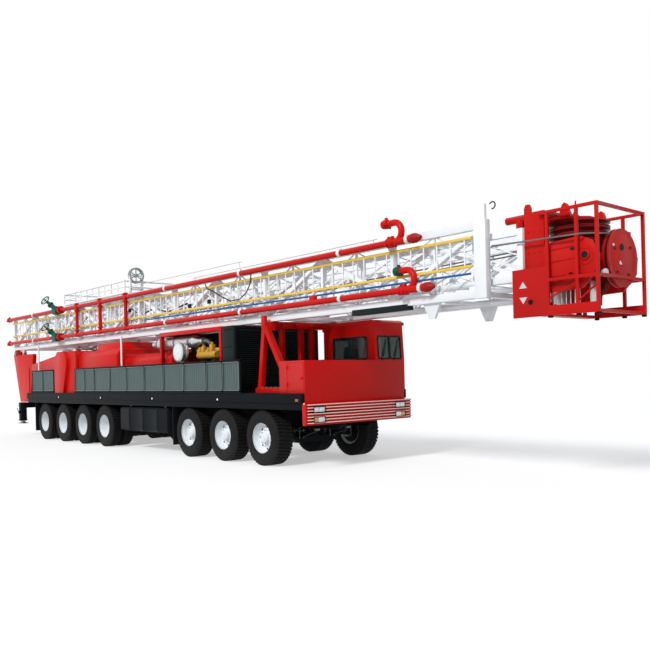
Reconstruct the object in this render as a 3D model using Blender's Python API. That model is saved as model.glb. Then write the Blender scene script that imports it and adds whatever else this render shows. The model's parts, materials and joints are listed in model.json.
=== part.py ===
"""A truck-mounted workover rig, parked with its telescopic mast laid over the cab.

Metres, +Z up, +X towards the front bumper, +Y to the driver's side. The origin is on the ground under
the middle of the whole machine. Every place along X is counted from a datum plane, and the finished
pieces stand forward of it by DATUM_X, which centres the machine on its origin.
"""

import math

import bmesh
import bpy
from mathutils import Matrix, Vector

# Where the datum plane of the places along X stands
DATUM_X = 0.185

# Clearances and seams
SEAT = 0.0003
SINK = 0.012
OVERRUN = 0.02
RUNNING = 0.006

# Turn of a round shape's facets: pins have a flat on top, and bores a corner, so that they bear
FLAT_UP = 0.5
CORNER_UP = 0.0

# Running gear
FRONT_AXLE_X = 4.36
AXLE_PITCH = 1.45
AXLE_GAP = 4.51
TYRE_RADIUS = 0.57
TYRE_SIDES = 14
SINGLE_TYRE_WIDTH = 0.42
TWIN_TYRE_WIDTH = 0.29
TWIN_TYRE_SPACE = 0.07
WHEEL_OUTER_Y = 1.42
RIM_RADIUS = 0.305
RIM_DEPTH = 0.03
RIM_WALL = 0.022
TYRE_SHOULDER = 0.045
DISC_THICK = 0.03
HUB_RADIUS = 0.13
HUB_PROUD = 0.11
HUB_BORE_RADIUS = 0.062
HUB_BORE_DEPTH = 0.10
SINGLE_DISC_Y = 0.05
TWIN_DISC_Y = -0.02
SPINDLE_CLEARANCE = 0.0008

# Steering
KINGPIN_Y = 0.93
KINGPIN_RADIUS = 0.032
EYE_RADIUS = 0.072
EYE_HEIGHT = 0.16
EAR_THICK = 0.045
EAR_RADIUS = 0.066
EAR_CLEARANCE = 0.0006
WEB_OFFSET = 0.082
WEB_THICK = 0.04
PIN_SIDES = 8

# Front axle beams and springs
BEAM_DEPTH = 0.12
BEAM_HEIGHT = 0.13
BEAM_DROP = 0.10
SPRING_Y = 0.43
SPRING_WIDTH = 0.09
SPRING_THICK = 0.07
SPRING_HALF = 0.60
SPRING_PAD_HALF = 0.12
HANGER_LENGTH = 0.07

# Rear bogies
HOUSING_RADIUS = 0.085
HOUSING_SIDES = 8
DIFF_RADIUS = 0.22
DIFF_HALF = 0.16
BOGIE_BEAM_Y = 0.43
BOGIE_BEAM_WIDTH = 0.12
BOGIE_BEAM_END = 0.13
BOGIE_BEAM_MIDDLE = 0.20
BOGIE_BEAM_TOP_SHARE = 0.8

# Chassis rails
RAIL_Y = 0.43
RAIL_WIDTH = 0.13
RAIL_WALL = 0.022
RAIL_BOTTOM = 0.74
RAIL_TOP = 1.15
RAIL_REAR_X = -10.75
RAIL_FRONT_X = 5.64
CROSS_MEMBER = 0.13
CROSS_MEMBER_SHARES = (0.015, 0.15, 0.30, 0.42, 0.55, 0.68, 0.84, 0.985)

# Deck
DECK_HALF_WIDTH = 1.45
DECK_TOP = 1.485
DECK_BOTTOM = 1.30
DECK_PLATE = 0.02
DECK_EDGE = 0.07
DECK_REAR_X = -8.86
DECK_FRONT_X = 5.74
DECK_BEAM_WIDTH = 0.09
DECK_BEAM_COUNT = 9
SKIRT_THICK = 0.02
SKIRT_BOTTOM = 1.165
FLAP_BOTTOM = 0.24
FLAP_REAR_X = -8.35
FLAP_MIDDLE_X = 0.66
FLAP_WIDTH = 0.55
FLAP_THICK = 0.03

# Boxes slung under the deck between the axle groups
BOX_AHEAD_OF_REAR_AXLES = 1.0
BOX_REAR_X = FRONT_AXLE_X - 2 * AXLE_PITCH - AXLE_GAP + BOX_AHEAD_OF_REAR_AXLES
BOX_BEHIND_FRONT_AXLES = 1.01
BOX_FRONT_X = FRONT_AXLE_X - 2 * AXLE_PITCH - BOX_BEHIND_FRONT_AXLES
BOX_TOP = 1.12
BOX_BOTTOM = 0.50
BOX_DEPTH = 0.62
BOX_MARGIN = 0.05
BOX_OUTER_Y = DECK_HALF_WIDTH - BOX_MARGIN
BOX_CHAMFER = 0.05
BOX_STRAP_SHARES = (0.2, 0.5, 0.8)
BOX_STRAP_WIDTH = 0.05
BOX_STRAP_PROUD = 0.012
HANGER_WIDTH = 0.10

# Folding side platforms
PLATFORM_HEIGHT = 0.72
PLATFORM_THICK = 0.05
PLATFORM_RAIL = 0.045
PLATFORM_REAR_RUN = (-8.44, -6.56)
PLATFORM_FRONT_STATIONS = (-4.96, -3.61, -1.62, 0.36, 2.32, 3.67)
PLATFORM_SKIN = 0.008
PLATFORM_GAP = 0.015
PLATFORM_HINGE_RADIUS = 0.014

# Front locker and bumper
LOCKER_REAR_X = 4.96
LOCKER_FRONT_X = 5.76
LOCKER_TOP = 2.12
LOCKER_MARGIN = 0.08
LOCKER_HALF_WIDTH = DECK_HALF_WIDTH - LOCKER_MARGIN
BUMPER_FRONT_X = 5.88
BUMPER_DEPTH = 0.12
BUMPER_TOP = 1.28
BUMPER_BOTTOM = 0.87
BUMPER_RIBS = 7
BUMPER_RIB_PROUD = 0.02
BUMPER_BRACKET_Y = 0.43
LAMP_POCKET_Y = 1.12
LAMP_POCKET_WIDTH = 0.30
LAMP_POCKET_HEIGHT = 0.12
LAMP_POCKET_DEPTH = 0.035
LAMP_UPPER_Z = 1.17
LAMP_LOWER_Z = 0.975

# Cab
CAB_INNER_Y = 0.55
CAB_MARGIN = 0.03
CAB_OUTER_Y = DECK_HALF_WIDTH - CAB_MARGIN
CAB_REAR_X = 4.10
CAB_FRONT_X = 5.72
CAB_ROOF = 2.965
CAB_WALL = 0.05
CAB_RAKE = 0.04
CAB_ROOF_LIP = 0.05
CAB_ROOF_THICK = 0.10
CAB_WINDOW_BOTTOM = 2.15
CAB_WINDOW_TOP = 2.62
CAB_SIDE_WINDOW = (4.42, 5.50)
CAB_PILLAR = 0.10
DOOR_REAR_X = 4.30
DOOR_FRONT_X = 5.20
DOOR_BOTTOM = 1.62
DOOR_TOP = 2.80
DOOR_GAP = 0.008
DOOR_HINGE_RADIUS = 0.01
DOOR_AXIS_INSET = 0.028
DOOR_WINDOW_INSET = 0.12

# Mast support behind the cab
SUPPORT_Y = 0.95
SUPPORT_TOP_X = 3.96
SUPPORT_REAR_FOOT_X = 3.76
SUPPORT_FRONT_FOOT_X = 4.80
SUPPORT_TUBE = 0.13
SUPPORT_LEG_SHARE = 0.85
SUPPORT_BEAM_HEIGHT = 0.15
SUPPORT_POST_SHARES = (-0.55, 0.0, 0.32)
SUPPORT_POST_SIZE = 0.10
SUPPORT_GUIDE_HEIGHT = 0.12
SUPPORT_FOOT_HEIGHT = 0.10

# Engine bay
BAY_MARGIN = 0.25
RADIATOR_REAR_X = 2.66
RADIATOR_FRONT_X = 3.10
RADIATOR_HALF_WIDTH = DECK_HALF_WIDTH - BAY_MARGIN
RADIATOR_TOP = 2.97
RADIATOR_FRAME = 0.06
RADIATOR_SLATS = 9
RADIATOR_SLAT_DEPTH = 0.05
ENGINE_REAR_X = 0.70
ENGINE_FRONT_X = 2.30
ENGINE_HALF_WIDTH = 0.45
ENGINE_TOP = 2.55
ENGINE_SUMP_HALF = 0.28
ENGINE_SUMP_TOP = 1.80
ENGINE_HEAD_WIDTH = 0.17
ENGINE_HEAD_HEIGHT = 0.14
ENGINE_HEADS = 6
ENGINE_SHOULDER_SHARE = 0.8
CANOPY_REAR_X = -0.20
CANOPY_FRONT_X = 2.62
CANOPY_TOP = 2.98
CANOPY_HALF_WIDTH = DECK_HALF_WIDTH - BAY_MARGIN
CANOPY_RAIL = 0.09
SILENCER_REAR_X = -0.92
SILENCER_FRONT_X = 1.53
SILENCER_MARGIN = 0.50
SILENCER_Y = SILENCER_MARGIN - DECK_HALF_WIDTH
SILENCER_Z = 2.72
SILENCER_RADIUS = 0.15
SILENCER_CONE = 0.18
SILENCER_NECK = 0.07
SILENCER_SIDES = 12
SILENCER_LEG = 0.06
SILENCER_LEG_OFFSET = 0.09
SILENCER_LEG_Y = SILENCER_Y + SILENCER_LEG_OFFSET
SILENCER_LEG_SHARES = (0.15, 0.5)
FILTER_X = 0.92
FILTER_Z = 2.46
FILTER_RADIUS = 0.235
FILTER_MARGIN = 0.11
FILTER_DEPTH = 0.17
FILTER_OUTER_Y = DECK_HALF_WIDTH - FILTER_MARGIN
FILTER_INNER_Y = FILTER_OUTER_Y - FILTER_DEPTH
FILTER_DISH = 0.04
FILTER_FACE_SHARE = 0.8
FILTER_SIDES = 16
FILTER_LEG_WIDTH = 0.05

# Winch housings on the deck
DRUM_REAR_X = -6.46
DRUM_FRONT_X = -5.05
DRUM_TOP = 2.74
DRUM_MARGIN = 0.11
DRUM_HALF_WIDTH = DECK_HALF_WIDTH - DRUM_MARGIN
DRUM_CHAMFER = 0.22
COWL_MARGIN = 0.01
DRUM_COWL_HALF_WIDTH = DECK_HALF_WIDTH - COWL_MARGIN
DRUM_COWL_REAR_X = -6.46
DRUM_COWL_FRONT_X = -5.55
DRUM_COWL_TOE = 0.28
WEDGE_REAR_X = -8.80
WEDGE_REAR_TOP = 2.42
WEDGE_FRONT_TOP = 2.66
WEDGE_INNER_Y = 0.62
WEDGE_MARGIN = 0.15
WEDGE_CHAMFER = 0.10
SAND_REAR_X = -5.04
SAND_FRONT_X = -2.50
SAND_TOP = 2.70
SAND_MARGIN = 0.19
SAND_HALF_WIDTH = DECK_HALF_WIDTH - SAND_MARGIN
SAND_CREST_HALF_WIDTH = 1.0
SAND_CREST_TOP = 2.90
SAND_CREST_REAR_X = -4.35
SAND_CREST_FRONT_X = -2.70
GEAR_REAR_X = -2.48
GEAR_FRONT_X = 0.10
GEAR_TOP = 2.50
GEAR_MARGIN = 0.40
GEAR_HALF_WIDTH = DECK_HALF_WIDTH - GEAR_MARGIN
GEAR_CHAMFER = 0.15

# Mast base at the tail
PIVOT_X = -11.04
PIVOT_Z = 2.88
PIVOT_PIN_RADIUS = 0.045
PIVOT_CLEARANCE = 0.0008
BASE_PLATE_INNER_Y = 0.90
BASE_PLATE_OUTER_Y = 1.02
BASE_CHEEK_INNER_Y = 0.68
BASE_CHEEK_OUTER_Y = 0.74
BASE_TOP_REAR_X = -11.30
BASE_TOP_FRONT_X = -9.42
BASE_TOP = 2.80
BASE_FOOT_REAR_X = -10.72
BASE_FOOT_FRONT_X = -9.76
BASE_FOOT_TOP = 1.36
BASE_TUBE = 0.12
BASE_TIE_DROP = 0.46
BASE_HORN_TOP = 2.995
BASE_HORN_HALF = 0.16

# Lower mast section
MAST_REAR_X = -11.74
MAST_FRONT_X = 9.71
MAST_HALF_WIDTH = 0.85
MAST_SIDE_THICK = 0.10
MAST_BOTTOM = 3.00
MAST_TOP = 4.22
MAST_CHORD = 0.13
MAST_WEB = 0.07
MAST_BAYS = 11
MAST_FLOOR_THICK = 0.08
MAST_FLOOR_BAYS = 8
MAST_PORTAL_LENGTH = 0.22
MAST_EAR_INNER_Y = 0.80
MAST_EAR_OUTER_Y = 0.86
MAST_EAR_TOP = 4.47
MAST_EAR_LENGTH = 0.18
LUG_HALF_TOP = 0.34
LUG_HALF_BOTTOM = 0.12
LUG_DROP = 0.09
LUG_INNER_Y = 0.765
LUG_OUTER_Y = 0.835
SHOE_LENGTH = 0.30
SHOE_X = (-9.0, 0.5, 9.3)
RACK_BRACKET_X = 8.45
RACK_BRACKET_DROP = 0.26

# Upper mast section
TOPMAST_REAR_X = -10.90
TOPMAST_FRONT_X = 10.27
TOPMAST_HALF_WIDTH = 0.66
TOPMAST_SIDE_THICK = 0.08
TOPMAST_BOTTOM = 3.20
TOPMAST_TOP = 4.02
TOPMAST_CHORD = 0.10
TOPMAST_WEB = 0.055
TOPMAST_BAYS = 12
TOPMAST_FLOOR_THICK = 0.06
TOPMAST_FLOOR_BAYS = 8
TOPMAST_TRAVEL = 14.5

# Ladder on the near side of the mast
LADDER_REAR_X = -11.74
LADDER_FRONT_X = 9.46
LADDER_BOTTOM = 3.49
LADDER_TOP = 3.99
LADDER_STILE = 0.045
LADDER_DEPTH = 0.04
LADDER_RUNGS = 21
LADDER_RUNG = 0.03

# Mud pipes on the near side of the mast
PIPE_Y = -0.97
PIPE_RADIUS = 0.055
PIPE_SIDES = 8
PIPE_REAR_X = -11.88
PIPE_LEVELS = ((3.26, 7.66), (4.12, 7.36))
PIPE_BEND_RADIUS = 0.17
PIPE_BEND_STEPS = 5
PIPE_UNION_RADIUS = 0.085
PIPE_UNION_LENGTH = 0.09
MANIFOLD_X = (-5.78, -4.13, -2.49)
MANIFOLD_TOP = 4.27
MANIFOLD_SIZE = 0.07
CLAMP_X = (-9.4, -0.25, 3.09, 6.40)
CLAMP_WIDTH = 0.06
CLAMP_DROP = 0.20
VALVE_X = (-8.05, -7.80)
VALVE_SIZE = 0.17
VALVE_BACK_SHARE = 0.6

# Working board folded on the upper mast
BOARD_REAR_X = -7.27
BOARD_FRONT_X = -2.94
BOARD_BOTTOM = 4.27
BOARD_TOP = 4.65
BOARD_HALF_WIDTH = 0.78
BOARD_TUBE = 0.05
BOARD_POSTS = 5
BOARD_FLOOR_THICK = 0.03
BOARD_LEG_SHARES = (0.12, 0.88)
REEL_X = -2.75
REEL_Y = -0.45
REEL_Z = 4.71
REEL_RADIUS = 0.285
REEL_BORE_RADIUS = 0.235
REEL_THICK = 0.10
REEL_HUB_RADIUS = 0.05
REEL_SPOKE = 0.04
REEL_SIDES = 16
REEL_LEG = 0.06

# Crown
CROWN_BODY_FRONT_X = 10.62
CROWN_BODY_HALF_WIDTH = 0.60
CROWN_BODY_BOTTOM = 2.80
CROWN_BODY_TOP = 4.24
CROWN_BODY_WALL = 0.05
CROWN_NOSE_FRONT_X = 11.15
CROWN_NOSE_PLATE = 0.04
CROWN_GUARD_FRONT_X = 11.555
CROWN_GUARD_HALF_WIDTH = 0.70
CROWN_GUARD_BOTTOM = 2.63
CROWN_GUARD_TOP = 4.20
CROWN_GUARD_REAR_X = 10.70
CROWN_GUARD_TUBE = 0.045
CROWN_GUARD_MIDDLE_X = 11.21
CROWN_GUARD_MIDDLE_Z = 3.14
CROWN_SIGN_REAR_X = 10.10
CROWN_SIGN_TOP = 3.37
CROWN_ARM_REAR_X = 9.91
CROWN_ARM_RADIUS = 0.06
CROWN_ROLLER_RADIUS = 0.065
CROWN_ROLLER_INSET = 0.245
CROWN_ROLLER_DROP = 0.14
CROWN_TRAY_TOP = 2.78
CROWN_LUG_X = 10.33
CROWN_LUG_HALF = 0.06
CROWN_LUG_TOP = 4.37
CROWN_BRACKET_OUTLINE = (
    (10.60, 2.98), (11.24, 3.00), (11.38, 3.14), (11.46, 3.25),
    (11.48, 3.50), (11.40, 3.68), (11.22, 3.76), (10.60, 3.72),
)
CROWN_BOSS_X = 11.30
CROWN_BOSS_Z = 3.475
CROWN_BOSS_RADIUS = 0.08
CROWN_BOSS_PROUD = 0.025
DISC_REAR_X = 11.40
DISC_THICK_X = 0.10
DISC_Y = 0.11
DISC_Z = 3.46
DISC_RADIUS = 0.43
DISC_GROOVE = 0.035
DISC_SIDES = 20
DISC_BEAM = 0.09
STACK_X = 10.85
STACK_Z = 3.85
STACK_RADIUS = 0.46
STACK_COUNT = 4
STACK_PITCH = 0.106
STACK_GROOVE = 0.05
GROOVE_SHARES = (0.2, 0.5, 0.8)
STACK_SIDES = 14
STACK_SHAFT_RADIUS = 0.05
FAST_X = 10.93
FAST_Z = 3.20
FAST_RADIUS = 0.34
FAST_THICK = 0.09
FAST_Y = 0.10

# Raising cylinders
CYLINDER_FOOT_X = -9.5
CYLINDER_FOOT_Z = 1.0
CYLINDER_HEAD_X = -7.4
CYLINDER_HEAD_Z = 2.89
CYLINDER_Y = 0.25
CYLINDER_BARREL_RADIUS = 0.10
CYLINDER_STAGE_RADIUS = 0.08
CYLINDER_ROD_RADIUS = 0.058
CYLINDER_EYE_RADIUS = 0.085
CYLINDER_EYE_HALF = 0.05
CYLINDER_PIN_RADIUS = 0.042
CYLINDER_SIDES = 8
CYLINDER_BARREL_RUN = (0.05, 2.40)
CYLINDER_STAGE_RUN = (0.20, 2.52)
CYLINDER_ROD_START = 0.32
CYLINDER_FLOOR = 0.06
CYLINDER_COLLAR = 0.05
CYLINDER_TUBE_HALF = 0.345
HEAD_EAR_THICK = 0.035
HEAD_EAR_HALF = 0.11
DECK_SLOT_FRONT_X = -8.65
DECK_SLOT_HALF = 0.36

# Tail jacks
JACK_X = -10.22
JACK_Y = 1.12
JACK_SIZE = 0.20
JACK_WALL = 0.02
JACK_TOP = 1.14
JACK_BOTTOM = 0.50
JACK_LEG_SIZE = 0.13
JACK_PAD_RADIUS = 0.16
JACK_PAD_THICK = 0.04
JACK_PAD_BOTTOM = 0.40
JACK_CLEARANCE = 0.0006

RED = ("rig_red", (0.62, 0.03, 0.02), 0.38, 0.0)
WHITE = ("mast_white", (0.82, 0.84, 0.85), 0.42, 0.0)
BLACK = ("chassis_black", (0.02, 0.022, 0.025), 0.5, 0.0)
GREY = ("platform_grey", (0.14, 0.19, 0.19), 0.6, 0.2)
RUBBER = ("tyre_rubber", (0.02, 0.02, 0.02), 0.85, 0.0)
YELLOW = ("engine_yellow", (0.7, 0.42, 0.05), 0.45, 0.0)
STEEL = ("bright_steel", (0.55, 0.57, 0.58), 0.3, 0.9)


def material(look):
    """The Principled material of that name, colour, roughness and metallic value, made once."""
    name, colour, roughness, metallic = look
    made = bpy.data.materials.get(name)
    if made is None:
        made = bpy.data.materials.new(name)
        made.use_nodes = True
        shader = made.node_tree.nodes["Principled BSDF"]
        shader.inputs["Base Color"].default_value = (*colour, 1.0)
        shader.inputs["Roughness"].default_value = roughness
        shader.inputs["Metallic"].default_value = metallic
    return made


def closed(bm):
    """The bmesh with its doubles merged and every face turned outwards."""
    bmesh.ops.remove_doubles(bm, verts=bm.verts, dist=SEAT / 30)
    bmesh.ops.recalc_face_normals(bm, faces=bm.faces)
    return bm


def along(axis, a, b, c):
    """A point from its place c along the axis and its other two coordinates a and b, in X, Y, Z order."""
    return {"X": (c, a, b), "Y": (a, c, b), "Z": (a, b, c)}[axis]


def box(x, y, z):
    """A block between the low and high values of x, y and z."""
    bm = bmesh.new()
    middle = Vector([(s[0] + s[1]) / 2 for s in (x, y, z)])
    size = Matrix.Diagonal([abs(s[1] - s[0]) for s in (x, y, z)]).to_4x4()
    bmesh.ops.create_cube(bm, size=1, matrix=Matrix.Translation(middle) @ size)
    return bm


def panel(axis, outline, low, high, holes=()):
    """A plate between low and high along the axis, with the outline and holes of its other two coordinates."""
    bm = bmesh.new()
    edges = []
    for loop in (outline, *holes):
        ring = [bm.verts.new(along(axis, a, b, low)) for a, b in loop]
        edges += [bm.edges.new(pair) for pair in zip(ring, ring[1:] + ring[:1])]
    bmesh.ops.triangle_fill(bm, use_beauty=True, edges=edges)
    grown = bmesh.ops.extrude_face_region(bm, geom=bm.faces[:])
    moved = [v for v in grown["geom"] if isinstance(v, bmesh.types.BMVert)]
    bmesh.ops.translate(bm, verts=moved, vec=along(axis, 0, 0, high - low))
    return closed(bm)


def turned(axis, profile, centre, sides, phase=FLAT_UP):
    """A turned shape about the axis through the centre: profile pairs a place along the axis with a radius."""
    bm = bmesh.new()
    rings = []
    for place, radius in profile:
        if radius == 0:
            rings.append([bm.verts.new(along(axis, 0, 0, place))] * sides)
            continue
        turns = [2 * math.pi * (k + phase) / sides for k in range(sides)]
        ring = [bm.verts.new(along(axis, radius * math.sin(t), radius * math.cos(t), place)) for t in turns]
        rings.append(ring)
    solid_core = profile[0][1] == 0
    pairs = list(zip(rings, rings[1:])) + ([] if solid_core else [(rings[-1], rings[0])])
    for one, two in pairs:
        for k in range(sides):
            corners = [one[k - 1], one[k], two[k], two[k - 1]]
            loop = [v for i, v in enumerate(corners) if v is not corners[i - 1]]
            if len(loop) > 2:
                bm.faces.new(loop)
    bmesh.ops.translate(bm, verts=bm.verts, vec=centre)
    return closed(bm)


def across(start, end):
    """The matrix that carries +Z from the origin onto the line from start to end."""
    start, end = Vector(start), Vector(end)
    return Matrix.Translation(start) @ (end - start).to_track_quat("Z", "Y").to_matrix().to_4x4()


def rod(start, end, radius, sides=HOUSING_SIDES, phase=FLAT_UP):
    """A round bar from start to end."""
    length = (Vector(end) - Vector(start)).length
    bm = turned("Z", [(0, 0), (0, radius), (length, radius), (length, 0)], (0, 0, 0), sides, phase)
    bmesh.ops.transform(bm, matrix=across(start, end), verts=bm.verts)
    return bm


def beam(start, end, width, depth=None):
    """A square or oblong bar from start to end."""
    length = (Vector(end) - Vector(start)).length
    half, deep = width / 2, (depth or width) / 2
    bm = box((-half, half), (-deep, deep), (0, length))
    bmesh.ops.transform(bm, matrix=across(start, end), verts=bm.verts)
    return bm


def sweep(points, radius, sides):
    """A round tube through the points."""
    points = [Vector(p) for p in points]
    bm = bmesh.new()
    rings = []
    for k, point in enumerate(points):
        way = (points[min(k + 1, len(points) - 1)] - points[max(k - 1, 0)]).normalized()
        side = way.cross(Vector((0, 1, 0))).normalized()
        turns = [2 * math.pi * i / sides for i in range(sides)]
        ring = [bm.verts.new(point + radius * (side * math.cos(t) + way.cross(side) * math.sin(t))) for t in turns]
        rings.append(ring)
    for one, two in zip(rings, rings[1:]):
        for i in range(sides):
            bm.faces.new((one[i - 1], one[i], two[i], two[i - 1]))
    bm.faces.new(rings[0])
    bm.faces.new(rings[-1][::-1])
    return closed(bm)


def as_object(bm, name):
    """A linked object that holds the bmesh."""
    mesh = bpy.data.meshes.new(name)
    bm.to_mesh(mesh)
    bm.free()
    made = bpy.data.objects.new(name, mesh)
    bpy.context.scene.collection.objects.link(made)
    return made


def combined(target, shapes, operation):
    """Joins the shapes to the target, or cuts them from it, with one exact Boolean."""
    group = bpy.data.collections.new("operands")
    helpers = [as_object(shape, "operand") for shape in shapes]
    for helper in helpers:
        group.objects.link(helper)
    change = target.modifiers.new(operation.lower(), "BOOLEAN")
    change.operation = operation
    change.operand_type = "COLLECTION"
    change.collection = group
    change.solver = "EXACT"
    bpy.context.view_layer.update()
    result = bpy.data.meshes.new_from_object(target.evaluated_get(bpy.context.evaluated_depsgraph_get()))
    target.modifiers.clear()
    old = target.data
    target.data = result
    bpy.data.meshes.remove(old)
    for helper in helpers:
        spare = helper.data
        bpy.data.objects.remove(helper)
        bpy.data.meshes.remove(spare)
    bpy.data.collections.remove(group)


def piece(name, look, shapes, cuts=(), added=(), origin=(0, 0, 0), smooth=0.6):
    """One named solid: shapes joined, cuts taken out, more shapes added, its origin on its joint."""
    made = as_object(shapes[0], name)
    for more, operation in ((shapes[1:], "UNION"), (cuts, "DIFFERENCE"), (added, "UNION")):
        if more:
            combined(made, more, operation)
    made.data.transform(Matrix.Translation(-Vector(origin)))
    made.location = Vector(origin) + Vector((DATUM_X, 0, 0))
    made.data.name = name
    made.data.materials.clear()
    made.data.materials.append(material(look))
    made.data.shade_smooth()
    made.data.set_sharp_from_angle(angle=smooth)
    return made


def both_sides(low, high):
    """The span from low to high on the driver's side, and its mirror on the near side."""
    return ((low, high), (-high, -low))


def truss_holes(start, end, bottom, top, bays, web):
    """The triangles left open by posts and diagonals that zigzag over the bays of a truss."""
    holes = []
    length = (end - start) / bays
    for k in range(bays):
        left = start + k * length + web / 2 * (k > 0)
        right = start + (k + 1) * length - web / 2 * (k < bays - 1)
        lean = math.atan2(top - bottom, right - left)
        over, up = web / 2 / math.sin(lean), web / 2 / math.cos(lean)
        high = [(left, bottom + up), (right - over, top), (left, top)]
        low = [(left + over, bottom), (right, bottom), (right, top - up)]
        if k % 2:
            high, low = ([(left + right - a, b) for a, b in reversed(h)] for h in (high, low))
        holes += [high, low]
    return holes


def oblong(a, b, c, d):
    """The corners of a rectangle from a to b and from c to d."""
    return [(a, c), (b, c), (b, d), (a, d)]


def truss(axis, start, end, bottom, top, chord, web, bays, low, high):
    """A welded truss panel: two chords, end posts, and zigzag bays between them."""
    holes = truss_holes(start + chord, end - chord, bottom + chord, top - chord, bays, web)
    return panel(axis, oblong(start, end, bottom, top), low, high, holes)


def ladder_frame(start, end, half, rail, rung, bays, low, high):
    """A flat frame along X: two rails of a width, end bars, and cross bars between equal bays."""
    pitch = (end - start - 2 * rail + rung) / bays
    holes = [
        oblong(start + rail + k * pitch, start + rail + (k + 1) * pitch - rung, rail - half, half - rail)
        for k in range(bays)
    ]
    return panel("Z", oblong(start, end, -half, half), low, high, holes)


def axle_places():
    """The places of the seven axles along X, from the front one back."""
    front = [FRONT_AXLE_X - AXLE_PITCH * k for k in range(3)]
    return front + [front[-1] - AXLE_GAP - AXLE_PITCH * k for k in range(4)]


def tread_outline(half, twin):
    """The outer run of a wheel's section from its inboard wall to its outboard wall, one tyre or a pair."""
    tread = TYRE_RADIUS / math.cos(math.pi / TYRE_SIDES)
    wall = (RIM_RADIUS + tread) / 2
    shoulder = half - TYRE_SHOULDER
    run = [(-half, wall), (-shoulder, tread)]
    if twin:
        run += [(-TWIN_TYRE_SPACE / 2, tread), (0, RIM_RADIUS), (TWIN_TYRE_SPACE / 2, tread)]
    return run + [(shoulder, tread), (half, wall)]


def wheel(name, x, side, twin):
    """One wheel on its hub, single or twin, turned about its axle; side is 1 or -1."""
    width = 2 * TWIN_TYRE_WIDTH + TWIN_TYRE_SPACE if twin else SINGLE_TYRE_WIDTH
    half = width / 2
    disc = TWIN_DISC_Y if twin else SINGLE_DISC_Y
    edge = half - RIM_DEPTH
    bore = disc + HUB_PROUD - HUB_BORE_DEPTH
    profile = [(bore, 0), (bore, HUB_BORE_RADIUS), (disc - DISC_THICK, HUB_BORE_RADIUS)]
    profile += [(disc - DISC_THICK, RIM_RADIUS - RIM_WALL), (-edge, RIM_RADIUS)]
    profile += tread_outline(half, twin)
    profile += [(edge, RIM_RADIUS), (disc, RIM_RADIUS - RIM_WALL), (disc, HUB_RADIUS)]
    profile += [(disc + HUB_PROUD, HUB_RADIUS - RIM_WALL), (disc + HUB_PROUD, 0)]
    centre = (x, side * (WHEEL_OUTER_Y - half), TYRE_RADIUS)
    shape = turned("Y", [(side * t, r) for t, r in profile], centre, TYRE_SIDES)
    return piece(name, RUBBER, [shape], origin=centre)


def spindle_reach(twin):
    """How far out along Y the spindle's tip stands, short of the floor of the hub's bore."""
    half = TWIN_TYRE_WIDTH + TWIN_TYRE_SPACE / 2 if twin else SINGLE_TYRE_WIDTH / 2
    disc = TWIN_DISC_Y if twin else SINGLE_DISC_Y
    return WHEEL_OUTER_Y - half + disc + HUB_PROUD - HUB_BORE_DEPTH - SEAT


def knuckle(name, x, side):
    """A steering knuckle: a fork round the axle's eye, the kingpin in it, and the wheel's spindle."""
    eye = EYE_HEIGHT / 2 + EAR_CLEARANCE
    tall = eye + EAR_THICK
    back, inner, outer = -EAR_RADIUS, WEB_OFFSET, WEB_OFFSET + WEB_THICK
    fork = [(back, -tall), (outer, -tall), (outer, tall), (back, tall)]
    fork += [(back, eye), (inner, eye), (inner, -eye), (back, -eye)]
    y = side * KINGPIN_Y
    outline = [(y + side * a, TYRE_RADIUS + b) for a, b in fork]
    shapes = [panel("X", outline, x - EAR_RADIUS, x + EAR_RADIUS)]
    pin = eye + EAR_THICK / 2
    shapes.append(rod((x, y, TYRE_RADIUS - pin), (x, y, TYRE_RADIUS + pin), KINGPIN_RADIUS, PIN_SIDES))
    start = y + side * (WEB_OFFSET + WEB_THICK / 2)
    radius = HUB_BORE_RADIUS * math.cos(math.pi / TYRE_SIDES) - SPINDLE_CLEARANCE
    shapes.append(rod((x, start, TYRE_RADIUS), (x, side * spindle_reach(False), TYRE_RADIUS), radius, PIN_SIDES))
    return piece(name, BLACK, shapes, origin=(x, y, TYRE_RADIUS))


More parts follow.
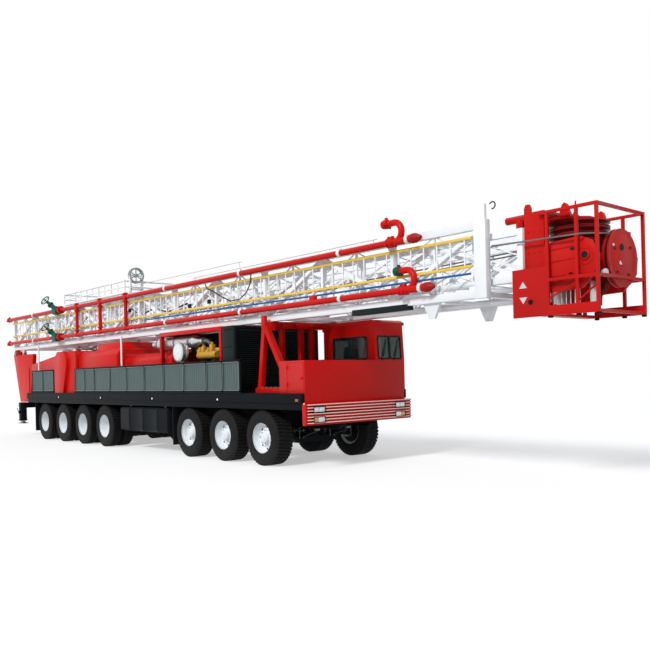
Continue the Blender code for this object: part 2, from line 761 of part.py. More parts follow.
def front_axle(name, x):
    """A dropped axle beam with a kingpin eye at each end, on two leaf springs hung from the rails."""
    low, high = TYRE_RADIUS - BEAM_HEIGHT / 2, TYRE_RADIUS + BEAM_HEIGHT / 2
    eye_in = KINGPIN_Y - EYE_RADIUS / 2
    knee = RAIL_Y + SPRING_WIDTH
    bend = knee + BEAM_DROP
    upper = [(-eye_in, high), (-bend, high), (-knee, high - BEAM_DROP)]
    upper += [(-y, z) for y, z in reversed(upper)]
    lower = [(-y, z - BEAM_HEIGHT) for y, z in upper]
    shapes = [panel("X", upper + lower, x - BEAM_DEPTH / 2, x + BEAM_DEPTH / 2)]
    spring_bottom = high - BEAM_DROP - SINK
    hanger_top = RAIL_BOTTOM - SEAT
    for side in (1, -1):
        eye = (TYRE_RADIUS - EYE_HEIGHT / 2, TYRE_RADIUS + EYE_HEIGHT / 2)
        profile = [(eye[0], 0), (eye[0], EYE_RADIUS), (eye[1], EYE_RADIUS), (eye[1], 0)]
        shapes.append(turned("Z", profile, (x, side * KINGPIN_Y, 0), PIN_SIDES))
        width = (side * SPRING_Y - SPRING_WIDTH / 2, side * SPRING_Y + SPRING_WIDTH / 2)
        arc = [(x - SPRING_HALF, hanger_top - HANGER_LENGTH), (x - SPRING_PAD_HALF, spring_bottom)]
        arc += [(x + SPRING_PAD_HALF, spring_bottom), (x + SPRING_HALF, hanger_top - HANGER_LENGTH)]
        leaf = arc + [(x + SPRING_HALF, hanger_top), (x + SPRING_PAD_HALF, spring_bottom + SPRING_THICK)]
        leaf += [(x - SPRING_PAD_HALF, spring_bottom + SPRING_THICK), (x - SPRING_HALF, hanger_top)]
        shapes.append(panel("Y", leaf, *width))
    bores = [
        rod(
            (x, side * KINGPIN_Y, TYRE_RADIUS - EYE_HEIGHT),
            (x, side * KINGPIN_Y, TYRE_RADIUS + EYE_HEIGHT),
            (KINGPIN_RADIUS + EAR_CLEARANCE) / math.cos(math.pi / PIN_SIDES),
            PIN_SIDES,
            CORNER_UP,
        )
        for side in (1, -1)
    ]
    return piece(name, BLACK, shapes, bores)


def rear_bogie(name, x):
    """Two driven axles, the front one at x, on a pair of walking beams that pivot under the rails."""
    shapes = []
    tip = spindle_reach(True)
    stub = HUB_BORE_RADIUS * math.cos(math.pi / TYRE_SIDES) - SPINDLE_CLEARANCE
    flange = WHEEL_OUTER_Y - TWIN_TYRE_WIDTH - TWIN_TYRE_SPACE / 2 + TWIN_DISC_Y - DISC_THICK - 2 * RUNNING
    for axle in (x, x - AXLE_PITCH):
        profile = [(-tip, 0), (-tip, stub), (-flange, stub), (-flange, HOUSING_RADIUS)]
        profile += [(-DIFF_HALF, HOUSING_RADIUS), (-DIFF_HALF / 2, DIFF_RADIUS)]
        profile += [(-t, r) for t, r in reversed(profile)]
        shapes.append(turned("Y", profile, (axle, 0, TYRE_RADIUS), HOUSING_SIDES))
    middle = x - AXLE_PITCH / 2
    end = AXLE_PITCH / 2 + BOGIE_BEAM_END
    for side in (1, -1):
        width = (side * BOGIE_BEAM_Y - BOGIE_BEAM_WIDTH / 2, side * BOGIE_BEAM_Y + BOGIE_BEAM_WIDTH / 2)
        low, high = TYRE_RADIUS - BOGIE_BEAM_END, TYRE_RADIUS + BOGIE_BEAM_END * BOGIE_BEAM_TOP_SHARE
        saddle = RAIL_BOTTOM - SEAT
        outline = [(middle - end, low), (middle - SPRING_PAD_HALF, TYRE_RADIUS - BOGIE_BEAM_MIDDLE)]
        outline += [(middle + SPRING_PAD_HALF, TYRE_RADIUS - BOGIE_BEAM_MIDDLE), (middle + end, low)]
        outline += [(middle + end, high), (middle + SPRING_PAD_HALF, high), (middle + SPRING_PAD_HALF, saddle)]
        outline += [(middle - SPRING_PAD_HALF, saddle), (middle - SPRING_PAD_HALF, high), (middle - end, high)]
        shapes.append(panel("Y", outline, *width))
    return piece(name, BLACK, shapes)


def running_gear():
    """The axles and everything that rolls or steers."""
    places = axle_places()
    for k, x in enumerate(places):
        twin = k > 2
        for side, word in ((1, "left"), (-1, "right")):
            wheel(f"wheel_{word}_{k + 1}", x, side, twin)
            if not twin:
                knuckle(f"knuckle_{word}_{k + 1}", x, side)
        if not twin:
            front_axle(f"front_axle_{k + 1}", x)
    rear_bogie("rear_bogie_1", places[3])
    rear_bogie("rear_bogie_2", places[5])


def chassis_frame():
    """Two I-section rails with cross members, the pin of the raising cylinders, and the tail box that carries the jacks."""
    half, wall = RAIL_WIDTH / 2, RAIL_WALL
    shapes = []
    for side in (1, -1):
        y = side * RAIL_Y
        section = [(y - half, RAIL_BOTTOM), (y + half, RAIL_BOTTOM), (y + half, RAIL_BOTTOM + wall)]
        section += [(y + wall / 2, RAIL_BOTTOM + wall), (y + wall / 2, RAIL_TOP - wall), (y + half, RAIL_TOP - wall)]
        section += [(y + half, RAIL_TOP), (y - half, RAIL_TOP), (y - half, RAIL_TOP - wall)]
        section += [(y - wall / 2, RAIL_TOP - wall), (y - wall / 2, RAIL_BOTTOM + wall), (y - half, RAIL_BOTTOM + wall)]
        shapes.append(panel("X", section, RAIL_REAR_X, RAIL_FRONT_X))
    middle = (RAIL_BOTTOM + RAIL_TOP) / 2
    for share in CROSS_MEMBER_SHARES:
        x = RAIL_REAR_X + share * (RAIL_FRONT_X - RAIL_REAR_X)
        run, rise = (x - CROSS_MEMBER / 2, x + CROSS_MEMBER / 2), (middle - CROSS_MEMBER / 2, middle + CROSS_MEMBER / 2)
        shapes.append(box(run, (-RAIL_Y, RAIL_Y), rise))
    foot, _, _ = cylinder_line()
    ends = [foot + Vector((0, y, 0)) for y in (-RAIL_Y, RAIL_Y)]
    shapes.append(rod(*ends, CYLINDER_PIN_RADIUS, CYLINDER_SIDES))
    reach = JACK_Y - JACK_SIZE / 2 + SINK
    tail = (JACK_X - JACK_SIZE / 2 + SINK, JACK_X + JACK_SIZE / 2 - SINK)
    shapes.append(box(tail, (-reach, reach), (middle, JACK_TOP - SINK)))
    bores = []
    for side in (1, -1):
        x, y, size = JACK_X, side * JACK_Y, JACK_SIZE / 2
        shapes.append(box((x - size, x + size), (y - size, y + size), (JACK_BOTTOM, JACK_TOP)))
        bore = JACK_LEG_SIZE / 2 + JACK_CLEARANCE
        depth = (JACK_BOTTOM - OVERRUN, JACK_TOP - JACK_WALL)
        bores.append(box((x - bore, x + bore), (y - bore, y + bore), depth))
    return piece("chassis_frame", BLACK, shapes, bores)


def jack_leg(name, side):
    """A square jack leg with its round pad, drawn up into the tail box."""
    x, y, size = JACK_X, side * JACK_Y, JACK_LEG_SIZE / 2
    leg = box((x - size, x + size), (y - size, y + size), (JACK_PAD_BOTTOM + SEAT, JACK_TOP - JACK_WALL - OVERRUN))
    rise = (JACK_PAD_BOTTOM, JACK_PAD_BOTTOM + JACK_PAD_THICK)
    pad = turned("Z", [(rise[0], 0), (rise[0], JACK_PAD_RADIUS), (rise[1], JACK_PAD_RADIUS), (rise[1], 0)],
                 (x, y, 0), CYLINDER_SIDES)
    return piece(name, STEEL, [leg, pad], origin=(x, y, JACK_PAD_BOTTOM))


def deck():
    """The deck: a plate with edge channels, cross beams on the rails, side skirts and rubber flaps."""
    low_z = DECK_TOP - DECK_PLATE
    span = (-DECK_HALF_WIDTH, DECK_HALF_WIDTH)
    shapes = [box((DECK_REAR_X, DECK_FRONT_X), span, (low_z, DECK_TOP))]
    inner = DECK_HALF_WIDTH - DECK_EDGE
    for side in both_sides(inner, DECK_HALF_WIDTH - SEAT):
        shapes.append(box((DECK_REAR_X + SEAT, DECK_FRONT_X - SEAT), side, (DECK_BOTTOM, low_z + SINK / 2)))
    step = (DECK_FRONT_X - DECK_REAR_X - DECK_BEAM_WIDTH) / (DECK_BEAM_COUNT - 1)
    for k in range(DECK_BEAM_COUNT):
        x = DECK_REAR_X + k * step
        run = (x + 2 * SEAT, x + DECK_BEAM_WIDTH - 2 * SEAT)
        shapes.append(box(run, (-inner - SINK, inner + SINK), (DECK_BOTTOM + SEAT, low_z + SINK / 2)))
        for y in (-RAIL_Y, RAIL_Y):
            foot = (y - RAIL_WIDTH / 2, y + RAIL_WIDTH / 2)
            shapes.append(box((run[0] + SEAT, run[1] - SEAT), foot, (RAIL_TOP + SEAT, DECK_BOTTOM + SINK)))
    for side in both_sides(DECK_HALF_WIDTH - SKIRT_THICK - DECK_EDGE / 2, DECK_HALF_WIDTH - DECK_EDGE / 2):
        shapes.append(box((DECK_REAR_X + SINK, DECK_FRONT_X - SINK), side, (SKIRT_BOTTOM, DECK_BOTTOM + SINK)))
    for x in (FLAP_REAR_X, FLAP_MIDDLE_X):
        for side in both_sides(inner - FLAP_WIDTH, inner - SINK):
            shapes.append(box((x, x + FLAP_THICK), side, (FLAP_BOTTOM, low_z + SINK / 2)))
    slot = box((DECK_REAR_X - OVERRUN, DECK_SLOT_FRONT_X), (-DECK_SLOT_HALF, DECK_SLOT_HALF),
               (DECK_BOTTOM - OVERRUN, DECK_TOP + OVERRUN))
    return piece("deck", BLACK, shapes, [slot])


def under_box(name, side):
    """A chamfered tank slung from the deck between the axle groups, with three straps and its hangers."""
    outer, inner = BOX_OUTER_Y, BOX_OUTER_Y - BOX_DEPTH
    cut = BOX_CHAMFER
    section = [(inner, BOX_BOTTOM), (outer - cut, BOX_BOTTOM), (outer, BOX_BOTTOM + cut)]
    section += [(outer, BOX_TOP - cut), (outer - cut, BOX_TOP), (inner, BOX_TOP)]
    grown = BOX_STRAP_PROUD
    hoop = [(inner - grown, BOX_BOTTOM - grown), (outer - cut, BOX_BOTTOM - grown), (outer + grown, BOX_BOTTOM + cut)]
    hoop += [(outer + grown, BOX_TOP - cut), (outer - cut, BOX_TOP + grown), (inner - grown, BOX_TOP + grown)]
    shapes = [panel("X", [(side * y, z) for y, z in section], BOX_REAR_X, BOX_FRONT_X)]
    for share in BOX_STRAP_SHARES:
        x = BOX_REAR_X + share * (BOX_FRONT_X - BOX_REAR_X)
        run = (x - BOX_STRAP_WIDTH / 2, x + BOX_STRAP_WIDTH / 2)
        shapes.append(panel("X", [(side * y, z) for y, z in hoop], *run))
    rail_face = RAIL_Y + RAIL_WIDTH / 2 + SEAT
    for share in BOX_STRAP_SHARES:
        x = BOX_REAR_X + share * (BOX_FRONT_X - BOX_REAR_X) + BOX_STRAP_WIDTH
        width = sorted((side * rail_face, side * (inner + SINK)))
        level = (BOX_TOP - HANGER_WIDTH, RAIL_TOP - SINK / 2)
        shapes.append(box((x, x + HANGER_WIDTH), width, level))
    return piece(name, BLACK, shapes)


def platform(name, side, stations):
    """A folded walkway: a framed, ribbed panel per station gap on one hinge tube at the deck's edge."""
    hinge_z = DECK_TOP + PLATFORM_HINGE_RADIUS + PIVOT_CLEARANCE
    outer = DECK_HALF_WIDTH - PLATFORM_HINGE_RADIUS
    inner = outer - PLATFORM_THICK
    low, top = DECK_TOP + PLATFORM_GAP, DECK_TOP + PLATFORM_HEIGHT
    start, end = stations[0], stations[-1]
    rail = PLATFORM_RAIL
    holes = []
    for left, right in zip(stations, stations[1:]):
        middle = (left + right) / 2
        for a, b in ((left, middle), (middle, right)):
            holes.append(oblong(a + rail, b - rail, low + rail, top - rail))
    faces = sorted((side * inner, side * outer))
    frame = panel("Y", oblong(start, end, low, top), *faces, holes)
    skin_y = side * (inner + PLATFORM_THICK / 2)
    skin = box((start + rail / 2, end - rail / 2), (skin_y - PLATFORM_SKIN / 2, skin_y + PLATFORM_SKIN / 2),
               (low + rail / 2, top - rail / 2))
    axis_y = side * outer
    ends = ((start + rail, axis_y, hinge_z), (end - rail, axis_y, hinge_z))
    hinge = rod(*ends, PLATFORM_HINGE_RADIUS, HOUSING_SIDES, CORNER_UP)
    return piece(name, GREY, [frame, skin, hinge], origin=((start + end) / 2, axis_y, hinge_z))


def front_locker():
    """The wide locker across the nose, whose flat front runs the whole width under the cab's windows."""
    top, half = LOCKER_TOP, LOCKER_HALF_WIDTH
    run = (LOCKER_REAR_X, LOCKER_FRONT_X - SINK / 2)
    body = box(run, (SEAT - half, CAB_INNER_Y - SEAT), (DECK_TOP + SEAT, top - SEAT))
    apron = box((DECK_FRONT_X + SEAT, LOCKER_FRONT_X), (-half, half), (BUMPER_TOP + SEAT, top))
    return piece("front_locker", RED, [body, apron])


def bumper():
    """The ribbed front bumper with four lamp pockets, on two brackets from the rails."""
    height = (BUMPER_TOP - BUMPER_BOTTOM) / BUMPER_RIBS
    face, root = BUMPER_FRONT_X, BUMPER_FRONT_X - BUMPER_RIB_PROUD
    outline = [(BUMPER_FRONT_X - BUMPER_DEPTH, BUMPER_TOP), (BUMPER_FRONT_X - BUMPER_DEPTH, BUMPER_BOTTOM)]
    for k in range(BUMPER_RIBS):
        z = BUMPER_BOTTOM + k * height
        outline += [(root, z), (root, z + height / 2), (face, z + height / 2), (face, z + height)]
    outline[2:3] = [(root, BUMPER_BOTTOM)]
    shapes = [panel("Y", outline, -DECK_HALF_WIDTH, DECK_HALF_WIDTH)]
    for y in (-BUMPER_BRACKET_Y, BUMPER_BRACKET_Y):
        run = (RAIL_FRONT_X + SEAT, BUMPER_FRONT_X - BUMPER_DEPTH + SINK)
        shapes.append(box(run, (y - RAIL_WIDTH / 2, y + RAIL_WIDTH / 2), (BUMPER_BOTTOM + SINK, RAIL_TOP)))
    pockets = []
    for z in (LAMP_UPPER_Z, LAMP_LOWER_Z):
        for side in (1, -1):
            y = side * LAMP_POCKET_Y
            wide = (y - LAMP_POCKET_WIDTH / 2, y + LAMP_POCKET_WIDTH / 2)
            tall = (z - LAMP_POCKET_HEIGHT / 2, z + LAMP_POCKET_HEIGHT / 2)
            pockets.append(box((face - LAMP_POCKET_DEPTH, face + OVERRUN), wide, tall))
    return piece("bumper", RED, shapes, pockets)


def cab():
    """The narrow hollow cab on the driver's side, with its windows cut and its doorway open."""
    wall, floor = CAB_WALL, DECK_TOP + SEAT
    back, front, rake = CAB_REAR_X, DECK_FRONT_X - SEAT, CAB_RAKE
    roof = CAB_ROOF - CAB_ROOF_THICK
    side = [(back, floor), (front, floor), (front, CAB_WINDOW_BOTTOM), (front - rake, roof), (back, roof)]
    shell = panel("Y", side, CAB_INNER_Y, CAB_OUTER_Y)
    lip = CAB_ROOF_LIP
    cap = [(back - lip, roof - SINK), (front - rake + lip, roof - SINK), (front - rake + lip, CAB_ROOF - lip),
           (front - rake - lip, CAB_ROOF), (back + lip, CAB_ROOF), (back - lip, CAB_ROOF - lip)]
    top = panel("Y", cap, CAB_INNER_Y - SEAT, CAB_OUTER_Y + SEAT)
    room = [(back + wall, floor + wall), (front - wall, floor + wall), (front - wall, CAB_WINDOW_BOTTOM)]
    room += [(front - rake - wall, roof - SINK), (back + wall, roof - SINK)]
    cuts = [panel("Y", room, CAB_INNER_Y + wall, CAB_OUTER_Y - wall)]
    low, high = CAB_WINDOW_BOTTOM, CAB_WINDOW_TOP
    cuts.append(box(CAB_SIDE_WINDOW, (CAB_INNER_Y - OVERRUN, CAB_INNER_Y + wall + OVERRUN), (low, high)))
    across_cab = (CAB_INNER_Y + CAB_PILLAR, CAB_OUTER_Y - CAB_PILLAR)
    cuts.append(box((front - wall - rake - OVERRUN, front + OVERRUN), across_cab, (low, high)))
    cuts.append(box((back - OVERRUN, back + wall + OVERRUN), across_cab, (low, high)))
    doorway = (CAB_OUTER_Y - wall - OVERRUN, CAB_OUTER_Y + OVERRUN)
    cuts.append(box((DOOR_REAR_X, DOOR_FRONT_X), doorway, (DOOR_BOTTOM, DOOR_TOP)))
    return piece("cab", RED, [shell, top], cuts)


def cab_door():
    """The driver's door in the cab's outer wall, hung on two pins at its front edge, with its window cut."""
    gap, wall = DOOR_GAP, CAB_WALL
    x = (DOOR_REAR_X + gap, DOOR_FRONT_X - gap)
    y = (CAB_OUTER_Y - wall + SEAT, CAB_OUTER_Y)
    leaf = box(x, y, (DOOR_BOTTOM + gap, DOOR_TOP - gap))
    inset = DOOR_WINDOW_INSET
    window = box((x[0] + inset, x[1] - inset), (y[0] - OVERRUN, y[1] + OVERRUN), (CAB_WINDOW_BOTTOM, CAB_WINDOW_TOP))
    axis = (DOOR_FRONT_X - DOOR_AXIS_INSET, CAB_OUTER_Y - DOOR_HINGE_RADIUS - SEAT)
    ends = ((DOOR_BOTTOM + 2 * SEAT, DOOR_BOTTOM + gap + SINK), (DOOR_TOP - gap - SINK, DOOR_TOP - 2 * SEAT))
    pins = [rod((*axis, low), (*axis, high), DOOR_HINGE_RADIUS, HOUSING_SIDES) for low, high in ends]
    return piece("cab_door", RED, [leaf, *pins], [window], origin=(*axis, DOOR_BOTTOM))


def mast_support():
    """The A-frame behind the cab: raked legs each side, a cross beam, posts, and a cradle for the mast."""
    top = MAST_BOTTOM - SEAT
    beam_low = top - SUPPORT_BEAM_HEIGHT
    tube, foot = SUPPORT_TUBE, DECK_TOP + SUPPORT_FOOT_HEIGHT
    x = SUPPORT_TOP_X
    shapes = [box((x - tube / 2, x + tube / 2), (-SUPPORT_Y - tube / 2, SUPPORT_Y + tube / 2), (beam_low, top))]
    for side in (1, -1):
        y = side * SUPPORT_Y
        ends = (SUPPORT_REAR_FOOT_X, SUPPORT_FRONT_FOOT_X) if side < 0 else (SUPPORT_REAR_FOOT_X,)
        for end in ends:
            shapes.append(beam((end, y, foot - SINK), (x, y, beam_low + SUPPORT_BEAM_HEIGHT / 2), tube * SUPPORT_LEG_SHARE))
        front = SUPPORT_FRONT_FOOT_X + tube / 2 if side < 0 else CAB_REAR_X - CAB_ROOF_LIP - OVERRUN
        rear = SUPPORT_REAR_FOOT_X - tube
        shapes.append(box((rear, front), (y - tube / 2, y + tube / 2), (DECK_TOP + SEAT, foot)))
        guide = (y - tube / 2, y - SEAT) if side < 0 else (y + SEAT, y + tube / 2)
        shapes.append(box((x - tube / 2 + SEAT, x + tube / 2 - SEAT), guide, (top - SINK, top + SUPPORT_GUIDE_HEIGHT)))
    for share in SUPPORT_POST_SHARES:
        y, half = share * SUPPORT_Y, SUPPORT_POST_SIZE / 2
        shapes.append(box((x - half, x + half), (y - half, y + half), (DECK_TOP + SEAT, beam_low + SINK)))
    return piece("mast_support", RED, shapes)


def radiator():
    """The tall radiator in its frame, with slats across its open front."""
    low, top, half, rim = DECK_TOP + SEAT, RADIATOR_TOP, RADIATOR_HALF_WIDTH, RADIATOR_FRAME
    back, front = RADIATOR_REAR_X, RADIATOR_FRONT_X
    shell = box((back, front), (-half, half), (low, top))
    mouth = box((front - RADIATOR_SLAT_DEPTH, front + OVERRUN), (-half + rim, half - rim), (low + rim, top - rim))
    pitch, thick = (top - low - 2 * rim) / RADIATOR_SLATS, RADIATOR_SLAT_DEPTH / 2
    run = (front - RADIATOR_SLAT_DEPTH - SINK / 2, front - SINK)
    slats = []
    for k in range(RADIATOR_SLATS):
        z = low + rim + (k + 0.5) * pitch
        slats.append(box(run, (-half + rim - SINK, half - rim + SINK), (z - thick / 2, z + thick / 2)))
    return piece("radiator", BLACK, [shell], [mouth], slats)


def engine():
    """The engine as one block with its sump and a row of cylinder heads."""
    half, low = ENGINE_HALF_WIDTH, DECK_TOP + SEAT
    sump = ENGINE_SUMP_HALF
    section = [(-sump, low), (sump, low), (sump, ENGINE_SUMP_TOP), (half, ENGINE_SUMP_TOP + sump / 2)]
    shoulder, block_top = half * ENGINE_SHOULDER_SHARE, ENGINE_TOP - ENGINE_HEAD_HEIGHT
    section += [(shoulder, block_top), (-shoulder, block_top)]
    section += [(-half, ENGINE_SUMP_TOP + sump / 2), (-sump, ENGINE_SUMP_TOP)]
    shapes = [panel("X", section, ENGINE_REAR_X, ENGINE_FRONT_X)]
    pitch = (ENGINE_FRONT_X - ENGINE_REAR_X) / ENGINE_HEADS
    for k in range(ENGINE_HEADS):
        x = ENGINE_REAR_X + (k + 0.5) * pitch
        run = (x - ENGINE_HEAD_WIDTH / 2, x + ENGINE_HEAD_WIDTH / 2)
        shapes.append(box(run, (-half / 2, half / 2), (ENGINE_TOP - ENGINE_HEAD_HEIGHT - SINK, ENGINE_TOP)))
    return piece("engine", YELLOW, shapes)


def engine_canopy():
    """The open frame over the engine: two long rails, cross rails and four posts on the deck."""
    low, top, rail = CANOPY_TOP - CANOPY_RAIL, CANOPY_TOP, CANOPY_RAIL
    back, front, half = CANOPY_REAR_X, CANOPY_FRONT_X, CANOPY_HALF_WIDTH
    inside = oblong(back + rail, front - rail, -half + rail, half - rail)
    ring = panel("Z", oblong(back, front, -half, half), low, top, [inside])
    shapes = [ring, box((back + rail / 2, front - rail / 2), (-half + rail / 2, half - rail / 2),
                        (top - DECK_PLATE, top - SEAT))]
    for x in (back, front - rail):
        for side in both_sides(half - rail, half):
            run = (x + SEAT, x + rail - SEAT)
            inner = (side[0] + SEAT, side[1] - SEAT)
            shapes.append(box(run, inner, (DECK_TOP + SEAT, low + SINK)))
    return piece("engine_canopy", RED, shapes)


def silencer():
    """The long exhaust silencer on the near side, with coned ends, on two legs from the gearbox housing."""
    cone, neck = SILENCER_CONE, SILENCER_NECK
    back, front, radius = SILENCER_REAR_X, SILENCER_FRONT_X, SILENCER_RADIUS
    profile = [(back, 0), (back, neck), (back + cone, radius), (front - cone, radius), (front, neck), (front, 0)]
    shapes = [turned("X", profile, (0, SILENCER_Y, SILENCER_Z), SILENCER_SIDES)]
    half = SILENCER_LEG / 2
    for share in SILENCER_LEG_SHARES:
        x = back + share * (front - back)
        floor = (GEAR_TOP if x < GEAR_FRONT_X else DECK_TOP) + SEAT
        shapes.append(box((x - half, x + half), (SILENCER_LEG_Y - half, SILENCER_LEG_Y + half), (floor, SILENCER_Z)))
    return piece("silencer", STEEL, shapes)


def air_filter():
    """The round air filter that looks out of the near side, on its own bracket from the deck."""
    outer, inner, radius = -FILTER_OUTER_Y, -FILTER_INNER_Y, FILTER_RADIUS
    profile = [(outer, 0), (outer + FILTER_DISH / 2, radius * FILTER_FACE_SHARE), (outer + FILTER_DISH, radius)]
    profile += [(inner, radius), (inner, 0)]
    drum = turned("Y", profile, (FILTER_X, 0, FILTER_Z), FILTER_SIDES)
    half = FILTER_LEG_WIDTH / 2
    leg = box((FILTER_X - half, FILTER_X + half), (inner - 2 * half, inner - SINK), (DECK_TOP + SEAT, FILTER_Z))
    return piece("air_filter", WHITE, [drum, leg])


def drum_housing():
    """The main winch housing, the brake cowls that stand out at both ends, and its two rear side housings."""
    low, top, half, cut = DECK_TOP + SEAT, DRUM_TOP, DRUM_HALF_WIDTH, DRUM_CHAMFER
    side = [(DRUM_REAR_X, low), (DRUM_FRONT_X, low), (DRUM_FRONT_X, top - cut / 2), (DRUM_FRONT_X - cut / 2, top)]
    side += [(DRUM_REAR_X + cut, top), (DRUM_REAR_X, top - cut)]
    shapes = [panel("Y", side, -half, half)]
    back, front, toe = DRUM_COWL_REAR_X, DRUM_COWL_FRONT_X, DRUM_COWL_TOE
    cowl = [(back - SINK, low + SEAT), (front - toe, low + SEAT), (front, top - 2 * cut), (front, top - cut)]
    cowl += [(front - cut, top + SEAT), (back + cut, top + SEAT), (back - SINK, top - cut)]
    for y in both_sides(half - SINK, DRUM_COWL_HALF_WIDTH):
        shapes.append(panel("Y", cowl, *y))
    edge = WEDGE_CHAMFER
    wedge = [(WEDGE_REAR_X, low + SEAT), (DRUM_REAR_X + SINK, low + SEAT), (DRUM_REAR_X + SINK, WEDGE_FRONT_TOP)]
    wedge += [(WEDGE_REAR_X + edge, WEDGE_REAR_TOP), (WEDGE_REAR_X, WEDGE_REAR_TOP - edge)]
    for y in both_sides(WEDGE_INNER_Y, DECK_HALF_WIDTH - WEDGE_MARGIN):
        shapes.append(panel("Y", wedge, *y))
    return piece("drum_housing", RED, shapes)


def sand_drum_housing():
    """The second winch housing, a lower body with a raised crest."""
    low, cut = DECK_TOP + SEAT, GEAR_CHAMFER
    half, top = SAND_HALF_WIDTH, SAND_TOP
    section = [(-half, low), (half, low), (half, top - cut), (half - cut, top), (cut - half, top), (-half, top - cut)]
    crest = [(SAND_CREST_REAR_X, top - SINK), (SAND_CREST_FRONT_X, top - SINK), (SAND_CREST_FRONT_X, SAND_CREST_TOP - cut)]
    crest += [(SAND_CREST_FRONT_X - cut, SAND_CREST_TOP), (SAND_CREST_REAR_X + cut, SAND_CREST_TOP)]
    crest += [(SAND_CREST_REAR_X, SAND_CREST_TOP - cut)]
    shapes = [panel("X", section, SAND_REAR_X, SAND_FRONT_X)]
    shapes.append(panel("Y", crest, -SAND_CREST_HALF_WIDTH, SAND_CREST_HALF_WIDTH))
    return piece("sand_drum_housing", RED, shapes)


def gear_housing():
    """The gearbox and chain housing between the winches and the engine."""
    low, cut, half, top = DECK_TOP + SEAT, GEAR_CHAMFER, GEAR_HALF_WIDTH, GEAR_TOP
    section = [(-half, low), (half, low), (half, top - cut), (half - cut, top), (cut - half, top), (-half, top - cut)]
    return piece("gear_housing", RED, [panel("X", section, GEAR_REAR_X, GEAR_FRONT_X)])


def mast_base():
    """The tail frame that carries the mast: two tapered side plates, cross tubes, and a pivot pin each side."""
    foot_low, foot_top = RAIL_TOP + SEAT, BASE_FOOT_TOP
    outer = BASE_PLATE_OUTER_Y
    plate = [(BASE_FOOT_REAR_X, foot_low + SEAT), (BASE_FOOT_FRONT_X, foot_low + SEAT)]
    plate += [(BASE_TOP_FRONT_X, BASE_TOP - BASE_TUBE), (BASE_TOP_FRONT_X, BASE_TOP)]
    plate += [(PIVOT_X + BASE_HORN_HALF, BASE_TOP), (PIVOT_X + BASE_HORN_HALF / 2, BASE_HORN_TOP)]
    plate += [(PIVOT_X - BASE_HORN_HALF / 2, BASE_HORN_TOP), (BASE_TOP_REAR_X, BASE_TOP)]
    tie_z = PIVOT_Z - BASE_TIE_DROP
    cheek = [(PIVOT_X - BASE_HORN_HALF / 2, tie_z), (PIVOT_X + BASE_HORN_HALF / 2, tie_z)]
    cheek += [(PIVOT_X + BASE_HORN_HALF / 2, PIVOT_Z), (PIVOT_X + BASE_HORN_HALF / 4, PIVOT_Z + BASE_HORN_HALF / 2)]
    cheek += [(PIVOT_X - BASE_HORN_HALF / 4, PIVOT_Z + BASE_HORN_HALF / 2), (PIVOT_X - BASE_HORN_HALF / 2, PIVOT_Z)]
    shapes = [box((BASE_FOOT_REAR_X, BASE_FOOT_FRONT_X), (-outer, outer), (foot_low, foot_top))]
    for side in (1, -1):
        shapes.append(panel("Y", plate, *sorted((side * BASE_PLATE_INNER_Y, side * (outer - SEAT)))))
        shapes.append(panel("Y", cheek, *sorted((side * BASE_CHEEK_INNER_Y, side * BASE_CHEEK_OUTER_Y))))
        start = (PIVOT_X, side * (BASE_CHEEK_INNER_Y + SINK), PIVOT_Z)
        end = (PIVOT_X, side * (BASE_PLATE_INNER_Y + SINK), PIVOT_Z)
        shapes.append(rod(start, end, PIVOT_PIN_RADIUS, PIN_SIDES))
    reach = BASE_PLATE_INNER_Y + SINK
    tie = (PIVOT_X - BASE_TUBE / 2 + SINK, PIVOT_X + BASE_TUBE / 2 + SINK)
    shapes.append(box(tie, (-reach, reach), (tie_z - BASE_TUBE / 2, tie_z + BASE_TUBE / 2)))
    return piece("mast_base", RED, shapes)


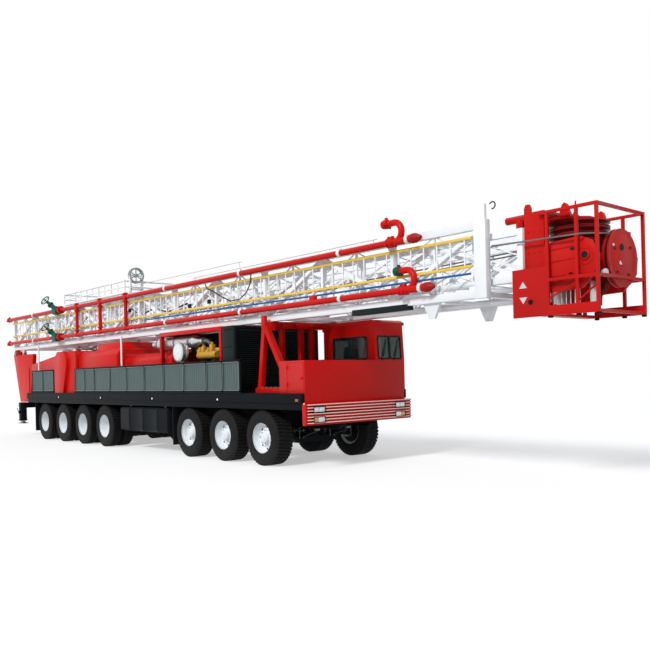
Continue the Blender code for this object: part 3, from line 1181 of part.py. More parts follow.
def lower_mast():
    """The lower mast section: two side trusses and a floor truss, open above, with lugs, shoes and portal."""
    back, front, half = MAST_REAR_X, MAST_FRONT_X, MAST_HALF_WIDTH
    low, top, chord = MAST_BOTTOM, MAST_TOP, MAST_CHORD
    shapes = []
    for y in both_sides(half - MAST_SIDE_THICK, half):
        shapes.append(truss("Y", back, front, low, top, chord, MAST_WEB, MAST_BAYS, *y))
        shapes.append(box((front - MAST_PORTAL_LENGTH, front + SINK), (y[0] - SINK, y[1] + SINK), (low - SINK, top + SINK)))
    ear = [(front - MAST_PORTAL_LENGTH, top - SINK), (front - SEAT, top - SINK), (front - SEAT, MAST_EAR_TOP)]
    ear += [(front - MAST_EAR_LENGTH, MAST_EAR_TOP)]
    for y in both_sides(MAST_EAR_INNER_Y, MAST_EAR_OUTER_Y):
        shapes.append(panel("Y", ear, *y))
    floor_half = half - MAST_SIDE_THICK / 2
    floor = (low + SEAT, low + MAST_FLOOR_THICK)
    shapes.append(ladder_frame(back + SEAT, front - SEAT, floor_half, MAST_CHORD, MAST_CHORD, MAST_FLOOR_BAYS, *floor))
    outline = [(PIVOT_X - LUG_HALF_TOP, low + SINK), (PIVOT_X - LUG_HALF_BOTTOM, PIVOT_Z - LUG_DROP)]
    outline += [(PIVOT_X + LUG_HALF_BOTTOM, PIVOT_Z - LUG_DROP), (PIVOT_X + LUG_HALF_TOP, low + SINK)]
    bore = (PIVOT_PIN_RADIUS + PIVOT_CLEARANCE) / math.cos(math.pi / PIN_SIDES)
    cuts = []
    for side in (1, -1):
        shapes.append(panel("Y", outline, *sorted((side * LUG_INNER_Y, side * LUG_OUTER_Y))))
        ends = [(PIVOT_X, side * (LUG_INNER_Y - OVERRUN), PIVOT_Z), (PIVOT_X, side * (LUG_OUTER_Y + OVERRUN), PIVOT_Z)]
        cuts.append(rod(*ends, bore, PIN_SIDES, CORNER_UP))
    chord_y = (TOPMAST_HALF_WIDTH - TOPMAST_SIDE_THICK, half - MAST_SIDE_THICK + SINK)
    for x in SHOE_X:
        for y in both_sides(*chord_y):
            shapes.append(box((x, x + SHOE_LENGTH), y, (floor[1] - SINK, TOPMAST_BOTTOM - SEAT)))
    head = CYLINDER_HEAD_X
    shapes.append(box((head - MAST_CHORD, head + MAST_CHORD), (-floor_half, floor_half), (floor[0] + SEAT, floor[1] - SEAT)))
    ear = [(head - HEAD_EAR_HALF, floor[0] + SINK), (head - HEAD_EAR_HALF / 2, CYLINDER_HEAD_Z - CYLINDER_EYE_RADIUS)]
    ear += [(2 * head - a, b) for a, b in reversed(ear)]
    inner = CYLINDER_Y + CYLINDER_EYE_HALF + RUNNING
    for y in both_sides(inner, inner + HEAD_EAR_THICK):
        shapes.append(panel("Y", ear, *y))
    pin = (CYLINDER_PIN_RADIUS + PIVOT_CLEARANCE) / math.cos(math.pi / CYLINDER_SIDES)
    reach = inner + HEAD_EAR_THICK + OVERRUN
    cuts.append(rod((head, -reach, CYLINDER_HEAD_Z), (head, reach, CYLINDER_HEAD_Z), pin, CYLINDER_SIDES, CORNER_UP))
    bracket = [(RACK_BRACKET_X - MAST_CHORD, low + SINK), (RACK_BRACKET_X, low - RACK_BRACKET_DROP)]
    bracket += [(RACK_BRACKET_X + MAST_CHORD, low - RACK_BRACKET_DROP), (RACK_BRACKET_X + 2 * MAST_CHORD, low + SINK)]
    for y in both_sides(half - MAST_SIDE_THICK + SEAT, half - MAST_SIDE_THICK / 2):
        shapes.append(panel("Y", bracket, *y))
    return piece("lower_mast", WHITE, shapes, cuts, origin=(PIVOT_X, 0, PIVOT_Z))


def upper_mast():
    """The upper mast section that telescopes inside the lower one, open above."""
    back, front, half = TOPMAST_REAR_X, TOPMAST_FRONT_X, TOPMAST_HALF_WIDTH
    low, top, chord = TOPMAST_BOTTOM, TOPMAST_TOP, TOPMAST_CHORD
    shapes = []
    for y in both_sides(half - TOPMAST_SIDE_THICK, half):
        shapes.append(truss("Y", back, front, low, top, chord, TOPMAST_WEB, TOPMAST_BAYS, *y))
    floor_half = half - TOPMAST_SIDE_THICK / 2
    floor = (low + SEAT, low + TOPMAST_FLOOR_THICK)
    shapes.append(ladder_frame(back + SEAT, front - SEAT, floor_half, chord, chord, TOPMAST_FLOOR_BAYS, *floor))
    return piece("upper_mast", WHITE, shapes, origin=(TOPMAST_REAR_X, 0, TOPMAST_BOTTOM))


def ladder():
    """The long ladder on the near side of the lower mast, on short pads against the truss posts."""
    back, front, low, top, stile = LADDER_REAR_X, LADDER_FRONT_X, LADDER_BOTTOM, LADDER_TOP, LADDER_STILE
    pitch = (front - back) / LADDER_RUNGS
    holes = [
        oblong(back + k * pitch + LADDER_RUNG / 2, back + (k + 1) * pitch - LADDER_RUNG / 2, low + stile, top - stile)
        for k in range(LADDER_RUNGS)
    ]
    inner = -MAST_HALF_WIDTH - SEAT
    return piece("ladder", YELLOW, [panel("Y", oblong(back, front, low, top), inner - LADDER_DEPTH, inner, holes)])


def standpipes():
    """The two mud pipes with goosenecks and valves, the manifold between them, and clamps to the mast."""
    shapes = []
    levels = [z for z, _ in PIPE_LEVELS]
    for z, front in PIPE_LEVELS:
        bend, steps = PIPE_BEND_RADIUS, PIPE_BEND_STEPS
        curve = [(PIPE_REAR_X, PIPE_Y, z), (front, PIPE_Y, z)]
        for k in range(1, steps + 1):
            turn = math.pi * k / steps
            curve.append((front + bend * math.sin(turn), PIPE_Y, z + bend * (1 - math.cos(turn))))
        curve.append((front - bend, PIPE_Y, z + 2 * bend))
        shapes.append(sweep(curve, PIPE_RADIUS, PIPE_SIDES))
        flanges = [(front - PIPE_UNION_LENGTH, z), (front - bend - PIPE_UNION_LENGTH / 2, z + 2 * bend)]
        flanges += [(PIPE_REAR_X - PIPE_UNION_LENGTH / 2, z)]
        for x, height in flanges:
            shapes.append(rod((x, PIPE_Y, height), (x + PIPE_UNION_LENGTH, PIPE_Y, height), PIPE_UNION_RADIUS, PIPE_SIDES))
    half = MANIFOLD_SIZE / 2
    for x in MANIFOLD_X:
        shapes.append(box((x - half, x + half), (PIPE_Y - half, PIPE_Y + half), (levels[0], MANIFOLD_TOP)))
    inner = -MAST_HALF_WIDTH - SEAT
    for x in CLAMP_X:
        run = (x - CLAMP_WIDTH / 2, x + CLAMP_WIDTH / 2)
        for z in levels:
            reach = (z - CLAMP_DROP, z) if z == levels[0] else (z - PIPE_RADIUS, z + PIPE_RADIUS)
            shapes.append(box(run, (PIPE_Y, inner), reach))
    for x, z in zip(VALVE_X, levels):
        size = VALVE_SIZE / 2
        shapes.append(box((x - size, x + size), (PIPE_Y - size, PIPE_Y + size * VALVE_BACK_SHARE), (z - size, z + size)))
    return piece("standpipes", RED, shapes)


def working_board():
    """The racking board folded flat on the upper mast: a railed basket on four legs, and the reel ahead of it."""
    back, front, low, top = BOARD_REAR_X, BOARD_FRONT_X, BOARD_BOTTOM, BOARD_TOP
    half, tube = BOARD_HALF_WIDTH, BOARD_TUBE
    pitch = (front - back - tube) / BOARD_POSTS
    holes = [
        oblong(back + k * pitch + tube, back + (k + 1) * pitch, low + tube, top - tube) for k in range(BOARD_POSTS)
    ]
    shapes = [panel("Y", oblong(back, front, low, top), *y, holes) for y in both_sides(half - tube, half)]
    shapes.append(box((back + tube, front - tube), (SINK - half, half - SINK), (low + SEAT, low + BOARD_FLOOR_THICK)))
    for x in (back, front - tube):
        for z in (low, top - tube):
            run = (x + SEAT, x + tube - SEAT)
            shapes.append(box(run, (tube - half - SINK, half - tube + SINK), (z + SEAT, z + tube - SEAT)))
    leg_y = (TOPMAST_HALF_WIDTH - TOPMAST_SIDE_THICK, TOPMAST_HALF_WIDTH)
    for share in BOARD_LEG_SHARES:
        x = back + share * (front - back)
        for y in both_sides(*leg_y):
            shapes.append(box((x, x + tube * 2), y, (TOPMAST_TOP + SEAT, low + SINK)))
    shapes += line_reel()
    return piece("working_board", WHITE, shapes)


def line_reel():
    """The spoked reel ahead of the board, on two legs from the upper mast and a stay from the board's rail."""
    half, leg, centre = REEL_THICK / 2, REEL_LEG / 2, (REEL_X, REEL_Y, REEL_Z)
    rim = [(-half, REEL_BORE_RADIUS), (-half, REEL_RADIUS), (half, REEL_RADIUS), (half, REEL_BORE_RADIUS)]
    hub = [(-half, 0), (-half, REEL_HUB_RADIUS), (half, REEL_HUB_RADIUS), (half, 0)]
    shapes = [turned("X", rim, centre, REEL_SIDES), turned("X", hub, centre, PIN_SIDES)]
    reach = REEL_BORE_RADIUS + SINK
    for way in (Vector((0, reach, 0)), Vector((0, 0, reach))):
        shapes.append(beam(Vector(centre) - way, Vector(centre) + way, REEL_SPOKE))
    outer = leg - TOPMAST_HALF_WIDTH
    run = (REEL_X - leg, REEL_X + leg)
    foot = (TOPMAST_TOP + SEAT, REEL_Z)
    for y in (outer, 2 * REEL_Y - outer):
        shapes.append(box(run, (y - leg + SEAT, y + leg - SEAT), foot))
    cross = REEL_Z - REEL_RADIUS - leg
    shapes.append(box((run[0] + SEAT, run[1] - SEAT), (outer, 2 * REEL_Y - outer), (cross - leg, cross + leg)))
    stay = (BOARD_BOTTOM + 2 * SEAT, BOARD_BOTTOM + BOARD_TUBE - 2 * SEAT)
    shapes.append(box((BOARD_FRONT_X - BOARD_TUBE + SEAT, REEL_X), (outer - leg + 2 * SEAT, outer + leg), stay))
    return shapes


def crown_frame():
    """The crown: an open box frame on the mast's end, bearing plates, guide disc, railed guard and arms."""
    back, front, half = TOPMAST_FRONT_X + SEAT, CROWN_BODY_FRONT_X, CROWN_BODY_HALF_WIDTH
    low, top, wall = CROWN_BODY_BOTTOM, CROWN_BODY_TOP, CROWN_BODY_WALL
    body = box((back, front), (-half, half), (low, top))
    hollow = box((back - OVERRUN, front + OVERRUN), (wall - half, half - wall), (low + wall, top - wall))
    shapes = []
    stack_half = STACK_COUNT * STACK_PITCH / 2
    plate_z = (STACK_Z + stack_half + RUNNING, STACK_Z + stack_half + RUNNING + CROWN_NOSE_PLATE)
    under_z = (STACK_Z - stack_half - RUNNING - CROWN_NOSE_PLATE, STACK_Z - stack_half - RUNNING)
    rear = back + wall
    nose = [(rear, -half + SINK), (STACK_X, -half + SINK), (CROWN_NOSE_FRONT_X, -half / 3)]
    nose += [(CROWN_NOSE_FRONT_X, half / 3), (STACK_X, half - SINK), (rear, half - SINK)]
    for z in (plate_z, under_z):
        shapes.append(panel("Z", nose, *z))
    shapes.append(rod((STACK_X, 0, under_z[0] + SINK), (STACK_X, 0, plate_z[1] - SINK), STACK_SHAFT_RADIUS, PIN_SIDES))
    cheek = [(rear, under_z[0] + SINK), (CROWN_NOSE_FRONT_X, under_z[0] + SINK), (FAST_X + FAST_RADIUS / 2, low - SINK)]
    cheek += [(front, low - SINK), (front - SINK, low + SINK), (rear, low + SINK)]
    gap = FAST_THICK / 2 + RUNNING
    for y in ((FAST_Y - gap - CROWN_NOSE_PLATE, FAST_Y - gap), (FAST_Y + gap, FAST_Y + gap + CROWN_NOSE_PLATE)):
        shapes.append(panel("Y", cheek, *y))
    shapes.append(rod((FAST_X, FAST_Y - gap - SINK, FAST_Z), (FAST_X, FAST_Y + gap + SINK, FAST_Z), STACK_SHAFT_RADIUS, PIN_SIDES))
    shapes += crown_bracket()
    shapes += crown_guard()
    return piece("crown_frame", RED, [body], [hollow], shapes)


def crown_bracket():
    """The bearing plate with its boss on each side, the beam between them, and the guide disc on the beam."""
    half, plate = CROWN_BODY_HALF_WIDTH, CROWN_NOSE_PLATE
    shapes = []
    for side in (1, -1):
        shapes.append(panel("Y", CROWN_BRACKET_OUTLINE, *sorted((side * (half - plate), side * (half - SEAT)))))
        ends = [(CROWN_BOSS_X, side * y, CROWN_BOSS_Z) for y in (half - plate / 2, half + CROWN_BOSS_PROUD)]
        shapes.append(rod(*ends, CROWN_BOSS_RADIUS, PIPE_SIDES))
        x, wide, tip = CROWN_LUG_X, CROWN_LUG_HALF, CROWN_LUG_TOP
        lug = [(x - wide, CROWN_BODY_TOP - plate), (x + wide, CROWN_BODY_TOP - plate), (x + wide, tip - wide)]
        lug += [(x + wide / 2, tip), (x - wide / 2, tip), (x - wide, tip - wide)]
        shapes.append(panel("Y", lug, *sorted((side * (half - plate - SEAT), side * (half - 2 * SEAT)))))
    reach = half - plate / 2
    run = (DISC_REAR_X - DISC_BEAM, DISC_REAR_X + SINK)
    shapes.append(box(run, (-reach, reach), (DISC_Z - DISC_BEAM / 2, DISC_Z + DISC_BEAM / 2)))
    back, front, lip = DISC_REAR_X, DISC_REAR_X + DISC_THICK_X, DISC_THICK_X / 4
    profile = [(back, 0), (back, DISC_RADIUS), (back + lip, DISC_RADIUS), (back + lip, DISC_RADIUS - DISC_GROOVE)]
    profile += [(front - lip, DISC_RADIUS - DISC_GROOVE), (front - lip, DISC_RADIUS), (front, DISC_RADIUS), (front, 0)]
    shapes.append(turned("X", profile, (0, DISC_Y, DISC_Z), DISC_SIDES))
    return shapes


def crown_guard():
    """The railed guard round the crown with its blank side plate and the roller arms that face the mast."""
    tube, half = CROWN_GUARD_TUBE, CROWN_GUARD_HALF_WIDTH
    back, front = CROWN_GUARD_REAR_X, CROWN_GUARD_FRONT_X
    low, top, middle = CROWN_GUARD_BOTTOM, CROWN_GUARD_TOP, CROWN_GUARD_MIDDLE_Z
    bay = CROWN_GUARD_MIDDLE_X
    shapes = []
    holes = [oblong(back + tube, bay - tube / 2, middle + tube, top - tube)]
    holes += [oblong(bay + tube / 2, front - tube, middle + tube, top - tube)]
    tray = CROWN_TRAY_TOP
    holes += [oblong(back + tube, bay - tube / 2, tray, middle), oblong(bay + tube / 2, front - tube, tray, middle)]
    for y in both_sides(half - tube, half):
        shapes.append(panel("Y", oblong(back, front, low, top), *y, holes))
    across_holes = [oblong(tube - half, half - tube, *z) for z in ((low + tube, middle), (middle + tube, top - tube))]
    inside = half - SEAT
    shapes.append(panel("X", oblong(-inside, inside, low + SEAT, top - SEAT), front - tube, front - SEAT, across_holes))
    for z in (low, top - tube):
        run = (CROWN_BODY_FRONT_X - tube - SINK, back + tube - SEAT)
        shapes.append(box(run, (tube - half - SINK, half - tube + SINK), (z + SEAT, z + tube - SEAT)))
    post = (CROWN_BODY_FRONT_X - tube - 2 * SINK, CROWN_BODY_FRONT_X - SINK)
    for y in both_sides(CROWN_BODY_HALF_WIDTH - tube, CROWN_BODY_HALF_WIDTH - SINK):
        shapes.append(box(post, y, (low + SINK, CROWN_BODY_BOTTOM + SINK)))
    sign = (CROWN_SIGN_REAR_X, back + tube / 2)
    shapes.append(box(sign, (SEAT - half, tube / 2 - half), (low + SEAT, CROWN_SIGN_TOP)))
    arm_z = CROWN_BODY_TOP - CROWN_ARM_RADIUS
    for y in both_sides(CROWN_BODY_HALF_WIDTH - 2 * CROWN_ARM_RADIUS, CROWN_BODY_HALF_WIDTH):
        middle_y = (y[0] + y[1]) / 2
        arm = ((CROWN_ARM_REAR_X, middle_y, arm_z), (CROWN_BODY_FRONT_X - SINK, middle_y, arm_z))
        shapes.append(rod(*arm, CROWN_ARM_RADIUS, PIPE_SIDES))
        x = CROWN_ARM_REAR_X + CROWN_ROLLER_INSET
        ends = ((x, middle_y, arm_z - CROWN_ROLLER_DROP), (x, middle_y, arm_z))
        shapes.append(rod(*ends, CROWN_ROLLER_RADIUS, PIPE_SIDES))
    return shapes


def sheave_profile(low, count, pitch, radius, groove, bore):
    """The section of a row of grooved sheaves on one bore, from low upwards."""
    outer = [(low, bore), (low, radius)]
    for k in range(count):
        start = low + k * pitch
        for share, depth in zip(GROOVE_SHARES, (0, groove, 0)):
            outer.append((start + pitch * share, radius - depth))
    outer += [(low + count * pitch, radius), (low + count * pitch, bore)]
    return outer


def sheaves():
    """The stack of crown sheaves on its upright shaft, and the fast-line sheave on a cross shaft."""
    bore = (STACK_SHAFT_RADIUS + PIVOT_CLEARANCE) / math.cos(math.pi / STACK_SIDES)
    low = -STACK_COUNT * STACK_PITCH / 2
    profile = sheave_profile(low, STACK_COUNT, STACK_PITCH, STACK_RADIUS, STACK_GROOVE, bore)
    centre = (STACK_X, 0, STACK_Z)
    piece("crown_sheaves", RED, [turned("Z", profile, centre, STACK_SIDES)], origin=centre)
    profile = sheave_profile(-FAST_THICK / 2, 1, FAST_THICK, FAST_RADIUS, STACK_GROOVE, bore)
    centre = (FAST_X, FAST_Y, FAST_Z)
    piece("fast_sheave", RED, [turned("Y", profile, centre, STACK_SIDES)], origin=centre)


def cylinder_line():
    """The foot and head of a raising cylinder on the machine's middle plane, and the way between them."""
    foot = Vector((CYLINDER_FOOT_X, 0, CYLINDER_FOOT_Z))
    head = Vector((CYLINDER_HEAD_X, 0, CYLINDER_HEAD_Z))
    return foot, head, (head - foot).normalized()


def cup(start, end, radius, bore):
    """A tube closed at its start and open at its end, as its body and the cutter of its bore."""
    way = (Vector(end) - Vector(start)).normalized()
    body = rod(start, end, radius, CYLINDER_SIDES)
    hollow = rod(start + way * CYLINDER_FLOOR, end + way * OVERRUN, bore, CYLINDER_SIDES, CORNER_UP)
    return body, hollow


def raising_cylinders():
    """The pair of two-stage raising cylinders: barrels on a foot tube, middle stages, rods on a head pin."""
    foot, head, way = cylinder_line()
    shrink = math.cos(math.pi / CYLINDER_SIDES)
    shifts = [Vector((0, y, 0)) for y in (-CYLINDER_Y, CYLINDER_Y)]

    def tubes(run, radius, inner):
        made = [cup(foot + way * run[0] + s, foot + way * run[1] + s, radius, inner) for s in shifts]
        return [body for body, _ in made], [hollow for _, hollow in made]

    def cross(middle, half, radius, phase=FLAT_UP):
        reach = Vector((0, half, 0))
        return rod(middle - reach, middle + reach, radius, CYLINDER_SIDES, phase)

    gap = SPINDLE_CLEARANCE
    bodies, hollows = tubes(CYLINDER_BARREL_RUN, CYLINDER_BARREL_RADIUS, (CYLINDER_STAGE_RADIUS + gap) / shrink)
    bodies.append(cross(foot, CYLINDER_TUBE_HALF, CYLINDER_EYE_RADIUS))
    hollows.append(cross(foot, CYLINDER_TUBE_HALF + OVERRUN, (CYLINDER_PIN_RADIUS + gap) / shrink, CORNER_UP))
    piece("raising_barrels", BLACK, bodies, hollows, origin=foot)
    bodies, hollows = tubes(CYLINDER_STAGE_RUN, CYLINDER_STAGE_RADIUS, (CYLINDER_ROD_RADIUS + gap) / shrink)
    tie = foot + way * (CYLINDER_STAGE_RUN[1] - CYLINDER_COLLAR)
    bodies.append(beam(tie + shifts[0], tie + shifts[1], CYLINDER_COLLAR))
    piece("raising_stages", STEEL, bodies, hollows, origin=foot)
    bodies = [rod(foot + way * CYLINDER_ROD_START + s, head + s, CYLINDER_ROD_RADIUS, CYLINDER_SIDES) for s in shifts]
    bodies += [rod(head + s - Vector((0, CYLINDER_EYE_HALF, 0)), head + s + Vector((0, CYLINDER_EYE_HALF, 0)),
                   CYLINDER_EYE_RADIUS, CYLINDER_SIDES) for s in shifts]
    reach = CYLINDER_TUBE_HALF + HEAD_EAR_THICK / 2
    bodies.append(cross(head, reach, CYLINDER_PIN_RADIUS))
    piece("raising_rods", STEEL, bodies, origin=foot)


def build():
    """The whole rig."""
    for old in list(bpy.data.objects):
        bpy.data.objects.remove(old)
    running_gear()
    chassis_frame()
    jack_leg("jack_leg_left", 1)
    jack_leg("jack_leg_right", -1)
    deck()
    under_box("fuel_tank_left", 1)
    under_box("fuel_tank_right", -1)
    for side, word in ((1, "left"), (-1, "right")):
        platform(f"platform_{word}_rear", side, PLATFORM_REAR_RUN)
        platform(f"platform_{word}_front", side, PLATFORM_FRONT_STATIONS)
    front_locker()
    bumper()
    cab()
    cab_door()
    mast_support()
    radiator()
    engine()
    engine_canopy()
    silencer()
    air_filter()
    drum_housing()
    sand_drum_housing()
    gear_housing()
    mast_base()
    lower_mast()
    upper_mast()
    ladder()
    standpipes()
    working_board()
    crown_frame()
    sheaves()
    raising_cylinders()


build()
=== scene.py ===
"""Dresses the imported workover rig: finishes on its solids, and the detail that the solids carry.

Sizes are in metres: +X to the front bumper, +Y to the driver's side, +Z up, with the ground at zero.
Places along X are written from the rig's datum, DATUM_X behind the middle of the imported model.
"""

from __future__ import annotations

import json
import logging
import math
from dataclasses import dataclass, field
from enum import Enum
from typing import Iterable, Sequence, Union

import bmesh
import bpy
from mathutils import Matrix, Vector

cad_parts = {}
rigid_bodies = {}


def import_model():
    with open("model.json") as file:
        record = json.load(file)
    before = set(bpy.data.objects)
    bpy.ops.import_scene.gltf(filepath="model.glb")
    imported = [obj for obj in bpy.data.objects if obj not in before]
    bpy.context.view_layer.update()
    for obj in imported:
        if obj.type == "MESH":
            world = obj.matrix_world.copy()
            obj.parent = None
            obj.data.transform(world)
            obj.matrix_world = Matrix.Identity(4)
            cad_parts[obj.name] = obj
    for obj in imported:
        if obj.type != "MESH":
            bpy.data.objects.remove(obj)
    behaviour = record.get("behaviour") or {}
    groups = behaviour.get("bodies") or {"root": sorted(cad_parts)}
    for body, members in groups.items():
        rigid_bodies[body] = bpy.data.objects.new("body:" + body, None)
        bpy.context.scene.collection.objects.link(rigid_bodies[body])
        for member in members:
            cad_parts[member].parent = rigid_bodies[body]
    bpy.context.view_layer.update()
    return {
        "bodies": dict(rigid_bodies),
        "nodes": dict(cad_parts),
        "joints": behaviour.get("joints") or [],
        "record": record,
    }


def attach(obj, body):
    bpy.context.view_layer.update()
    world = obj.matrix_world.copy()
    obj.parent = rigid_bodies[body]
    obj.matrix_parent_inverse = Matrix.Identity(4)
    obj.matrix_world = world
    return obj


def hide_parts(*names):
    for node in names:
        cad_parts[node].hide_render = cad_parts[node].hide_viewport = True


log = logging.getLogger("rig")

Point = tuple[float, float, float]
Colour = tuple[float, float, float]
Outline = Sequence[tuple[float, float]]

DATUM_X = 0.185
DECK_TOP = 1.485
DECK_HALF = 1.45
ORIGIN = (0.0, 0.0, 0.0)
HALF_TURN = Matrix.Rotation(math.pi, 4, "Z")


class Axis(Enum):
    """A direction that a turned or arrayed piece runs along."""

    X = "X"
    Y = "Y"
    Z = "Z"

    def turn(self) -> Matrix:
        """The rotation that carries +Z onto this axis.

        Returns:
            The rotation.
        """
        return {
            Axis.X: Matrix.Rotation(math.pi / 2, 4, "Y"),
            Axis.Y: Matrix.Rotation(-math.pi / 2, 4, "X"),
            Axis.Z: Matrix.Identity(4),
        }[self]

    def point(self, a: float, b: float, along: float = 0.0) -> Point:
        """The point at a and b on the other two axes, in X, Y, Z order, and at along on this one."""
        return {Axis.X: (along, a, b), Axis.Y: (a, along, b), Axis.Z: (a, b, along)}[self]


class Side(Enum):
    """The driver's side and the near side of the rig."""

    LEFT = 1
    RIGHT = -1

    @property
    def word(self) -> str:
        """The side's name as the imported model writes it."""
        return self.name.lower()

    def span(self, one: float, two: float) -> list[float]:
        """Two distances from the middle as places on this side, the lower first."""
        return sorted((self.value * one, self.value * two))


# Shader sockets and trees


Operand = Union["Val", float]


def add_node(tree: bpy.types.NodeTree, kind: str, settings: dict, inputs: dict) -> bpy.types.Node:
    """Adds one node to a tree of any sort.

    Args:
        tree: the tree.
        kind: the node's type.
        settings: the node's own settings, set before its sockets.
        inputs: numbers or sockets to link, by input name or number.

    Returns:
        The node.
    """
    node = tree.nodes.new(kind)
    for key, value in settings.items():
        setattr(node, key, value)
    for key, value in inputs.items():
        if isinstance(value, bpy.types.NodeSocket):
            tree.links.new(value, node.inputs[key])
        else:
            node.inputs[key].default_value = value
    return node


@dataclass
class Val:
    """A shader value: a socket that adds Math nodes when Python operators are used on it."""

    book: "NodeBook"
    socket: bpy.types.NodeSocket

    def _math(self, operation: str, *others: Operand, swap: bool = False) -> "Val":
        """Adds a Math node.

        Args:
            operation: the Math node's operation.
            others: the other operands, as values or numbers.
            swap: whether this value goes last instead of first.

        Returns:
            The node's result.
        """
        operands = [*others, self] if swap else [self, *others]
        return self.book.add("ShaderNodeMath", {"operation": operation}, dict(enumerate(operands)))

    def __add__(self, other: Operand) -> "Val":
        """The sum."""
        return self._math("ADD", other)

    def __sub__(self, other: Operand) -> "Val":
        """The difference."""
        return self._math("SUBTRACT", other)

    def __rsub__(self, other: Operand) -> "Val":
        """The difference from a number."""
        return self._math("SUBTRACT", other, swap=True)

    def __mul__(self, other: Operand) -> "Val":
        """The product."""
        return self._math("MULTIPLY", other)

    __radd__ = __add__
    __rmul__ = __mul__

    def sine(self) -> "Val":
        """The sine of this value in radians."""
        return self._math("SINE")

    def wave(self) -> "Val":
        """The sine moved to between zero and one."""
        return self.sine() * 0.5 + 0.5

    def clamped(self) -> "Val":
        """This value held between zero and one."""
        return self.book.add("ShaderNodeClamp", {}, {0: self, 1: 0.0, 2: 1.0})

    def ramp(self, low: float, high: float) -> "Val":
        """Zero at low, one at high and straight between, held outside."""
        ends = {"From Min": low, "From Max": high, "To Min": 0.0, "To Max": 1.0}
        return self.book.add("ShaderNodeMapRange", {"clamp": True}, {"Value": self, **ends})


class NodeBook:
    """A material's node tree, written by short calls."""

    def __init__(self, name: str) -> None:
        """Starts a material of that name with an empty tree.

        Args:
            name: the material's name.
        """
        self.material = bpy.data.materials.new(name)
        self.material.use_nodes = True
        self.tree = self.material.node_tree
        self.tree.nodes.clear()

    def add(self, kind: str, settings: dict, inputs: dict, output: Union[int, str] = 0) -> Val:
        """Adds one node.

        Args:
            kind: the node's type.
            settings: the node's own settings.
            inputs: values or numbers by socket name or number.
            output: which output to hand back.

        Returns:
            The chosen output as a value.
        """
        sockets = {key: value.socket if isinstance(value, Val) else value for key, value in inputs.items()}
        return Val(self, add_node(self.tree, kind, settings, sockets).outputs[output])

    def place(self) -> list[Val]:
        """The three Object coordinates."""
        node = self.add("ShaderNodeSeparateXYZ", {}, {0: self.object_place()}).socket.node
        return [Val(self, output) for output in node.outputs]

    def object_place(self) -> Val:
        """The Object coordinates as one vector."""
        return self.add("ShaderNodeTexCoord", {}, {}, "Object")

    def noise(self, scale: float, detail: float = 3.0, roughness: float = 0.55) -> Val:
        """Noise over the Object coordinates, about one half on average."""
        inputs = {"Vector": self.object_place(), "Scale": scale, "Detail": detail, "Roughness": roughness}
        return self.add("ShaderNodeTexNoise", {}, inputs)

    def mix(self, share: Operand, one: Union[Val, Colour], two: Union[Val, Colour]) -> Val:
        """A mix of two colours.

        Args:
            share: how much of the second colour shows.
            one: the first colour.
            two: the second colour.

        Returns:
            The mixed colour.
        """
        first, second = (colour if isinstance(colour, Val) else (*colour, 1.0) for colour in (one, two))
        return self.add("ShaderNodeMix", {"data_type": "RGBA"}, {0: share, 6: first, 7: second}, 2)

    def bump(self, height: Val, distance: float, strength: float) -> Val:
        """A normal bent by a height."""
        sizes = {"Strength": strength, "Distance": distance, "Height": height}
        return self.add("ShaderNodeBump", {}, sizes, "Normal")

    def close(self, shader: Val) -> bpy.types.Material:
        """Links a shader to the surface and hands the material back."""
        add_node(self.tree, "ShaderNodeOutputMaterial", {}, {"Surface": shader.socket})
        return self.material


# Finishes


@dataclass(frozen=True)
class Finish:
    """A named finish: a main colour, and a second one that varies it."""

    name: str
    colour: Colour
    second: Colour

    def spread(self, book: NodeBook) -> tuple[dict, dict]:
        """How the finish lies on a surface.

        Args:
            book: the tree it is written in.

        Returns:
            The Principled shader's fixed numbers, and its values that change over the surface.
        """
        raise NotImplementedError

    def make(self) -> bpy.types.Material:
        """The finish as a material.

        Returns:
            The material.
        """
        book = NodeBook(self.name)
        fixed, varied = self.spread(book)
        return book.close(book.add("ShaderNodeBsdfPrincipled", {}, {**fixed, **varied}))


@dataclass(frozen=True)
class Paint(Finish):
    """Sprayed machine paint with faint mottling, settled dust and a trace of orange peel."""

    rough: float = 0.36
    dust: Colour = (0.30, 0.26, 0.22)
    dust_share: float = 0.07
    dust_top: float = 1.7
    coat: float = 0.03
    gloss: float = 0.12

    def spread(self, book: NodeBook) -> tuple[dict, dict]:
        """Mottled paint, dustier towards the ground.

        Args:
            book: the tree it is written in.

        Returns:
            The Principled shader's fixed numbers, and its values that change over the surface.
        """
        height = book.place()[2]
        mottle = book.noise(0.9, 4.0).ramp(0.35, 0.7)
        streak = book.noise(7.0, 5.0, 0.65)
        low = 1.0 - height.ramp(0.15, self.dust_top)
        dusty = (low * streak.ramp(0.35, 0.75) + streak.ramp(0.62, 0.85) * 0.35) * self.dust_share
        skin = book.mix(dusty.clamped(), book.mix(mottle * 0.7, self.colour, self.second), self.dust)
        rough = (streak * 0.16 + (self.rough - 0.08) + dusty * 0.5).clamped()
        peel = book.noise(160.0, 2.0) + book.noise(11.0, 2.0) * 2.0
        fixed = {"Coat Weight": self.coat, "Coat Roughness": 0.12, "Specular IOR Level": self.gloss}
        return fixed, {"Base Color": skin, "Roughness": rough, "Normal": book.bump(peel, 0.0006, 0.35)}


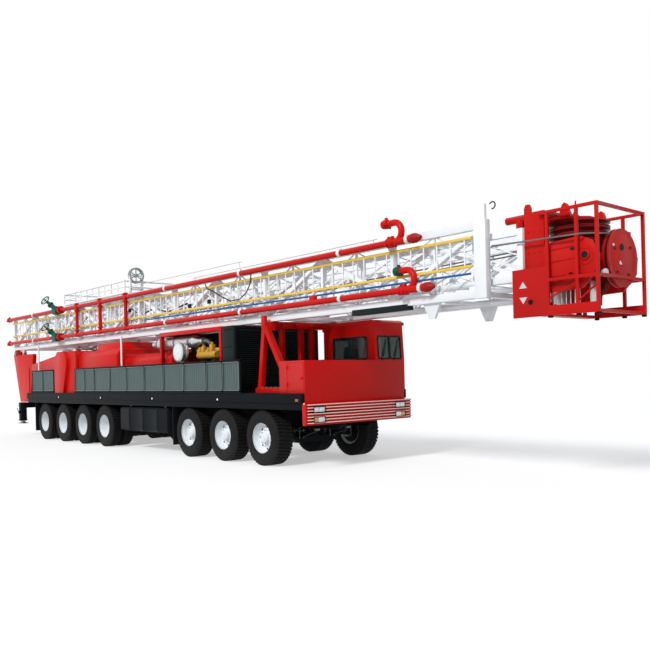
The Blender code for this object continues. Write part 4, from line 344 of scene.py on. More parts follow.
@dataclass(frozen=True)
class TyreRubber(Finish):
    """Black rubber, greyer and dustier where it is near the road."""

    def spread(self, book: NodeBook) -> tuple[dict, dict]:
        """Scuffed rubber with a fine grain.

        Args:
            book: the tree it is written in.

        Returns:
            The Principled shader's fixed numbers, and its values that change over the surface.
        """
        height = book.place()[2]
        scuff = book.noise(9.0, 5.0, 0.65)
        share = ((1.0 - height.ramp(0.0, 0.5)) * 0.35 + scuff.ramp(0.45, 0.8) * 0.3).clamped()
        skin = book.mix(share, self.colour, self.second)
        rough = (scuff * 0.25 + 0.62).clamped()
        normal = book.bump(book.noise(240.0, 2.0) + book.noise(30.0, 3.0) * 1.5, 0.0012, 0.6)
        return {"Specular IOR Level": 0.12}, {"Base Color": skin, "Roughness": rough, "Normal": normal}


@dataclass(frozen=True)
class BareMetal(Finish):
    """Bright or dull bare metal with brushed streaks."""

    rough: float = 0.3
    metallic: float = 0.95

    def spread(self, book: NodeBook) -> tuple[dict, dict]:
        """Brushed metal with stains.

        Args:
            book: the tree it is written in.

        Returns:
            The Principled shader's fixed numbers, and its values that change over the surface.
        """
        grime = book.noise(5.0, 5.0, 0.6)
        fine = book.noise(70.0, 3.0, 0.7)
        skin = book.mix(grime.ramp(0.45, 0.85) * 0.55, self.colour, self.second)
        rough = (fine * 0.2 + grime * 0.15 + (self.rough - 0.15)).clamped()
        varied = {"Base Color": skin, "Roughness": rough, "Normal": book.bump(fine, 0.0005, 0.5)}
        return {"Metallic": self.metallic}, varied


@dataclass(frozen=True)
class WalkwayMesh(Finish):
    """Grey-green expanded-metal infill: rows of diamond openings pressed in a flat sheet, the openings
    painted dark as painted shade.
    """

    worn: Colour = (0.11, 0.15, 0.145)
    pitch: float = 0.045

    def spread(self, book: NodeBook) -> tuple[dict, dict]:
        """Pressed openings in a worn sheet, painted dark as painted shade.

        Args:
            book: the tree it is written in.

        Returns:
            The Principled shader's fixed numbers, and its values that change over the surface.
        """
        along, _, height = book.place()
        turn = 2 * math.pi / self.pitch
        shaded_hole = ((along * turn).sine() * (height * (turn * 1.4)).sine()).ramp(0.05, 0.45)
        strand = book.mix(book.noise(1.4, 4.0).ramp(0.3, 0.75) * 0.5, self.colour, self.worn)
        # The openings take the near-black second colour: painted shade seen through them, with the bump
        # pressing them in.
        skin = book.mix(shaded_hole * 0.85, strand, self.second)
        rough = (book.noise(14.0, 3.0) * 0.2 + 0.45).clamped()
        normal = book.bump(1.0 - shaded_hole, 0.004, 0.8)
        return {"Metallic": 0.15}, {"Base Color": skin, "Roughness": rough, "Normal": normal}


@dataclass(frozen=True)
class TintedGlass(Finish):
    """Window glass with a faint film of dust."""

    def spread(self, book: NodeBook) -> tuple[dict, dict]:
        """Clear glass, rougher under the film.

        Args:
            book: the tree it is written in.

        Returns:
            The Principled shader's fixed numbers, and its values that change over the surface.
        """
        film = book.noise(3.0, 4.0).ramp(0.45, 0.9) * 0.14
        skin = book.mix(film, self.colour, self.second)
        return {"Alpha": 0.62, "IOR": 1.5}, {"Base Color": skin, "Roughness": (film * 1.2 + 0.04).clamped()}


@dataclass(frozen=True)
class LampLens(Finish):
    """A moulded lamp lens with fine flutes over a bright reflector, and painted highlight and shade stripes
    along its flutes and bands.
    """

    def spread(self, book: NodeBook) -> tuple[dict, dict]:
        """Flutes across and bands up the lens, painted as highlight and shade stripes.

        Args:
            book: the tree it is written in.

        Returns:
            The Principled shader's fixed numbers, and its values that change over the surface.
        """
        _, across, height = book.place()
        flutes_and_highlights, band_highlights = (across * 420.0).wave(), (height * 160.0).wave()
        # Light and dark stripes of colour along the flutes and bands are painted highlights and shade.
        skin = book.mix(flutes_and_highlights * 0.55 + band_highlights * 0.15, self.colour, self.second)
        rough = (band_highlights * 0.1 + 0.08).clamped()
        normal = book.bump(flutes_and_highlights, 0.002, 0.6)
        return {"Coat Weight": 1.0}, {"Base Color": skin, "Normal": normal, "Roughness": rough}


@dataclass(frozen=True)
class WireRope(Finish):
    """Laid steel rope: slanting strands over a greased core."""

    def spread(self, book: NodeBook) -> tuple[dict, dict]:
        """Bright strands with grease between them.

        Args:
            book: the tree it is written in.

        Returns:
            The Principled shader's fixed numbers, and its values that change over the surface.
        """
        along, across, height = book.place()
        lay = (along * 190.0 + across * 240.0 + height * 240.0).wave().ramp(0.1, 0.8)
        skin = book.mix(1.0 - lay * 0.8, self.colour, self.second)
        rough = (book.noise(30.0) * 0.2 + 0.35).clamped()
        normal = book.bump(lay, 0.003, 0.9)
        return {"Metallic": 0.6}, {"Base Color": skin, "Normal": normal, "Roughness": rough}


@dataclass(frozen=True)
class StudioFloor(Finish):
    """A pale floor: white to the camera and in reflections, with the shadow kept faint and soft."""

    lift: float = 0.40
    glow: float = 1.12

    def make(self) -> bpy.types.Material:
        """The floor as a material.

        Returns:
            The material.
        """
        book = NodeBook(self.name)
        rays = book.add("ShaderNodeLightPath", {}, {}).socket.node.outputs
        seen = Val(book, rays["Is Camera Ray"]) + Val(book, rays["Is Glossy Ray"])
        seen = (seen + Val(book, rays["Is Transmission Ray"])).clamped()
        matte = book.add("ShaderNodeBsdfDiffuse", {}, {"Color": book.mix(seen, self.second, self.colour)})
        white = book.add("ShaderNodeEmission", {}, {"Color": (1.0, 1.0, 1.0, 1.0), "Strength": self.glow})
        return book.close(book.add("ShaderNodeMixShader", {}, {0: seen * self.lift, 1: matte, 2: white}))


@dataclass(frozen=True)
class Palette:
    """Every finish on the rig, made once."""

    made: dict = field(default_factory=dict)

    def get(self, finish: Finish) -> bpy.types.Material:
        """The material of a finish, made on first use.

        Args:
            finish: the finish.

        Returns:
            Its material.
        """
        if finish.name not in self.made:
            self.made[finish.name] = finish.make()
        return self.made[finish.name]


SOOT, GRIT = (0.05, 0.046, 0.042), (0.05, 0.05, 0.045)
RED = Paint("signal_red", (0.57, 0.007, 0.005), (0.49, 0.006, 0.004))
CROWN_RED = Paint("crown_red", (0.54, 0.008, 0.006), (0.40, 0.006, 0.005), 0.42)
DEEP_RED = Paint("oxide_red", (0.36, 0.012, 0.010), (0.26, 0.010, 0.009), 0.42)
MAROON = Paint("sheave_maroon", (0.20, 0.008, 0.008), (0.12, 0.006, 0.006), 0.42)
WHITE = Paint("mast_white", (0.87, 0.89, 0.91), (0.80, 0.83, 0.86), 0.4, (0.6, 0.58, 0.55), 0.08)
BLACK = Paint(
    "chassis_black", (0.006, 0.008, 0.010), (0.010, 0.012, 0.014), 0.55, SOOT, 0.08, coat=0.0, gloss=0.06
)
DARK = Paint(
    "core_black", (0.008, 0.014, 0.014), (0.014, 0.022, 0.022), 0.55, GRIT, 0.12, coat=0.0, gloss=0.1
)
VINYL = Paint("seat_vinyl", (0.03, 0.03, 0.033), (0.045, 0.045, 0.05), 0.55, coat=0.0)
RIM = Paint("rim_white", (0.80, 0.84, 0.86), (0.70, 0.74, 0.77), 0.38, (0.35, 0.32, 0.29), 0.22, 0.8)
YELLOW = Paint("stile_yellow", (0.80, 0.56, 0.09), (0.70, 0.47, 0.07), 0.4)
ENGINE = Paint("engine_yellow", (0.62, 0.36, 0.05), (0.45, 0.25, 0.04), 0.45, (0.10, 0.07, 0.05), 0.6, 3.0)
GREEN = Paint("valve_green", (0.012, 0.085, 0.055), (0.010, 0.060, 0.040), 0.38)
BLUE = Paint("line_blue", (0.015, 0.13, 0.38), (0.012, 0.10, 0.30), 0.4)
CREAM = Paint("stripe_cream", (0.98, 0.84, 0.76), (0.90, 0.74, 0.66), 0.35)
REEL_GREY = Paint("reel_grey", (0.36, 0.42, 0.39), (0.28, 0.34, 0.31), 0.45)
BORDER_GREY = Paint("border_grey", (0.24, 0.29, 0.28), (0.18, 0.23, 0.22), 0.45)
RUBBER = TyreRubber("tyre_rubber_worn", (0.009, 0.009, 0.010), (0.045, 0.042, 0.038))
HOSE = TyreRubber("hose_rubber", (0.014, 0.014, 0.015), (0.05, 0.05, 0.05))
STEEL = BareMetal("bright_steel", (0.55, 0.56, 0.57), (0.30, 0.27, 0.24))
ALLOY = BareMetal("silencer_alloy", (0.62, 0.63, 0.64), (0.36, 0.34, 0.32), 0.34, 0.85)
CAST = BareMetal("dull_steel", (0.20, 0.20, 0.21), (0.11, 0.09, 0.08), 0.5, 0.7)
# The walkway mesh's second colour is painted shade that fills its openings.
MESH = WalkwayMesh("walkway_mesh", (0.078, 0.122, 0.120), (0.022, 0.032, 0.033))
GLASS = TintedGlass("window_glass", (0.012, 0.028, 0.026), (0.14, 0.16, 0.15))
SCREEN = TintedGlass("screen_glass", (0.045, 0.095, 0.080), (0.30, 0.38, 0.35))
ROPE = WireRope("wire_rope", (0.30, 0.30, 0.30), (0.06, 0.055, 0.05))
# Each lens's second colour is the painted shade in its flute stripes.
CLEAR = LampLens("lens_clear", (0.97, 0.98, 1.0), (0.66, 0.70, 0.72))
AMBER = LampLens("lens_amber", (0.85, 0.36, 0.04), (0.50, 0.16, 0.01))
RUBY = LampLens("lens_red", (0.60, 0.03, 0.02), (0.28, 0.01, 0.01))
FLOOR = StudioFloor("floor_white", (0.99, 0.99, 0.99), (0.58, 0.58, 0.58))


# Mesh making


def turns(count: int, start: float = 0.0) -> list[float]:
    """The angles, in radians, of a count of even places round a circle."""
    return [start + 2 * math.pi * k / count for k in range(count)]


def around(centre: Point, radius: float, axis: Axis, angles: Iterable[float]) -> list[Point]:
    """Points round a centre, square to an axis, at angles in radians.

    Args:
        centre: the centre.
        radius: how far the points are from it.
        axis: the axis they go round.
        angles: their angles in radians.

    Returns:
        The points.
    """
    spokes = [axis.point(radius * math.cos(t), radius * math.sin(t)) for t in angles]
    return [tuple(a + b for a, b in zip(centre, spoke)) for spoke in spokes]


def arc(centre: Point, radius: float, start: float, end: float, steps: int) -> list[Point]:
    """Points on an arc in the XZ plane, from one angle to another in degrees, in a count of steps.

    Args:
        centre: the arc's centre.
        radius: its radius.
        start: its first angle in degrees.
        end: its last angle in degrees.
        steps: how many steps it has.

    Returns:
        The points, one more than the steps.
    """
    angles = [math.radians(start + (end - start) * k / steps) for k in range(steps + 1)]
    return around(centre, radius, Axis.Y, angles)


def hung(start: Point, end: Point, sag: float, steps: int) -> list[Point]:
    """Points on a line whose middle hangs below the straight way by sag, in a count of steps.

    Args:
        start: one end.
        end: the other end.
        sag: how far the middle hangs below the straight way.
        steps: how many steps it has.

    Returns:
        The points, one more than the steps.
    """
    points = []
    for share in (k / steps for k in range(steps + 1)):
        x, y, z = (a + (b - a) * share for a, b in zip(start, end))
        points.append((x, y, z - 4 * sag * share * (1 - share)))
    return points


class Shape:
    """A mesh in the making: plain solids gathered in one bmesh. Each method hands the shape back."""

    def __init__(self) -> None:
        """Starts empty."""
        self.bm = bmesh.new()

    def _take(self, part: bmesh.types.BMesh, move: Matrix) -> "Shape":
        """Adds another bmesh after moving it.

        Args:
            part: the bmesh to add, which is used up.
            move: where it goes.

        Returns:
            This shape.
        """
        bmesh.ops.transform(part, matrix=move, verts=part.verts)
        mesh = bpy.data.meshes.new("part")
        part.to_mesh(mesh)
        part.free()
        self.bm.from_mesh(mesh)
        bpy.data.meshes.remove(mesh)
        return self

    def box(self, low: Point, high: Point, bevel: float = 0.0) -> "Shape":
        """Adds a block.

        Args:
            low: its lowest corner.
            high: its highest corner.
            bevel: the width of its rounded edges.

        Returns:
            This shape.
        """
        part = bmesh.new()
        size = [max(abs(b - a), 1e-5) for a, b in zip(low, high)]
        bmesh.ops.create_cube(part, size=1.0, matrix=Matrix.Diagonal(size).to_4x4())
        if bevel:
            width = min(bevel, min(size) * 0.45)
            bmesh.ops.bevel(part, geom=part.edges[:], offset=width, segments=2, affect="EDGES", profile=0.5)
        return self._take(part, Matrix.Translation([(a + b) / 2 for a, b in zip(low, high)]))

    def block(self, middle: Point, half: Point, bevel: float = 0.0) -> "Shape":
        """Adds a block by its middle and half its size each way."""
        low, high = ([m + way * h for m, h in zip(middle, half)] for way in (-1, 1))
        return self.box(low, high, bevel)

    def lathe(self, profile: Outline, axis: Axis, centre: Point, sides: int) -> "Shape":
        """Adds a turned solid.

        Args:
            profile: places along the axis with their radii, closed on the axis or back on itself.
            axis: the axis it turns about.
            centre: a point on that axis.
            sides: how many facets it has round the axis.

        Returns:
            This shape.
        """
        part = bmesh.new()
        rings = []
        for place, radius in profile:
            if radius <= 1e-6:
                rings.append([part.verts.new((0, 0, place))] * sides)
            else:
                points = around((0, 0, place), radius, Axis.Z, turns(sides))
                rings.append([part.verts.new(point) for point in points])
        loops = list(zip(rings, rings[1:]))
        if profile[0][1] > 1e-6:
            loops.append((rings[-1], rings[0]))
        for one, two in loops:
            for k in range(sides):
                corners = [one[k - 1], one[k], two[k], two[k - 1]]
                face = [v for i, v in enumerate(corners) if v is not corners[i - 1]]
                if len(face) > 2:
                    part.faces.new(face)
        bmesh.ops.recalc_face_normals(part, faces=part.faces)
        return self._take(part, Matrix.Translation(centre) @ axis.turn())

    def spun(self, profile: Outline, axis: Axis, centre: Point, sides: int) -> "Shape":
        """Adds a turned solid whose two ends are flat and closed on the axis."""
        ends = (profile[0][0], 0), (profile[-1][0], 0)
        return self.lathe([ends[0], *profile, ends[1]], axis, centre, sides)

    def drum(self, low: float, high: float, radius: float, axis: Axis, centre: Point, sides: int) -> "Shape":
        """Adds a plain cylinder from low to high along an axis, counted from its centre."""
        return self.spun([(low, radius), (high, radius)], axis, centre, sides)

    def hoop(self, half: float, inner: float, outer: float, axis: Axis, centre: Point, sides: int) -> "Shape":
        """Adds a band of square section, half its width either side of its centre."""
        return self.lathe([(-half, inner), (-half, outer), (half, outer), (half, inner)], axis, centre, sides)

    def bar(self, start: Point, end: Point, radius: float, sides: int, square: bool = False) -> "Shape":
        """Adds a round or square bar between two points.

        Args:
            start: one end.
            end: the other end.
            radius: its radius, or half its width if square.
            sides: facets of a round bar.
            square: whether its section is square.

        Returns:
            This shape.
        """
        way = Vector(end) - Vector(start)
        part = bmesh.new()
        middle = Matrix.Translation((0, 0, way.length / 2))
        if square:
            size = Matrix.Diagonal((2 * radius, 2 * radius, way.length)).to_4x4()
            bmesh.ops.create_cube(part, size=1.0, matrix=middle @ size)
        else:
            sizes = {"segments": sides, "radius1": radius, "radius2": radius, "depth": way.length}
            bmesh.ops.create_cone(part, cap_ends=True, matrix=middle, **sizes)
        return self._take(part, Matrix.Translation(start) @ way.to_track_quat("Z", "Y").to_matrix().to_4x4())

    def tube(self, points: Sequence[Point], radius: float, sides: int) -> "Shape":
        """Adds a round tube through points, with closed ends.

        Args:
            points: the line it follows.
            radius: its radius.
            sides: facets round it.

        Returns:
            This shape.
        """
        line = [Vector(p) for p in points]
        part = bmesh.new()
        rings = []
        guide = Vector((0.0, 0.0, 1.0))
        for k, point in enumerate(line):
            way = (line[min(k + 1, len(line) - 1)] - line[max(k - 1, 0)]).normalized()
            if abs(way.dot(guide)) > 0.97:
                guide = Vector((0.0, 1.0, 0.0)) if abs(way.y) < 0.9 else Vector((1.0, 0.0, 0.0))
            across = way.cross(guide).normalized()
            guide = across.cross(way).normalized()
            spokes = (across * math.cos(t) + guide * math.sin(t) for t in turns(sides))
            rings.append([part.verts.new(point + radius * spoke) for spoke in spokes])
        for one, two in zip(rings, rings[1:]):
            for i in range(sides):
                part.faces.new((one[i - 1], one[i], two[i], two[i - 1]))
        part.faces.new(rings[0][::-1])
        part.faces.new(rings[-1])
        bmesh.ops.recalc_face_normals(part, faces=part.faces)
        return self._take(part, Matrix.Identity(4))

    def plate(self, outline: Outline, axis: Axis, low: float, high: float) -> "Shape":
        """Adds a flat plate of any outline.

        Args:
            outline: its corners, as the other two coordinates in X, Y, Z order.
            axis: the axis its thickness lies along.
            low: its lower face.
            high: its upper face.

        Returns:
            This shape.
        """
        part = bmesh.new()
        under, over = ([part.verts.new(axis.point(a, b, z)) for a, b in outline] for z in (low, high))
        part.faces.new(under)
        part.faces.new(over)
        for k in range(len(outline)):
            part.faces.new((under[k - 1], under[k], over[k], over[k - 1]))
        bmesh.ops.recalc_face_normals(part, faces=part.faces)
        return self._take(part, Matrix.Identity(4))

    def mesh(self, name: str) -> bpy.types.Mesh:
        """The gathered solids as a mesh; this shape can still be used.

        Args:
            name: the mesh's name.

        Returns:
            The mesh.
        """
        made = bpy.data.meshes.new(name)
        self.bm.to_mesh(made)
        return made


def modified(mesh: bpy.types.Mesh, name: str, kind: str, settings: dict, sockets: dict) -> bpy.types.Mesh:
    """The mesh that a modifier makes of another.

    Args:
        mesh: the mesh it starts from.
        name: the result's name.
        kind: the modifier's type.
        settings: the modifier's own settings.
        sockets: values of a node tree's inputs, by identifier.

    Returns:
        The new mesh.
    """
    carrier = bpy.data.objects.new(name, mesh)
    bpy.context.scene.collection.objects.link(carrier)
    modifier = carrier.modifiers.new(name, kind)
    for key, value in settings.items():
        setattr(modifier, key, value)
    for key, value in sockets.items():
        modifier[key] = value
    bpy.context.view_layer.update()
    result = bpy.data.meshes.new_from_object(carrier.evaluated_get(bpy.context.evaluated_depsgraph_get()))
    bpy.data.objects.remove(carrier)
    return result


# Geometry Nodes


class Repeater:
    """A small Geometry Nodes tree that repeats a template, and turns the result into a mesh."""

    def __init__(self, name: str, sizes: dict[str, str]) -> None:
        """Starts a tree that takes a template and named sizes of given types.

        Args:
            name: the tree's name.
            sizes: the type of each size, by name.
        """
        self.tree = bpy.data.node_groups.new(name, "GeometryNodeTree")
        for label, kind in {"Template": "Geometry", **sizes}.items():
            self.tree.interface.new_socket(label, in_out="INPUT", socket_type=f"NodeSocket{kind}")
        self.tree.interface.new_socket("Geometry", in_out="OUTPUT", socket_type="NodeSocketGeometry")
        self.inlet = self.tree.nodes.new("NodeGroupInput")

    def node(self, kind: str, settings: dict, names: dict[str, str]) -> bpy.types.Node:
        """Adds one node whose inputs come from the tree's named sizes."""
        sockets = {key: self.inlet.outputs[name] for key, name in names.items()}
        return add_node(self.tree, kind, settings, sockets)

    def close(self, points: bpy.types.Node, **rotation: bpy.types.NodeSocket) -> "Repeater":
        """Puts the template on the points and realises it.

        Args:
            points: the node whose points are filled.
            rotation: the turn of each copy, as Rotation, if it has one.

        Returns:
            This tree, ready for use.
        """
        inputs = {"Points": points.outputs[0], "Instance": self.inlet.outputs["Template"], **rotation}
        placed = add_node(self.tree, "GeometryNodeInstanceOnPoints", {}, inputs)
        real = add_node(self.tree, "GeometryNodeRealizeInstances", {}, {"Geometry": placed.outputs[0]})
        outlet = self.tree.nodes.new("NodeGroupOutput")
        self.tree.links.new(real.outputs[0], outlet.inputs[0])
        return self

    def run(self, template: Shape, values: dict, name: str) -> bpy.types.Mesh:
        """The mesh that the tree makes of a template, with its named sizes given as values.

        Args:
            template: what is repeated.
            values: a value for each named size.
            name: the mesh's name.

        Returns:
            The mesh.
        """
        known = {s.name: s.identifier for s in self.tree.interface.items_tree if s.in_out == "INPUT"}
        sockets = {known[key]: value for key, value in values.items()}
        return modified(template.mesh(name), name, "NODES", {"node_group": self.tree}, sockets)


def line_tree() -> Repeater:
    """A tree that repeats its template along a line.

    Returns:
        The tree, ready for use.
    """
    tree = Repeater("repeat_on_a_line", {"Count": "Int", "Start": "Vector", "Step": "Vector"})
    names = {"Count": "Count", "Start Location": "Start", "Offset": "Step"}
    return tree.close(tree.node("GeometryNodeMeshLine", {"mode": "OFFSET"}, names))


def ring_tree() -> Repeater:
    """A tree that repeats its template round the Z axis, each copy turned to face outwards.

    Returns:
        The tree, ready for use.
    """
    tree = Repeater("repeat_on_a_ring", {"Count": "Int", "Radius": "Float"})
    circle = tree.node("GeometryNodeMeshCircle", {}, {"Vertices": "Count", "Radius": "Radius"})
    place = {"Vector": tree.node("GeometryNodeInputPosition", {}, {}).outputs[0]}
    facing = {"axis": "X", "pivot_axis": "Z"}
    turn = add_node(tree.tree, "FunctionNodeAlignRotationToVector", facing, place)
    return tree.close(circle, Rotation=turn.outputs[0])


def grid_tree() -> Repeater:
    """A tree that repeats its template over a flat grid in the XY plane.

    Returns:
        The tree, ready for use.
    """
    sizes = {"Width": "Float", "Height": "Float", "Columns": "Int", "Rows": "Int"}
    tree = Repeater("repeat_on_a_grid", sizes)
    names = {"Size X": "Width", "Size Y": "Height", "Vertices X": "Columns", "Vertices Y": "Rows"}
    return tree.close(tree.node("GeometryNodeMeshGrid", {}, names))


@dataclass
class Workshop:
    """Puts finished pieces in the scene, and holds the trees and finishes that they share."""

    frame: dict
    palette: Palette
    line: Repeater = field(default_factory=line_tree)
    ring: Repeater = field(default_factory=ring_tree)
    grid: Repeater = field(default_factory=grid_tree)
    triangles: int = 0

    def put(
        self,
        name: str,
        shape: Union[Shape, bpy.types.Mesh],
        finish: Finish,
        body: str = "carrier",
        replaces: str = "",
        smooth: float = 35.0,
        packed: bool = False,
    ) -> bpy.types.Object:
        """Puts one finished piece on a body.

        Args:
            name: the piece's name.
            shape: what it is made of.
            finish: its finish.
            body: the body that it moves with.
            replaces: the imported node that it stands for, if any.
            smooth: edges sharper than this many degrees stay sharp.
            packed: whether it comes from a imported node, already in the model's frame.

        Returns:
            The piece's object.
        """
        mesh = shape.mesh(name) if isinstance(shape, Shape) else shape
        mesh.name = name
        if not packed:
            mesh.transform(Matrix.Translation((DATUM_X, 0, 0)))
        mesh.materials.clear()
        mesh.materials.append(self.palette.get(finish))
        mesh.polygons.foreach_set("material_index", [0] * len(mesh.polygons))
        mesh.shade_smooth()
        mesh.set_sharp_from_angle(angle=math.radians(smooth))
        made = bpy.data.objects.new(name, mesh)
        bpy.context.scene.collection.objects.link(made)
        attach(made, body)
        if replaces:
            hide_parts(replaces)
        mesh.calc_loop_triangles()
        self.triangles += len(mesh.loop_triangles)
        log.info("%s: %d triangles on %s", name, len(mesh.loop_triangles), body)
        return made

    def on_line(self, template: Shape, start: Point, step: Point, count: int, name: str) -> bpy.types.Mesh:
        """A template repeated along a line from a start, one step apart."""
        return self.line.run(template, {"Count": count, "Start": start, "Step": step}, name)

    def on_ring(self, template: Shape, radius: float, count: int, name: str) -> bpy.types.Mesh:
        """A template repeated round the Z axis at a radius."""
        return self.ring.run(template, {"Count": count, "Radius": radius}, name)

    def on_grid(
        self, template: Shape, size: Sequence[float], counts: Sequence[int], name: str
    ) -> bpy.types.Mesh:
        """A template repeated over a flat grid in the XY plane."""
        values = {"Width": size[0], "Height": size[1], "Columns": counts[0], "Rows": counts[1]}
        return self.grid.run(template, values, name)

    def joined(self, name: str, parts: Iterable[tuple[bpy.types.Mesh, Matrix]]) -> bpy.types.Mesh:
        """One mesh of several, each moved to its place.

        Args:
            name: the new mesh's name.
            parts: the meshes and where each goes.

        Returns:
            The joined mesh.
        """
        bm = bmesh.new()
        for mesh, move in parts:
            copy = mesh.copy()
            copy.transform(move)
            bm.from_mesh(copy)
            bpy.data.meshes.remove(copy)
        made = bpy.data.meshes.new(name)
        bm.to_mesh(made)
        bm.free()
        return made

    def paired(self, name: str, row: bpy.types.Mesh, near: Point, far: Point) -> bpy.types.Mesh:
        """One mesh of a row moved to one place, and the row turned half round and moved to another."""
        parts = [(row, Matrix.Translation(near)), (row, Matrix.Translation(far) @ HALF_TURN)]
        return self.joined(name, parts)

    def softened(self, node: str, name: str, finish: Finish, width: float, body: str = "carrier") -> None:
        """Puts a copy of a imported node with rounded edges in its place.

        Args:
            node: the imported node.
            name: the piece's name.
            finish: its finish.
            width: the width of the rounded edges.
            body: the body that it moves with.
        """
        bm = bmesh.new()
        bm.from_mesh(self.frame["nodes"][node].data)
        bmesh.ops.remove_doubles(bm, verts=bm.verts, dist=0.0002)
        bmesh.ops.dissolve_limit(bm, angle_limit=math.radians(1.0), verts=bm.verts, edges=bm.edges)
        mesh = bpy.data.meshes.new(name)
        bm.to_mesh(mesh)
        bm.free()
        edges = {"width": width, "segments": 2, "limit_method": "ANGLE", "angle_limit": math.radians(30)}
        result = modified(mesh, name, "BEVEL", {**edges, "use_clamp_overlap": True}, {})
        self.put(name, result, finish, body, node, 40.0, packed=True)


@dataclass
class Maker:
    """A sub-assembly of the rig, made in the workshop."""

    shop: Workshop


# Running gear


FRONT_AXLES = (4.36, 2.91, 1.46)
REAR_AXLES = (-3.05, -4.50, -5.95, -7.40)


@dataclass(frozen=True)
class WheelSize:
    """What tells a single wheel from a twin pair: its rim, its place and each tyre's half width and shift."""

    half: float
    disc: float
    y: float
    tyres: Outline


SINGLE = WheelSize(0.210, 0.05, 1.210, ((0.210, 0.0),))
TWIN = WheelSize(0.325, -0.02, 1.095, ((0.145, 0.18), (0.145, -0.18)))


@dataclass
class Wheels(Maker):
    """The fourteen wheels: tyres with their blocks, pressed rims, hubs and nuts."""

    radius: float = 0.570
    relief: float = 0.016
    blocks: int = 46
    nuts: tuple[float, int] = (0.168, 10)
    holes: tuple[float, int] = (0.229, 8)

    def casing(self, half: float, shift: float) -> Shape:
        """One tyre without its blocks, about the Z axis.

        Args:
            half: half the tyre's width.
            shift: how far its middle is from the wheel's.

        Returns:
            The casing.
        """
        flank = [(0.024, 0.298), (0.006, 0.318), (0.0, 0.345), (-0.002, 0.40), (0.003, 0.455), (0.014, 0.505)]
        flank += [(0.03, 0.537), (0.055, 0.551)]
        profile = [(w - half, r) for w, r in flank] + [(0.0, self.radius - self.relief)]
        profile += [(half - w, r) for w, r in reversed(flank)]
        return Shape().lathe([(w + shift, r) for w, r in profile], Axis.Z, ORIGIN, 56)

    def block(self, half: float, shift: float) -> Shape:
        """One pitch of tread: two middle blocks and a shoulder block each side.

        Args:
            half: half the tyre's width.
            shift: how far its middle is from the wheel's.

        Returns:
            The blocks at one place on the ring.
        """
        near, far = half * 0.37, half * 0.84
        shape = Shape()
        for sink, back, fore, one, two in (
            (0.0, -0.032, 0.022, -near * 0.9, -0.007),
            (0.0, -0.012, 0.040, 0.007, near * 0.9),
            (0.004, -0.034, 0.018, -far, -near),
            (0.004, -0.010, 0.042, near, far),
        ):
            shape.box((-0.010 - sink, back, shift + one), (self.relief - sink / 2, fore, shift + two))
        return shape

    def rim(self, half: float, disc: float) -> Shape:
        """A pressed rim with its disc and hub.

        Args:
            half: half the rim's width.
            disc: where its disc is, from the wheel's middle.

        Returns:
            The rim.
        """
        back = [(0.05, 0.262), (0.02, 0.30), (0.010, 0.318), (0.022, 0.322), (0.05, 0.302)]
        front = [(0.05, 0.302), (0.022, 0.324), (0.010, 0.320), (0.014, 0.306), (0.036, 0.292)]
        front += [(0.075, 0.286)]
        face = [(0.035, 0.276), (0.008, 0.262), (0, 0.245), (0.004, 0.215), (0.016, 0.197), (0.018, 0.145)]
        face += [(0.030, 0.138), (0.036, 0.118), (0.088, 0.108), (0.100, 0.098), (0.102, 0.060)]
        face += [(0.110, 0.056)]
        profile = [(disc - 0.17, 0.20), *((a - half, r) for a, r in back), *((half - a, r) for a, r in front)]
        return Shape().spun(profile + [(disc + a, r) for a, r in face], Axis.Z, ORIGIN, 48)

    def kit(self, size: WheelSize) -> dict[str, tuple[bpy.types.Mesh, Finish]]:
        """The parts of one wheel with their finishes, made about the Z axis.

        Args:
            size: the wheel's sizes.

        Returns:
            Each part's mesh and finish, by name.
        """
        shop, still = self.shop, Matrix.Identity(4)
        rubber = []
        for wide, shift in size.tyres:
            blocks = shop.on_ring(self.block(wide, shift), self.radius - self.relief, self.blocks, "blocks")
            rubber += [(self.casing(wide, shift).mesh("casing"), still), (blocks, still)]
        nut = Shape().spun([(0, 0.017), (0.020, 0.017), (0.026, 0.010), (0.040, 0.009)], Axis.Z, ORIGIN, 6)
        nuts = shop.on_ring(nut, *self.nuts, "nuts")
        nuts.transform(Matrix.Translation((0, 0, size.disc + 0.016)))
        # Dark discs on the rim face stand for its hand holes: painted shade seen through them.
        shaded_hole = Shape().spun([(0, 0.022), (0.010, 0.020)], Axis.Z, ORIGIN, 14)
        holes = shop.on_ring(shaded_hole, *self.holes, "holes")
        holes.transform(Matrix.Translation((0, 0, size.disc + 0.001)))
        drum = [(a - size.half, r) for a, r in ((0.03, 0.16), (0.05, 0.25), (0.06, 0.297), (0.10, 0.297))]
        return {
            "tyre": (shop.joined("tyre", rubber), RUBBER),
            "rim": (self.rim(size.half, size.disc).mesh("rim"), RIM),
            "nuts": (nuts, STEEL),
            "holes": (holes, DARK),
            "drum": (Shape().spun(drum, Axis.Z, ORIGIN, 40).mesh("drum"), BLACK),
        }

    def build(self) -> None:
        """Makes every wheel and rides each on its own body."""
        kits = [(size, self.kit(size)) for size in (SINGLE, TWIN)]
        for k, x in enumerate(FRONT_AXLES + REAR_AXLES):
            size, kit = kits[x in REAR_AXLES]
            for side in Side:
                turn = Matrix.Identity(4) if side is Side.LEFT else HALF_TURN
                place = Matrix.Translation((x, side.value * size.y, self.radius)) @ turn @ Axis.Y.turn()
                body = f"wheel_{side.word}_{k + 1}"
                for part, (mesh, finish) in kit.items():
                    copy = mesh.copy()
                    copy.transform(place)
                    self.shop.put(f"{body}_{part}", copy, finish, body, body if part == "tyre" else "")


